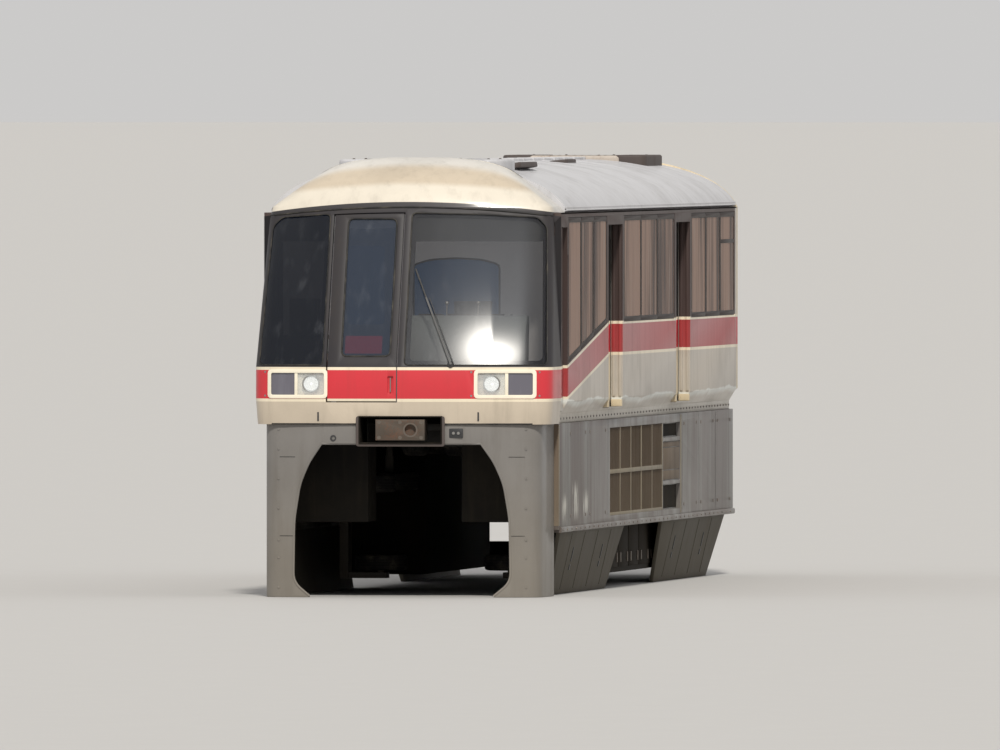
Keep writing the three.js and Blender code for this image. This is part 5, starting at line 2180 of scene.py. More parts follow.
@dataclass
class LowerMask:
    """The grey lower front with its arch, the coupler pocket and its small fittings."""

    shop: Workshop
    half: float = 1.41
    nose: float = -8.17
    bow: float = 0.19
    corner: float = 0.17
    rear: float = -7.105
    wall: float = 0.06
    pocket: tuple[float, float, float] = (0.425, 0.155, 0.435)
    sleeve: float = 0.012
    arch: tuple[Plane, ...] = ((0.94, -1.4), (1.11, -1.24), (1.1, -0.61), (1.04, -0.25), (0.94, -0.02),
                               (0.81, 0.155))

    def surface(self) -> FrontSurface:
        """The lower front's skin."""
        low = Section(CAR.skirt_foot, self.half + 0.025, self.half, self.nose, self.bow, self.corner)
        return FrontSurface([low, replace(low, z=CAR.sill - FIT)])

    def arch_line(self) -> list[Plane]:
        """The arch's edge from the right foot over the pocket's level to the left foot."""
        right = bent([(x, 0, z) for x, z in self.arch], 0.09, 5)
        half = [(p.x, p.z) for p in right]
        return [*half, *[(-x, z) for x, z in reversed(half)]]

    def shell(self) -> None:
        """Builds the grey shell and the flange round its arch."""
        skin = self.surface()
        line = self.arch_line()
        half, foot, head = self.pocket
        below = CAR.skirt_foot - 0.01
        gap = front_prism([(line[-1][0], below), (line[0][0], below), *line], -7.5)
        mouth = Form.box((-half, CAR.nose - 0.05, foot), (half, -7.6, head))
        shell = skin.solid(0, self.rear).cut(skin.hollow(self.wall, self.rear), gap, mouth)
        shell.bevelled(0.006, 3).piece("lower_mask", Finishes.apron, replaces=["cab_skirt"], smooth=30)
        wall = self.sleeve
        sleeve = Form.box((-half, -8.195, foot), (half, -7.6, head)).cut(
            Form.box((-half + wall, -8.3, foot + wall), (half - wall, -7.5, head - wall)))
        sleeve.bevelled(0.003).piece("pocket_sleeve", Finishes.equipment)
        flange = rounded(rectangle(-half - 0.028, half + 0.028, foot - 0.028, head), 0.03)
        collar = Form.prism(flange, Axis.Y, -8.182, -8.165)
        collar.cut(Form.box((-half, -8.3, foot), (half, -8, head + 0.1)))
        collar.bevelled(0.003).piece("pocket_collar", Finishes.lid)
        bead = [skin.at(x, max(z, CAR.skirt_foot + 0.0125), -0.004) for x, z in line]
        Form.tube(bead, 0.012, 10).piece("arch_edge_bead", Finishes.apron)

    def fittings(self) -> None:
        """Adds sockets, holes, seams and bolts."""
        skin = self.surface()
        seams = [[skin.at(side.value * x, z, 0.001) for x in (1.09, 1.18, 1.25)]
                 for side in Side for z in (-0.78, 0.02)]
        Form.tubes(seams, 0.003, 6).piece("lower_mask_seams", Finishes.seal)
        spot = skin.at(0.565, 0.26)
        plate = Form.prism(rounded(rectangle(0.495, 0.635, 0.215, 0.31), 0.012), Axis.Y,
                           spot.y - 0.012, spot.y + 0.03)
        plate.bevelled(0.003).piece("socket_plate", Finishes.dark_trim)
        contact = [(0, -0.016), (0.014, -0.016), (0.016, -0.01), (0.016, 0.01), (0, 0.01)]
        contacts = Form.lathed(contact, Axis.Y, [(x, spot.y - 0.006, 0.262) for x in (0.54, 0.59)], 20)
        contacts.piece("socket_contacts", Finishes.bright)
        eye = skin.at(-0.69, 0.21)
        Form.turned([(0.016, -0.006), (0.03, -0.006), (0.034, 0.004), (0.034, 0.02), (0.016, 0.02)],
                    Axis.Y, tuple(eye), 28).piece("filler_eye", Finishes.dark_trim)
        bolts = [(tuple(skin.at(s * 1.26, z)), (0, -1, 0))
                 for s in (-1, 1) for z in (-1.3, -1.0, -0.82, -0.5, -0.2, 0.1, 0.3)]
        self.shop.bolts.piece("lower_mask_bolts", bolts, Finishes.apron, 0.011, 0.006, 8)

    def build(self) -> None:
        """Builds the lower front."""
        self.shell()
        self.fittings()


@dataclass(frozen=True)
class Bay:
    """A stretch of the window ribbon."""

    number: int
    front: float
    rear: float
    front_foot: float

    def outline(self, start: float, end: float, margin: float, foot: float, head: float) -> list[Plane]:
        """A pane's outline.

        Args:
            start: Its front edge.
            end: Its rear edge.
            margin: How far inside those edges.
            foot: Height of the ribbon's foot.
            head: Height of its head.

        Returns:
            Points along and up.
        """
        def lower(y: float) -> float:
            """Height of the foot, which rises along the bay."""
            part = (y - self.front) / (self.rear - self.front)
            return self.front_foot + (foot - self.front_foot) * part

        corners = [(start, lower(start)), (end, lower(end)), (end, head), (start, head)]
        return rounded(shrunk(corners, margin), 0.035, 4)


@dataclass
class SideWall:
    """A side wall: ribbon of glass, doorways with ribbed jambs, rails, seams and lining."""

    shop: Workshop
    side: Side
    bays: tuple[Bay, ...] = (Bay(1, -6.59, -3.35, 0.96), Bay(2, -1.91, 2.48, 1.345),
                             Bay(3, 3.92, 7.78, 1.345))
    panes: int = 3
    foot: float = 1.345
    head: float = 2.44
    thick: float = 0.014
    hole_inset: float = 0.075
    mullion: float = 0.09
    hopper_foot: float = 2.13
    hopper_after: float = 5.0
    rail_place: float = -6.627
    rail_span: Plane = (0.62, 2.02)
    joints: tuple[float, ...] = (-3.34, -1.92, 0.3, 2.49, 3.91, 5.85)

    def put(self, form: Form, name: str, finish: Finish, replaces: Sequence[str] = (),
            smooth: float = 35.0) -> None:
        """Dresses a right-hand shape as a piece of this side."""
        form.handed(self.side).piece(f"{name}_{self.side.word}", finish, "car_body", replaces, smooth)

    def shell(self) -> None:
        """Builds the painted wall."""
        name = f"side_wall_{self.side.word}"
        y, (low, high) = self.rail_place, self.rail_span
        grip = Form.box((1.492, y - 0.025, low - 0.04), (1.53, y + 0.025, high + 0.04)).handed(self.side)
        wall = Form.of_node(name).cut(grip).bevelled(0.003)
        wall.piece(f"body_side_{self.side.word}", Finishes.wall, "car_body", [name], 30)
        rail = bent([(1.494, y, low), (1.508, y, low + 0.04), (1.508, y, high - 0.04), (1.494, y, high)],
                    0.01, 3)
        self.put(Form.tube(rail, 0.009, 10), "crew_grab_rail", Finishes.dark_trim)

    def ribbon(self) -> None:
        """Glazes the window ribbon."""
        outer = CAR.half_width
        for bay in self.bays:
            span = bay.rear - bay.front - 2 * self.hole_inset
            width = (span - (self.panes - 1) * self.mullion) / self.panes
            cuts = [bay.front + 0.003] + [
                bay.front + self.hole_inset + i * (width + self.mullion) - self.mullion / 2
                for i in range(1, self.panes)] + [bay.rear - 0.003]
            glass, seals, frames = Form(), Form(), Form()
            for start, end in zip(cuts, cuts[1:]):
                border = bay.outline(start, end, 0.004, self.foot, self.head)
                opening = bay.outline(start, end, 0.05, self.foot, self.head)
                glass.beside(Form.prism(bay.outline(start, end, 0.046, self.foot, self.head), Axis.X,
                                        outer - self.thick, outer - 0.005))
                seals.beside(Form.tube([(outer - 0.005, y, z) for y, z in opening], 0.004, 6, closed=True))
                rim = Form.prism(border, Axis.X, outer - self.thick, outer - 0.0025)
                frames.beside(rim.cut(Form.prism(opening, Axis.X, 1.4, 1.6)).bevelled(0.002))
            if bay.rear > self.hopper_after:
                bar = Form.box((outer - 0.013, cuts[-2] + 0.04, self.hopper_foot - 0.02),
                               (outer - 0.002, cuts[-1] - 0.04, self.hopper_foot + 0.02))
                frames.beside(bar.bevelled(0.002))
            self.put(glass.bevelled(0.0015), f"ribbon_glass_{bay.number}", Finishes.glass,
                     [f"window_{self.side.word}_{bay.number}"], 20)
            self.put(seals, f"ribbon_seals_{bay.number}", Finishes.seal)
            self.put(frames, f"ribbon_border_{bay.number}", Finishes.frit)

    def jambs(self) -> None:
        """Adds the doorways' ribbed jambs, foot blocks, treads and gutters."""
        half = CAR.door_width / 2
        ribs, feet, treads, drips = Form(), Form(), Form(), Form()
        for centre in CAR.door_centres:
            for way in (-1, 1):
                edge = centre + way * half
                for x in (1.428, 1.492):
                    ribs.beside(Form.box((x - 0.014, edge, 0.58), (x + 0.014, edge - way * 0.016, 2.34)))
                feet.beside(Form.box((1.405, edge, 0.476), (1.5185, edge - way * 0.07, 0.548)))
            treads.beside(Form.box((1.3985, centre - half + 0.002, 0.4703),
                                   (1.517, centre + half - 0.002, 0.4747)))
            grooves = self.shop.slats.row(Finishes.bright, 9, (1.41, centre, 0.4752), (0.0122, 0, 0),
                                          (0.005, 0.003, CAR.door_width - 0.16), (math.pi / 2, 0, 0))
            treads.beside(grooves)
            drips.beside(Form.bars((1.5, 1.5186), [centre], half + 0.05, (2.356, 2.366)))
        self.put(ribs.bevelled(0.005, 3), "door_jamb_ribs", Finishes.wall)
        self.put(feet.bevelled(0.006, 3), "door_foot_blocks", Finishes.edge)
        self.put(treads, "door_treads", Finishes.bright)
        self.put(drips.bevelled(0.002), "door_drips", Finishes.seal)

    def seams(self) -> None:
        """Adds the panel joints and the bolts along the sill."""
        joints = Form.bars((1.5184, 1.519), self.joints, 0.002, (0.572, self.foot - 0.01))
        joints.beside(Form.box((1.5178, CAR.body_front, 2.476), (1.519, CAR.body_rear, 2.4895)))
        self.put(joints, "panel_joints", Finishes.seal)
        way = self.side.value
        spots = [((way * 1.4393, y / 1000, 0.395), (way, 0, 0)) for y in range(-7100, 7950, 250)]
        self.shop.bolts.piece(f"sill_bolts_{self.side.word}", spots, Finishes.skirt, 0.009, 0.006)

    def lining(self) -> None:
        """Lines the inside of the wall."""
        sheet = Form.box((1.3969, CAR.body_front + 0.01, CAR.floor + 0.02),
                         (1.3988, CAR.body_rear, CAR.eave - 0.02))
        holes = [Form.box((1.3, c - 0.6, 0.4), (1.5, c + 0.6, 2.352)) for c in CAR.door_centres]
        holes += [Form.box((1.3, c - 1.25, 2.37), (1.5, c + 1.25, 2.432)) for c in CAR.door_centres]
        holes.append(Form.box((1.3, -7.16, 0.4), (1.5, -6.66, 2.34)))
        for bay in self.bays:
            edge = bay.outline(bay.front + self.hole_inset, bay.rear - self.hole_inset, 0.0,
                               self.foot + self.hole_inset, self.head - self.hole_inset)
            holes.append(Form.prism(edge, Axis.X, 1.3, 1.5))
        self.put(sheet.cut(*holes), "wall_lining", Finishes.inside)

    def build(self) -> None:
        """Builds the side."""
        self.shell()
        self.ribbon()
        self.jambs()
        self.seams()
        self.lining()


@dataclass
class SlidingDoors:
    """The pairs of sliding leaves on one side."""

    shop: Workshop
    side: Side
    inner: float = 1.358
    outer: float = 1.392
    half: float = 0.3135
    offset: float = 0.3165
    foot: float = 0.476
    head: float = 2.36
    glass: tuple[float, float, float] = (0.2035, 1.29, 2.23)

    def leaf(self, door: int, end: str, way: int) -> None:
        """Builds one leaf.

        Args:
            door: The doorway's number.
            end: The leaf's end as its node spells it.
            way: -1 for the front leaf, 1 for the rear one.
        """
        word = self.side.word
        body = f"door_leaf_{word}_{door}_{end}"
        middle = CAR.door_centres[door - 1] + way * self.offset
        half, low, high = self.glass
        window = rounded(rectangle(middle - half, middle + half, low, high), 0.06, 5)
        across = (self.inner, self.outer)
        panel = Form.bars(across, [middle], self.half, (self.foot, self.head))
        for part in (-0.6, 0.6):
            panel.join(Form.bars(across, [middle + self.half * part], 0.06, (self.head - 0.001, 2.3717)))
        panel.cut(Form.prism(window, Axis.X, 1.3, 1.45),
                  Form.box((self.outer - 0.003, middle - 0.25, 0.56), (1.45, middle + 0.25, 1.16)))
        tail = f"{word}_{door}_{end}"
        panel.bevelled(0.003).handed(self.side).piece(f"leaf_{tail}", Finishes.leaf, body, [body], 30)
        pane = Form.prism(shrunk(window, 0.001), Axis.X, 1.369, 1.381).bevelled(0.0015)
        pane.handed(self.side).piece(f"leaf_glass_{tail}", Finishes.glass, body, smooth=20)
        seal = Form.tubes([[(x, y, z) for y, z in window] for x in (1.3805, 1.3695)], 0.006, 8, closed=True)
        edge = middle - way * (self.half - 0.004)
        seal.beside(Form.tube([(1.375, edge, self.foot + 0.01), (1.375, edge, self.head - 0.01)], 0.0105))
        seal.handed(self.side).piece(f"leaf_seals_{tail}", Finishes.seal, body)
        cup = Form.bars((1.3885, 1.3925), [edge + way * 0.055], 0.02, (1.0, 1.18)).bevelled(0.0015)
        cup.handed(self.side).piece(f"leaf_grip_{tail}", Finishes.bright, body)

    def build(self) -> None:
        """Builds the side's leaves."""
        for door in (1, 2):
            for end, way in (("front", -1), ("rear", 1)):
                self.leaf(door, end, way)


@dataclass
class CrewDoor:
    """The hinged door beside the cab."""

    side: Side
    front: float = -7.152
    rear: float = -6.668
    inner: float = 1.44
    outer: float = 1.475
    foot: float = 0.476
    head: float = 2.332

    def build(self) -> None:
        """Builds leaf, glass, seal, handle and hinges."""
        word = self.side.word
        body = f"crew_door_{word}"
        window = rounded(rectangle(self.front + 0.09, self.rear - 0.09, 1.33, 2.24), 0.05, 5)
        leaf = Form.box((self.inner, self.front, self.foot), (self.outer, self.rear, self.head))
        leaf.cut(Form.prism(window, Axis.X, 1.4, 1.5),
                 Form.box((self.outer - 0.014, self.front + 0.06, 1.04), (1.5, self.front + 0.18, 1.16)))
        leaf.bevelled(0.003).handed(self.side).piece(f"crew_leaf_{word}", Finishes.wall, body, [body], 30)
        middle = (self.inner + self.outer) / 2
        pane = Form.prism(shrunk(window, 0.001), Axis.X, middle - 0.006, middle + 0.006)
        pane.handed(self.side).piece(f"crew_glass_{word}", Finishes.glass, body, smooth=20)
        seal = Form.tube([(middle + 0.008, y, z) for y, z in window], 0.007, 8, closed=True)
        seal.handed(self.side).piece(f"crew_seal_{word}", Finishes.seal, body)
        lever = [(1.463, self.front + 0.09, 1.1), (1.471, self.front + 0.09, 1.1),
                 (1.471, self.front + 0.155, 1.1)]
        handle = Form.tube(bent(lever, 0.006, 3), 0.006, 8)
        handle.beside(Form.lathed([(0, -0.06), (0.0077, -0.06), (0.0077, 0.06), (0, 0.06)], Axis.Z,
                                  [(self.inner, self.rear, z) for z in (0.8, 2.0)], 12))
        handle.handed(self.side).piece(f"crew_handle_{word}", Finishes.bright, body)


@dataclass
class Roof:
    """The arched roof with its ribs, gutters, ceiling and the flat units on top."""

    shop: Workshop
    front: float = -6.69
    rear: float = 7.95
    rib_pitch: float = 1.22
    strap_pitch: float = 0.86
    beads: tuple[float, ...] = (0.24, 0.5, 0.76, 1.0, 1.2, 1.34)
    # Name, half width, front and rear edge, top and finish of each flat unit.
    lids: tuple[tuple[str, float, float, float, float, Finish], ...] = (
        ("front_roof_unit", 0.85, -6.6, -5.45, 3.03, Finishes.roof),
        ("rear_roof_unit", 0.76, 6.2, 7.7, 3.035, Finishes.duct))
    # Place across, front edge, length and half width of each low plate.
    pods: tuple[tuple[float, float, float, float], ...] = (
        (0.66, -5.25, 1.5, 0.2), (-0.66, -5.25, 1.5, 0.2), (0.4, 1.6, 0.8, 0.1), (-0.4, 1.6, 0.8, 0.1))

    def height(self, x: float, half: float = CAR.half_width, crown: float = CAR.crown) -> float:
        """Height of the roof's top.

        Args:
            x: Place across.
            half: Half width of the arch.
            crown: Its height.

        Returns:
            The height.
        """
        low, high = 0.0, 1.0
        for _ in range(30):
            t = (low + high) / 2
            s = 1 - t
            across = s ** 3 * half + 3 * s * s * t * (half - 0.13) + 3 * s * t * t * 0.52 * half
            low, high = (t, high) if across > abs(x) else (low, t)
        s = 1 - low
        rise = crown - CAR.eave
        return (s ** 3 * CAR.eave + 3 * s * s * low * (CAR.eave + 0.61 * rise)
                + (3 * s * low * low + low ** 3) * crown)

    def arch(self, name: str, half: float, crown: float, thick: float, y0: float, y1: float,
             finish: Finish, replaces: Sequence[str] = ()) -> None:
        """Makes an arched shell with the roof's tree.

        Args:
            name: The piece's name.
            half: Half width of its outside.
            crown: Height of its outside.
            thick: Its thickness.
            y0: Where it starts.
            y1: Where it ends.
            finish: Its finish.
            replaces: The nodes that it stands for.
        """
        sizes = {"Points": 61, "Half Width": half - thick / 2, "Eave": CAR.eave, "Crown": crown - thick / 2,
                 "Shoulder": 0.13, "Thickness": thick, "Length": y1 - y0}
        form = self.shop.arch.form(finish, sizes).sound().moved(0, (y0 + y1) / 2, 0)
        foot = Form.box((-1.6, y0 - 0.01, CAR.eave + FIT), (1.6, y1 + 0.01, 3.2))
        form.keep(foot).piece(name, finish, "car_body", replaces, 25)

    def line(self, half: float, crown: float, y: float, inset: float = 0.0) -> list[Vector]:
        """A hoop across the roof."""
        places = [half * math.sin(math.pi / 2 * (i / 24 - 1)) for i in range(49)]
        return [Vector((x * (1 - inset / half), y, self.height(x, half, crown) - inset)) for x in places]

    def units(self) -> None:
        """Builds the flat units, the duct and the small fittings."""
        under = Form.prism([(-1.6, 2.4)] + [(p.x, p.z) for p in self.line(1.519, 2.9955, 0)] + [(1.6, 2.4)],
                           Axis.Y, self.front - 1, self.rear + 1)
        for name, half, y0, y1, top, finish in self.lids:
            lid = Form.prism(rounded(rectangle(-half, half, y0, y1), 0.2, 6), Axis.Z, top - 0.16, top)
            lid.bevelled(0.03, 5).cut(under).piece(name, finish, smooth=40)
            grille = self.shop.slats.row(Finishes.dark_trim, 14, (-half * 0.7, (y0 + y1) / 2, top - 0.001),
                                         (half * 1.4 / 13, 0, 0), (0.03, 0.008, (y1 - y0) * 0.55),
                                         (math.pi / 2, 0, 0))
            grille.piece(f"{name}_grille", Finishes.dark_trim)
            spots = [((x, y, top), (0, 0, 1)) for y in (y0 + 0.1, y1 - 0.1)
                     for x in (-half + 0.16, -half / 3, half / 3, half - 0.16)]
            self.shop.bolts.piece(f"{name}_bolts", spots, Finishes.steel, 0.013, 0.008)
        caps = Form()
        for low, high in ((-0.766, -0.4), (0.4, 0.766)):
            cap = rounded(rectangle(low, high, 6.194, 7.706), 0.12, 6)
            caps.beside(Form.prism(cap, Axis.Z, 2.87, 3.041))
        caps.bevelled(0.025, 4).cut(under).piece("rear_roof_unit_caps", Finishes.lid, smooth=40)
        duct = Form.box((-0.13, -5.44, 2.96), (0.13, 6.19, 3.02)).bevelled(0.015, 3)
        duct.piece("roof_duct", Finishes.roof, "car_body", ["roof_equipment"], 35)
        places = [-5.2 + i * self.strap_pitch for i in range(14)]
        straps = Form.bars((-0.145, 0.145), places, 0.025, (2.985, 3.024))
        straps.bevelled(0.004).piece("duct_straps", Finishes.roof)
        pods = Form()
        for x, y, length, wide in self.pods:
            slope = math.atan2(self.height(abs(x) + 0.1) - self.height(abs(x) - 0.1), 0.2)
            plan = rounded(rectangle(-wide, wide, 0, length), 0.09, 5)
            pod = Form.prism(plan, Axis.Z, -0.03, 0.024).bevelled(0.012, 3)
            turn = Matrix.Rotation(-math.copysign(slope, x), 4, "Y")
            pods.beside(pod.placed(Matrix.Translation((x, y, self.height(x))) @ turn))
        pods.piece("roof_pods", Finishes.lid)

    def build(self) -> None:
        """Builds the roof."""
        self.arch("roof_arch", CAR.half_width, CAR.crown, CAR.roof_thick, self.front, self.rear,
                  Finishes.roof, ["roof_shell"])
        self.arch("ceiling", 1.392, 2.897, 0.004, self.front + 0.1, self.rear, Finishes.inside)
        ribs = Form()
        y = self.front + 0.55
        while y < self.rear - 0.4:
            ribs.beside(Form.tube(self.line(1.516, CAR.crown + 0.001, y)[2:-2], 0.0045, 6))
            y += self.rib_pitch
        ribs.piece("roof_hoops", Finishes.roof)
        ends = (self.front + 0.02, 0, self.rear - 0.02)
        beads = Form.tubes([[(sign * x, y, self.height(x) - 0.001) for y in ends]
                            for x in self.beads for sign in (-1, 1)], 0.005, 6)
        beads.piece("roof_beads", Finishes.roof)
        section = [(-0.006, -0.02), (0.004, -0.02), (0.006, 0.01), (-0.004, 0.014)]
        edges = [[(sign * 1.503, y, 2.533) for y in (self.front, 0.0, self.rear)] for sign in (-1, 1)]
        gutters = Form().beside(*[Form.swept(edge, section, (0, 0, 1)) for edge in edges])
        gutters.piece("roof_gutters", Finishes.roof)
        self.units()


@dataclass
class RearEnd:
    """The end wall with its arch ring, the gangway, the end door, lamps and rails."""

    shop: Workshop
    rear: float = 8.05
    face: float = 8.15
    opening: Plane = (0.38, 2.42)
    leaf: Plane = (7.905, 7.942)
    wall_bolts: tuple[Plane, ...] = ((1.35, 0.75), (1.45, 1.2), (1.45, 1.7), (1.45, 2.2), (1.1, 2.75),
                                     (0.7, 2.88))

    def build(self) -> None:
        """Builds the rear end."""
        plate = Form.of_node("rear_end_wall")
        frame_block = Form.box((-0.6, self.rear + 0.002, 0.3), (0.6, 8.2, 2.5))
        plate.cut(frame_block).bevelled(0.003).piece("end_wall_plate", Finishes.end, "car_body",
                                                     ["rear_end_wall"], 30)
        middle = sum(self.opening) / 2
        sizes = {"Count": 6, "Width": 1.0, "Height": 1.99, "Corner": 0.07, "Bar": 0.011, "Pitch": 0.0135,
                 "Start": (0.0, self.rear + 0.014, middle)}
        bellows = self.shop.ribs.run(Finishes.bellows, sizes)
        dress(bellows, "gangway_folds", Finishes.bellows, "car_body", smooth=60)
        for name, outer, inner, y0, y1, finish in (
                ("gangway_sleeve", 0.485, 0.43, self.rear - 0.001, 8.13, Finishes.bellows),
                ("gangway_frame", 0.52, 0.4, 8.13, self.face, Finishes.steel)):
            edge = rectangle(-outer, outer, middle - outer - 0.5, middle + outer + 0.5)
            hoop = Form.prism(rounded(edge, 0.07), Axis.Y, y0, y1)
            hoop.cut(Form.prism(rounded(rectangle(-inner, inner, 0.47, 2.33), 0.03), Axis.Y, 7.9, 8.3),
                     Form.box((-0.435, 7.9, 0.3), (0.435, 8.3, 0.436)))
            hoop.bevelled(0.003).piece(name, finish)
        bolts = [((s * 0.495, self.face, z / 1000), (0, 1, 0))
                 for s in (-1, 1) for z in range(560, 2400, 150)]
        self.shop.bolts.piece("gangway_bolts", bolts, Finishes.bright, 0.011, 0.004)
        self.door()
        self.fittings()

    def door(self) -> None:
        """Builds the sliding end door."""
        y0, y1 = self.leaf
        window = rounded(rectangle(-0.25, 0.25, 1.3, 2.2), 0.06)
        leaf = Form.box((-0.42, y0, 0.476), (0.42, y1, 2.36))
        for x in (-0.28, 0.28):
            leaf.join(Form.box((x - 0.05, y0, 2.35), (x + 0.05, y1, 2.3717)))
        leaf.cut(Form.prism(window, Axis.Y, 7.8, 8.0))
        leaf.bevelled(0.003).piece("end_leaf", Finishes.inside, "end_door", ["end_door"], 30)
        Form.prism(shrunk(window, 0.001), Axis.Y, y0 + 0.012, y0 + 0.024).piece(
            "end_leaf_glass", Finishes.glass, "end_door", smooth=20)
        rims = [[(x, y, z) for x, z in window] for y in (y0 + 0.011, y0 + 0.026)]
        Form.tubes(rims, 0.006, 8, closed=True).piece("end_leaf_seals", Finishes.seal, "end_door")
        grip = Form.box((0.3, y1 - 0.002, 1.02), (0.34, y1 + 0.003, 1.2)).bevelled(0.0015)
        grip.piece("end_leaf_grip", Finishes.bright, "end_door")

    def fittings(self) -> None:
        """Adds tail lamps, sockets, rails and bolts."""
        root = self.rear - 0.002
        routes = [[(sign * 0.62, y, z) for y, z in ((root, 1.0), (8.1, 1.0), (8.1, 1.9), (root, 1.9))]
                  for sign in (-1, 1)]
        Form.tubes([bent(route, 0.03) for route in routes], 0.014, 12).piece("end_rails", Finishes.bright)
        housing = [(0, -0.004), (0.062, -0.004), (0.062, 0.02), (0.056, 0.028), (0.046, 0.024), (0, 0.024)]
        lens = [(0, 0.02), (0.046, 0.02), (0.042, 0.034), (0.024, 0.042), (0, 0.044)]
        lamps = [(sign * 1.2, self.rear, z) for sign in (-1, 1) for z in (0.72, 0.86)]
        Form.lathed(housing, Axis.Y, lamps, 32).piece("tail_lamp_housings", Finishes.dark_trim)
        Form.lathed(lens, Axis.Y, lamps, 32).piece("tail_lamp_lenses", Finishes.red_lens)
        sockets = Form.boxes(((x - 0.06, self.rear - 0.003, 0.56), (x + 0.06, self.rear + 0.07, 0.7))
                             for x in (-0.7, -0.9, 0.7, 0.9))
        sockets.bevelled(0.012, 3).piece("jumper_boxes", Finishes.equipment)
        spots = [((s * x, self.rear, z), (0, 1, 0)) for s in (-1, 1) for x, z in self.wall_bolts]
        self.shop.bolts.piece("end_wall_bolts", spots, Finishes.end, 0.013, 0.008)


@dataclass
class SideSkirt:
    """A side skirt: louvres, hatch column, ledge and slanted lower panels."""

    shop: Workshop
    side: Side
    outer: float = 1.48
    thick: float = 0.06
    low_inset: float = 0.157
    low_thick: float = 0.04
    front: float = -7.1
    rear: float = 7.95
    panels: tuple[Plane, ...] = ((-6.94, -1.51), (1.73, 7.26))
    end_cut: float = 0.44
    louvre: Plane = (-2.79, 1.73)
    hatch: Plane = (1.77, 3.25)
    opening: Plane = (-0.64, 0.26)
    span: Plane = (-0.69, 0.34)
    posts: tuple[Plane, ...] = ((-7.08, -7.02), (3.27, 3.37))
    joints: tuple[float, ...] = (-6.3, -4.65, -2.95, 3.38, 4.9, 6.4)
    latches: tuple[float, ...] = (-6.1, -4.85, -4.45, -3.15, 3.6, 4.7, 5.1, 6.2, 6.6, 7.7)
    slats: int = 57

    def put(self, form: Form, name: str, finish: Finish, replaces: Sequence[str] = ()) -> None:
        """Dresses a right-hand shape as a piece of this side."""
        form.handed(self.side).piece(f"{name}_{self.side.word}", finish, "car_body", replaces, 30)

    def upper(self) -> None:
        """Builds the upper panel with its recesses, slats and hatches."""
        (y0, y1), (z0, z1), outer = self.louvre, self.opening, self.outer
        panel = Form.box((outer - self.thick, self.front, CAR.ledge), (outer, self.rear, CAR.sill - FIT))
        panel.cut(Form.box((outer - 0.034, y0, z0), (outer + 0.1, y1, z1)))
        rows = ((z0, z0 + 0.26, 0.042), (z0 + 0.3, z1 - 0.19, 0.014), (z1 - 0.15, z1, 0.042))
        for low, high, depth in rows:
            panel.cut(Form.box((outer - depth, self.hatch[0], low), (outer + 0.1, self.hatch[1], high)))
        self.put(panel.bevelled(0.004), "skirt_panel", Finishes.skirt, [f"skirt_{self.side.word}"])
        pitch = (y1 - y0) / self.slats
        middle = (z0 + z1) / 2
        slats = self.shop.slats.row(Finishes.tan, self.slats, (outer - 0.014, y0 + pitch / 2, middle),
                                    (0, pitch, 0), (0.014, pitch * 0.86, z1 - z0), (0, 0, 0.35))
        self.put(slats, "skirt_slats", Finishes.tan)
        frames = Form.box((outer - 0.03, y0, middle - 0.022), (outer - 0.0005, y1, middle + 0.022))
        for y in (y0 + (y1 - y0) * i / 5 for i in range(6)):
            front, rear = max(y0, y - 0.02), min(y1, y + 0.02)
            frames.beside(Form.box((outer - 0.03, front, z0), (outer - 0.001, rear, z1)))
        frames.beside(Form.box((outer - 0.03, y0, z0 - 0.001), (outer - 0.0005, y1, z0 + 0.03)))
        self.put(frames.bevelled(0.003), "louvre_frame", Finishes.sill)
        front, rear = self.hatch
        # Near-black sheets at the back of the deep hatch recesses: painted shade.
        dark = Form.boxes(((outer - depth, front + 0.02, low + 0.012),
                           (outer - depth + 0.003, rear - 0.02, high - 0.012))
                          for low, high, depth in rows[::2])
        self.put(dark, "hatch_dark", Finishes.equipment)
        plates = Form.boxes(((outer - 0.014, front + 0.03, low), (outer - 0.006, rear - 0.03, high))
                            for low, high in ((-0.33, -0.235), (-0.225, 0.0), (0.01, 0.06)))
        self.put(plates.bevelled(0.002), "hatch_plates", Finishes.tan)

    def ledge(self) -> None:
        """Builds the rounded ledge, the sill seam and the front edge strip."""
        section = rounded(rectangle(1.42, 1.502, -0.76, -0.7), 0.018, 4)
        self.put(Form.prism(section, Axis.Y, self.front + 0.09, self.rear), "skirt_ledge", Finishes.skirt)
        foot, head = self.span
        strip = Form.prism(rounded(rectangle(1.435, 1.481, foot, head), 0.004, 2), Axis.Y,
                           self.front - 0.002, self.front + 0.004)
        self.put(strip, "skirt_front_edge", Finishes.tan)
        posts = Form.boxes(((1.4785, y0, foot), (1.4812, y1, head)) for y0, y1 in self.posts)
        self.put(posts.bevelled(0.001), "skirt_posts", Finishes.sill)
        self.put(Form.bars((1.4796, 1.4806), self.joints, 0.0025, self.span), "skirt_joints", Finishes.seal)
        latches = Form.boxes(((1.4785, y - 0.035, z - 0.016), (1.4835, y + 0.035, z + 0.016))
                             for y in self.latches for z in (-0.6, 0.24))
        self.put(latches.bevelled(0.0015), "skirt_latches", Finishes.steel)
        spots = [((self.side.value * 1.5018, y / 1000, -0.73), (self.side.value, 0, 0))
                 for y in range(-6900, 7900, 370)]
        self.shop.bolts.piece(f"ledge_bolts_{self.side.word}", spots, Finishes.steel, 0.009, 0.005)

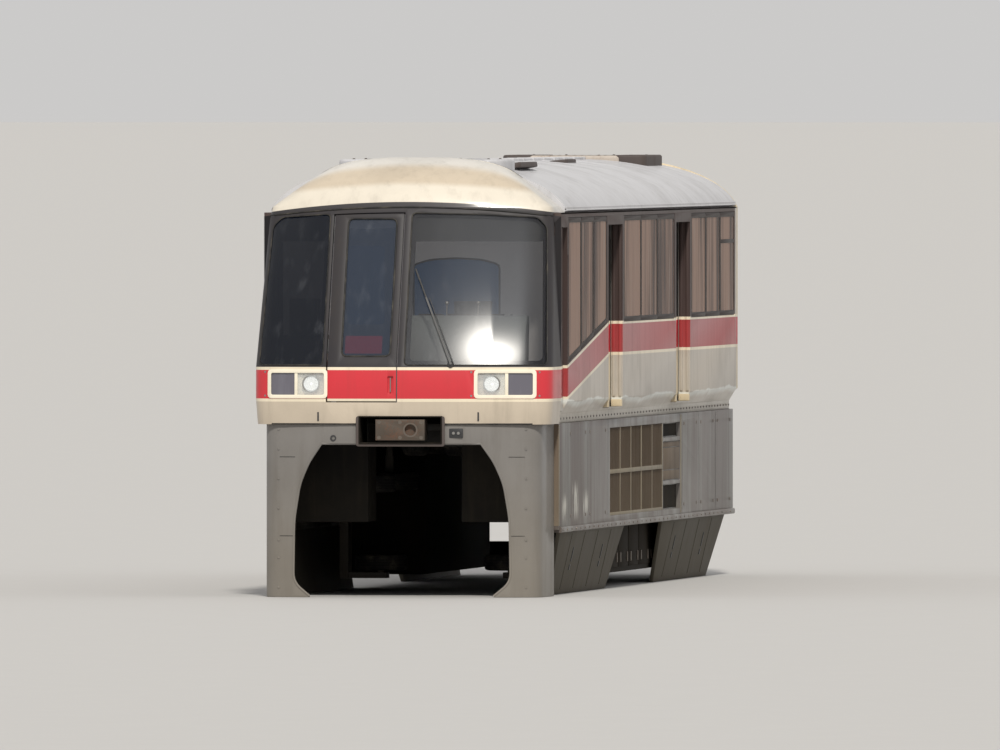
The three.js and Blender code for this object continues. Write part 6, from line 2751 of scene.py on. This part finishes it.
    def lower(self) -> None:
        """Builds the slanted panels with their handles."""
        outer, foot = self.outer, CAR.skirt_foot
        slope = [(outer - self.low_inset - self.low_thick, foot), (outer - self.low_inset, foot),
                 (outer, CAR.ledge), (outer - self.low_thick, CAR.ledge)]
        lean = math.atan2(self.low_inset, CAR.ledge - foot)
        sheets, handles, welds = Form(), Form(), Form()
        for y0, y1 in self.panels:
            sheet = Form.prism(slope, Axis.Y, y0, y1)
            sheet.keep(Form.prism([(y0 + self.end_cut, foot), (y1 - self.end_cut, foot), (y1, CAR.ledge),
                                   (y0, CAR.ledge)], Axis.X, outer - 0.4, outer + 0.1))
            sheets.beside(sheet)
            for part in (0.27, 0.72):
                y = y0 + (y1 - y0) * part
                for z, tall, wide in ((-1.0, 0.075, 0.018), (-1.13, 0.03, 0.03)):
                    x = outer - self.low_inset * (CAR.ledge - z) / (CAR.ledge - foot)
                    grip = Form.box((-0.004, -wide, -tall), (0.007, wide, tall))
                    grip.placed(Matrix.Translation((x, y, z)) @ Matrix.Rotation(lean, 4, "Y"))
                    handles.beside(grip)
            places = [y0 + (y1 - y0) * i / 5 for i in range(1, 5)]
            welds.beside(Form.tubes([[(outer - self.low_inset + 0.0125, y, foot + 0.05),
                                      (outer - 0.0115, y, CAR.ledge - 0.05)] for y in places], 0.004, 6))
        self.put(sheets.bevelled(0.004), "lower_panels", Finishes.panel)
        self.put(handles.bevelled(0.003), "lower_handles", Finishes.dark_trim)
        self.put(welds, "lower_welds", Finishes.panel)

    def build(self) -> None:
        """Builds the skirt."""
        self.upper()
        self.ledge()
        self.lower()


@dataclass
class Underframe:
    """The floor frame with cross bearers, pipes and the lids of the underfloor boxes."""

    shop: Workshop
    box_inner: float = 0.48
    box_outer: float = 1.29
    bearer: Plane = (0.27, 0.351)
    # Front, rear and foot of each pair of boxes.
    boxes: tuple[Point, ...] = ((-7.0, -6.35, -0.65), (-2.4, 2.9, -1.25), (7.02, 7.85, -0.65))
    # Place across, height and radius of each pipe.
    pipes: tuple[Point, ...] = ((-0.34, 0.235, 0.018), (-0.27, 0.235, 0.012), (0.31, 0.23, 0.022),
                                (0.4, 0.24, 0.01))
    wide_bearers: tuple[float, ...] = (-6.3, -2.72, 3.3, 6.75)

    def build(self) -> None:
        """Builds the underframe."""
        Form.of_node("underframe").bevelled(0.003).piece("floor_frame", Finishes.underside, "car_body",
                                                         ["underframe"], 30)
        bearers = Form.bars((-0.478, 0.478), [-2.7 + i * 0.8 for i in range(8)], 0.03, self.bearer)
        width = (-self.box_outer, self.box_outer)
        bearers.beside(Form.bars(width, self.wide_bearers, 0.03, self.bearer))
        bearers.bevelled(0.004).piece("cross_bearers", Finishes.chassis)
        pipes = Form().beside(*[Form.tube([(x, y, z) for y in (-2.8, 0, 3.4)], radius)
                                for x, z, radius in self.pipes])
        pipes.piece("floor_pipes", Finishes.steel)
        lids, ribs, latches = Form(), Form(), Form()
        for y0, y1, foot in self.boxes:
            count = max(1, round((y1 - y0) / 0.88))
            pitch = (y1 - y0) / count
            for sign in (-1, 1):
                inner, outer = sign * self.box_inner, sign * self.box_outer
                for i in range(count):
                    a, b = y0 + i * pitch + 0.03, y0 + (i + 1) * pitch - 0.03
                    lids.beside(Form.box((outer - sign * 0.002, a, foot + 0.05),
                                         (outer + sign * 0.012, b, 0.16)))
                    latches.beside(Form.bars((outer + sign * 0.01, outer + sign * 0.024),
                                             (a + 0.12, b - 0.12), 0.02, (foot + 0.1, foot + 0.2)))
                    ribs.beside(Form.box((inner + sign * 0.04, a + 0.1, foot - 0.006),
                                         (outer - sign * 0.04, a + 0.14, foot + 0.004)))
        lids.bevelled(0.005).piece("box_lids", Finishes.equipment)
        latches.bevelled(0.003).piece("box_latches", Finishes.steel)
        ribs.bevelled(0.002).piece("box_foot_ribs", Finishes.equipment)


@dataclass
class Wheel:
    """A rubber-tyred wheel about one axis: tyre, rim, hub and nuts."""

    shop: Workshop
    name: str
    body: str
    axis: Axis
    centre: Point
    radius: float
    half: float
    rim: float
    replaces: tuple[str, ...] = ()

    def tyre(self, offset: float = 0.0) -> Form:
        """The tyre, with shoulders and grooves.

        Args:
            offset: Its middle along the axis from the centre.

        Returns:
            The shape.
        """
        r, w, rim = self.radius, self.half, self.rim
        side = [(rim, w * 0.72), (rim + 0.012, w * 0.86), (rim + (r - rim) * 0.4, w * 0.985),
                (rim + (r - rim) * 0.66, w), (r - 0.028, w * 0.97), (r - 0.01, w * 0.88),
                (r - 0.002, w * 0.74)]
        groove = [(r, w * 0.62), (r, w * 0.56), (r - 0.008, w * 0.54), (r - 0.008, w * 0.48), (r, w * 0.46),
                  (r, w * 0.2), (r - 0.008, w * 0.18), (r - 0.008, w * 0.12), (r, w * 0.1)]
        rows = [*side, *groove]
        profile = [(a, offset + b) for a, b in rows] + [(a, offset - b) for a, b in reversed(rows)]
        return Form.turned(profile, self.axis, self.centre, 64)

    def hub(self, offset: float = 0.0, way: float = 1.0) -> Form:
        """The dished rim and its hub.

        Args:
            offset: Its middle along the axis from the centre.
            way: The sign of the side that it is dished to.

        Returns:
            The shape.
        """
        rim, w = self.rim, self.half
        rows = [(0, 0.62), (0.05, 0.62), (0.056, 0.3), (rim * 0.4, 0.26), (rim * 0.62, 0.2),
                (rim * 0.82, 0.34), (rim * 0.9, 0.66), (rim * 0.97, 0.74), (rim, 0.78), (rim + 0.012, 0.8),
                (rim + 0.012, 0.7), (rim, 0.66), (rim, -0.66), (rim + 0.012, -0.7), (rim + 0.012, -0.8),
                (rim * 0.95, -0.76), (rim * 0.86, -0.3), (rim * 0.6, 0.0), (rim * 0.4, 0.06),
                (0.06, 0.06), (0.05, -0.5), (0, -0.5)]
        profile = [(a, offset + way * b * w) for a, b in rows]
        return Form.turned(profile, self.axis, self.centre, 48)

    def nut_spots(self, offset: float, way: float, count: int = 8) -> list[tuple[Point, Point]]:
        """Places of the wheel's nuts.

        Args:
            offset: Place of the wheel along its axle.
            way: 1 or -1, the way they face.
            count: How many.

        Returns:
            A place and a facing for each.
        """
        facing = [0.0, 0.0, 0.0]
        facing[self.axis.value] = way
        others = [i for i in range(3) if i != self.axis.value]
        spots = []
        for a, b in ring(self.rim * 0.5, count):
            spot = list(self.centre)
            spot[others[0]] += a
            spot[others[1]] += b
            spot[self.axis.value] += offset + way * 0.235 * self.half
            spots.append((tuple(spot), tuple(facing)))
        return spots


@dataclass
class Bogie:
    """A bogie: frame, springs, wheelsets, guide wheels and stabilising wheels."""

    shop: Workshop
    number: int
    axle: float = 0.75
    run: Point = (0.485, 0.12, 0.29)
    track: float = 0.215
    guide: Point = (0.3, 0.09, 0.17)
    guide_axle: float = 0.9
    steady: Point = (0.27, 0.08, 0.15)

    @property
    def middle(self) -> float:
        """The bogie's centre along the car."""
        return CAR.bogie_centres[self.number - 1]

    def build(self) -> None:
        """Builds the bogie."""
        body = f"bogie_{self.number}"
        Form.of_node(f"bogie_frame_{self.number}").bevelled(0.006, 3).piece(
            f"bogie_frame_{self.number}_welded", Finishes.chassis, body, [f"bogie_frame_{self.number}"], 35)
        profile = [(0, 0.3), (0.2, 0.3), (0.216, 0.308), (0.2, 0.3165), (0.217, 0.325), (0.2, 0.333),
                   (0.212, 0.341), (0.196, 0.3485), (0, 0.3485)]
        rubber = Form.lathed(profile, Axis.Z, [(x, self.middle, 0) for x in (-0.83, 0.0, 0.83)], 40)
        rubber.piece(f"air_springs_{self.number}", Finishes.bellows, body)
        spots, pots = [], Form()
        pot = [(0, 0.285), (0.07, 0.285), (0.075, 0.3), (0.05, 0.32), (0, 0.325)]
        for way in (-1, 1):
            for sign in (-1, 1):
                spots += [((sign * 0.451, self.middle + way * self.axle + dy, z), (sign, 0, 0))
                          for dy in (-0.06, 0.06) for z in (0.33, 0.5)]
                spots += [((sign * x, self.middle + way * self.guide_axle + dy, 0.221), (0, 0, 1))
                          for x in (0.62, 0.74) for dy in (-0.05, 0.05)]
                pots.beside(Form.turned(pot, Axis.Z, (sign * 0.5, self.middle + way * 0.36, 0), 24))
        self.shop.bolts.piece(f"bogie_bolts_{self.number}", spots, Finishes.steel, 0.014, body=body)
        pots.piece(f"brake_pots_{self.number}", Finishes.cast, body)
        for end, way in (("front", -1), ("rear", 1)):
            self.wheelset(end, way)
            for side in Side:
                self.side_wheel(f"guide_wheel_{self.number}_{end}_{side.word}", side, 0.7,
                                way * self.guide_axle, -0.28, self.guide, 0.2897)
        for side in Side:
            self.side_wheel(f"stabilising_wheel_{self.number}_{side.word}", side, 0.67, 0.0, -1.1,
                            self.steady, -0.02)

    def wheelset(self, end: str, way: int) -> None:
        """Builds an axle with its two running wheels.

        Args:
            end: "front" or "rear".
            way: -1 or 1, the same along the car.
        """
        name = f"wheelset_{self.number}_{end}"
        centre = (0.0, self.middle + way * self.axle, self.run[0])
        wheel = Wheel(self.shop, name, name, Axis.X, centre, *self.run)
        tyres = wheel.tyre(-self.track).beside(wheel.tyre(self.track))
        tyres.piece(f"{name}_tyres", Finishes.tyre, name, [name], 40)
        rims = wheel.hub(-self.track, -1).beside(wheel.hub(self.track, 1))
        shaft = [(0, -0.379), (0.055, -0.379), (0.06, -0.37), (0.06, 0.37), (0.055, 0.379), (0, 0.379)]
        rims.beside(Form.turned(shaft, Axis.X, centre, 32))
        rims.piece(f"{name}_rims", Finishes.rim, name, smooth=35)
        nuts = wheel.nut_spots(-self.track, -1, 10) + wheel.nut_spots(self.track, 1, 10)
        self.shop.bolts.piece(f"{name}_nuts", nuts, Finishes.steel, 0.013, body=name)

    def side_wheel(self, name: str, side: Side, x: float, dy: float, z: float, sizes: Point,
                   shaft: float) -> None:
        """Builds a wheel that lies level under the floor.

        Args:
            name: The wheel's node and body.
            side: Its side.
            x: Its place across.
            dy: Its place along, from the bogie's centre.
            z: Its height.
            sizes: Radius, half width and rim.
            shaft: How far the shaft stands out; below when less than 0.
        """
        centre = (side.value * x, self.middle + dy, z)
        wheel = Wheel(self.shop, name, name, Axis.Z, centre, *sizes)
        wheel.tyre().piece(f"{name}_tyre", Finishes.tyre, name, [name], 40)
        way = 1 if shaft > 0 else -1
        end = way * (sizes[1] + abs(shaft))
        hub = wheel.hub(0.0, -way)
        pin = [(0, 0), (0.045, 0), (0.045, end * 0.7), (0.036, end * 0.7), (0.036, end), (0, end)]
        stub = Form.turned(pin, Axis.Z, centre, 24)
        hub.beside(stub).piece(f"{name}_rim", Finishes.rim, name, smooth=35)
        nuts = wheel.nut_spots(0.0, -way, 8)
        self.shop.bolts.piece(f"{name}_nuts", nuts, Finishes.steel, 0.01, body=name)


@dataclass
class Coupler:
    """A coupler: cast head with cone and cup, shank with draft rubbers, pivot."""

    shop: Workshop
    end: str
    way: int
    level: float = 0.295
    reach: float = 8.2

    def build(self) -> None:
        """Builds the coupler."""
        body = f"coupler_{self.end}"
        Form.of_node(body).bevelled(0.007, 3).piece(f"{body}_cast", Finishes.cast, body, [body], 35)
        face = self.way * self.reach
        inward = -self.way
        cone = [(0.0, 0.0), (0.03, 0.003), (0.05, 0.02), (0.056, 0.045), (0.056, 0.09), (0, 0.09)]
        cup = [(0.058, -0.001), (0.074, -0.001), (0.078, 0.006), (0.078, 0.012), (0.058, 0.012)]
        for name, profile, x in (("cone", cone, -0.11), ("cup_rim", cup, 0.105)):
            way_in = [(r, inward * d) for r, d in profile]
            part = Form.turned(way_in, Axis.Y, (inward * x, face, self.level), 36)
            part.piece(f"{body}_{name}", Finishes.steel, body)
        corners = [((inward * x, face + self.way * 0.0005, self.level + z), (0, self.way, 0))
                   for x in (-0.215, 0.0, 0.215) for z in (-0.078, 0.078)]
        self.shop.bolts.piece(f"{body}_bolts", corners, Finishes.steel, 0.014, 0.0004, body=body)
        rings = Form.bars((-0.085, 0.085), [self.way * (7.635 + i * 0.05) for i in range(5)], 0.015,
                          (self.level - 0.082, self.level + 0.07))
        rings.bevelled(0.008, 3).piece(f"{body}_draft_rubbers", Finishes.bellows, body)


@dataclass
class Padding:
    """Cushions swollen by cloth under pressure."""

    voxel: float = 0.014
    pressure: float = 4.0
    cap: float = 0.016
    frames: int = 20

    def swell(self, form: Form) -> bpy.types.Mesh:
        """Swells a block into a cushion.

        Args:
            form: The block, already a little small.

        Returns:
            The cushion's mesh.
        """
        def remesh(thing: bpy.types.Object) -> None:
            """Adds an even mesh."""
            step = thing.modifiers.new("step", "REMESH")
            step.mode, step.voxel_size = "VOXEL", self.voxel

        form.evaluated(remesh)
        mesh = form.mesh("pad")
        form.bm.free()
        thing = bpy.data.objects.new("pad", mesh)
        bpy.context.scene.collection.objects.link(thing)
        cloth = thing.modifiers.new("cloth", "CLOTH")
        cloth.settings.use_pressure, cloth.settings.uniform_pressure_force = True, self.pressure
        cloth.settings.effector_weights.gravity = 0
        cloth.settings.quality, cloth.settings.mass = 5, 0.3
        cloth.point_cache.frame_start, cloth.point_cache.frame_end = 1, self.frames
        scene = bpy.context.scene
        for step in range(1, self.frames + 1):
            scene.frame_set(step)
        graph = bpy.context.evaluated_depsgraph_get()
        swollen = thing.evaluated_get(graph).to_mesh()
        for vertex, moved in zip(mesh.vertices, swollen.vertices):
            shift = moved.co - vertex.co
            if shift.length > self.cap:
                shift = shift.normalized() * self.cap
            vertex.co = vertex.co + shift
        thing.evaluated_get(graph).to_mesh_clear()
        scene.frame_set(1)
        bpy.data.objects.remove(thing)
        return mesh

    def pad(self, mesh: bpy.types.Mesh, name: str, fill: float = 0.75) -> bpy.types.Object:
        """Makes a swollen mesh a padded piece.

        Args:
            mesh: The cushion's mesh.
            name: The piece's name.
            fill: How firm it is, from 0 to 1; not used.

        Returns:
            The piece.
        """
        thing = dress(mesh, name, Finishes.seat, "car_body", smooth=180)
        finer = thing.modifiers.new("finer", "SUBSURF")
        finer.levels = finer.render_levels = 1
        return thing


@dataclass
class Inside:
    """What shows through the glass: desk, driver's seat, partition, benches, poles and lights."""

    shop: Workshop
    pad: Padding = field(default_factory=Padding)
    levers: Plane = (0.4, 0.72)
    screens: Point = (0.22, 0.52, 0.86)
    keys: int = 10
    pane: Plane = (-6.626, -6.614)
    wall_window: tuple[Plane, ...] = ((-0.06, 1.38), (0.82, 1.38), (0.82, 1.96), (0.64, 2.01),
                                      (0.38, 2.025), (0.12, 2.01), (-0.06, 1.96))
    # Left, right, foot and head of the door's light.
    door_light: tuple[float, float, float, float] = (-0.742, -0.358, 1.35, 2.15)
    rims: Plane = (-6.642, -6.598)
    # Half width, length and gap of the benches' cushions.
    bench: Point = (0.245, 0.92, 0.04)
    poles: tuple[float, ...] = (-3.2, -2.06, 2.6, 3.8)
    pole_x: float = 1.05

    def desk(self) -> None:
        """Builds the desk with its screens, keys and levers."""
        desk = Form.of_node("cab_desk").bevelled(0.012, 3)
        desk.piece("desk_body", Finishes.console, "car_body", ["cab_desk"], 35)
        tilt = math.atan2(0.08, -0.1)
        screens = Form()
        for x in self.screens:
            plate = Form.box((x - 0.12, -0.006, -0.055), (x + 0.12, 0.004, 0.055))
            plate.placed(Matrix.Translation((0, -7.505, 1.412))
                         @ Matrix.Rotation(math.pi - tilt - 0.7, 4, "X"))
            screens.beside(plate)
        screens.bevelled(0.003).piece("desk_screens", Finishes.frit)
        key = [(0, 1.448), (0.012, 1.448), (0.012, 1.458), (0.009, 1.462), (0, 1.462)]
        keys = Form.lathed(key, Axis.Z, [(0.16 + 0.1 * i, -7.59, 0) for i in range(self.keys)], 14)
        keys.piece("desk_keys", Finishes.dark_trim)
        rods = [[(x, -7.6, 1.44), (x, -7.59, 1.5), (x, -7.57, 1.56)] for x in self.levers]
        levers = Form.tubes(rods, 0.008)
        knob = [(0, -0.022), (0.016, -0.016), (0.022, 0), (0.016, 0.016), (0, 0.022)]
        levers.beside(Form.lathed(knob, Axis.Z, [(x, -7.57, 1.575) for x in self.levers], 18))
        levers.piece("desk_levers", Finishes.bright)

    def seat(self) -> None:
        """Builds the driver's seat."""
        low = Form.box((0.336, -7.224, 0.918), (0.784, -6.816, 0.984))
        self.pad.pad(self.pad.swell(low), "seat_cushion")
        leaning = [(-6.836, 0.965), (-6.782, 0.965), (-6.70, 1.605), (-6.742, 1.605)]
        back = Form.prism(leaning, Axis.X, 0.356, 0.764)
        self.pad.pad(self.pad.swell(back), "seat_back")
        pan = Form.box((0.33, -7.22, 0.885), (0.79, -6.81, 0.905))
        pan.beside(Form.box((0.372, -7.19, CAR.floor + 0.004), (0.748, -6.83, CAR.floor + 0.04)))
        pan.bevelled(0.008, 3).piece("seat_pan", Finishes.dark_trim, "car_body", ["cab_seat"])
        column = [(0, 0.5), (0.085, 0.5), (0.09, 0.52), (0.06, 0.54), (0.058, 0.86), (0.1, 0.89), (0, 0.89)]
        Form.turned(column, Axis.Z, (0.56, -7.01, 0), 36).piece("seat_column", Finishes.bright)

    def partition(self) -> None:
        """Builds the wall behind the cab with its window and door."""
        # The wall and its window glow a little: painted light.
        Form.of_node("cab_partition").bevelled(0.003).piece("cab_wall", Finishes.cab_wall, "car_body",
                                                            ["cab_partition"], 30)
        window = rounded(self.wall_window, 0.05)
        Form.prism(shrunk(window, 0.001), Axis.Y, *self.pane).piece("cab_wall_glass", Finishes.cab_glass)
        rims = [[(x, y, z) for x, z in window] for y in self.rims]
        Form.tubes(rims, 0.01, 8, closed=True).piece("cab_wall_window_rim", Finishes.seal)
        body = "partition_door"
        light = rounded(rectangle(*self.door_light), 0.05)
        leaf = Form.of_node(body).cut(Form.prism(light, Axis.Y, -6.7, -6.5))
        leaf.bevelled(0.003).piece("cab_wall_door", Finishes.inside, body, [body], 30)
        glass = Form.prism(shrunk(light, 0.001), Axis.Y, *self.pane)
        glass.piece("cab_wall_door_glass", Finishes.cab_glass, body)
        knob = Form.tube([(-0.3, y, 1.1) for y in (-6.605, -6.59, -6.58)], 0.016, 12)
        knob.piece("cab_wall_door_knob", Finishes.bright, body)

    def saloon(self) -> None:
        """Builds the benches over the wheels, poles, lights and the floor covering."""
        covering = Form.box((-1.35, -7.15, CAR.floor + FIT), (1.35, 7.9, CAR.floor + 0.0045))
        for centre in CAR.bogie_centres:
            covering.cut(Form.box((-0.6, centre - 1.48, 0.3), (0.6, centre + 1.48, 0.6)))
        covering.piece("floor_sheet", Finishes.lining)
        half, length, gap = self.bench
        coarse = Padding(voxel=0.026)
        seat = coarse.swell(Form.box((-half, -length / 2, 0.0), (half, length / 2, 0.075)))
        back = coarse.swell(Form.box((-0.03, -length / 2, 0.0), (0.03, length / 2, 0.52)))
        for number, centre in enumerate(CAR.bogie_centres, 1):
            name = f"wheel_housing_{number}"
            casing = Form.of_node(name).cut(Form.box((-0.6, centre - 1.6, 1.081), (0.6, centre + 1.6, 1.8)))
            casing.beside(Form.box((-0.03, centre - 1.44, 1.08), (0.03, centre + 1.44, 1.69)))
            casing.bevelled(0.01, 3).piece(f"{name}_casing", Finishes.inside, "car_body", [name], 35)
            for sign in (-1, 1):
                for i in range(3):
                    spot = centre + (i - 1) * (length + gap)
                    for mesh, x, z, word in ((seat, 0.325, 1.085, "seat"), (back, 0.075, 1.17, "back")):
                        copy = mesh.copy()
                        copy.transform(Matrix.Translation((sign * x, spot, z)))
                        self.pad.pad(copy, f"bench_{word}_{number}_{'LR'[sign > 0]}_{i + 1}")
        sides = (-self.pole_x, self.pole_x)
        poles = Form.tubes([[(x, y, z) for z in (0.475, 1.5, 2.74)] for y in self.poles for x in sides],
                           0.016, 14)
        poles.beside(Form.tubes([[(x, y, 2.3) for y in (-6.4, 0, 7.6)] for x in sides], 0.014, 12))
        poles.piece("grab_poles", Finishes.bright)
        lights = Form.boxes(((x - 0.09, -6.3, 2.775), (x + 0.09, 7.7, 2.8)) for x in (-0.55, 0.55))
        lights.bevelled(0.006).piece("ceiling_lights", Finishes.light)

    def build(self) -> None:
        """Builds what is inside."""
        self.desk()
        self.seat()
        self.partition()
        self.saloon()


def main() -> None:
    """Builds the scene in order."""
    logging.basicConfig(level=logging.INFO, format="%(message)s")
    PhotoCamera().build()
    Studio().build()
    shop = Workshop()
    CabFace(shop).build()
    LowerMask(shop).build()
    for side in Side:
        SideWall(shop, side).build()
        SlidingDoors(shop, side).build()
        CrewDoor(side).build()
        SideSkirt(shop, side).build()
    Roof(shop).build()
    RearEnd(shop).build()
    Underframe(shop).build()
    for number in (1, 2):
        Bogie(shop, number).build()
    Coupler(shop, "front", -1).build()
    Coupler(shop, "rear", 1).build()
    Inside(shop).build()


if __name__ == "__main__":
    main()
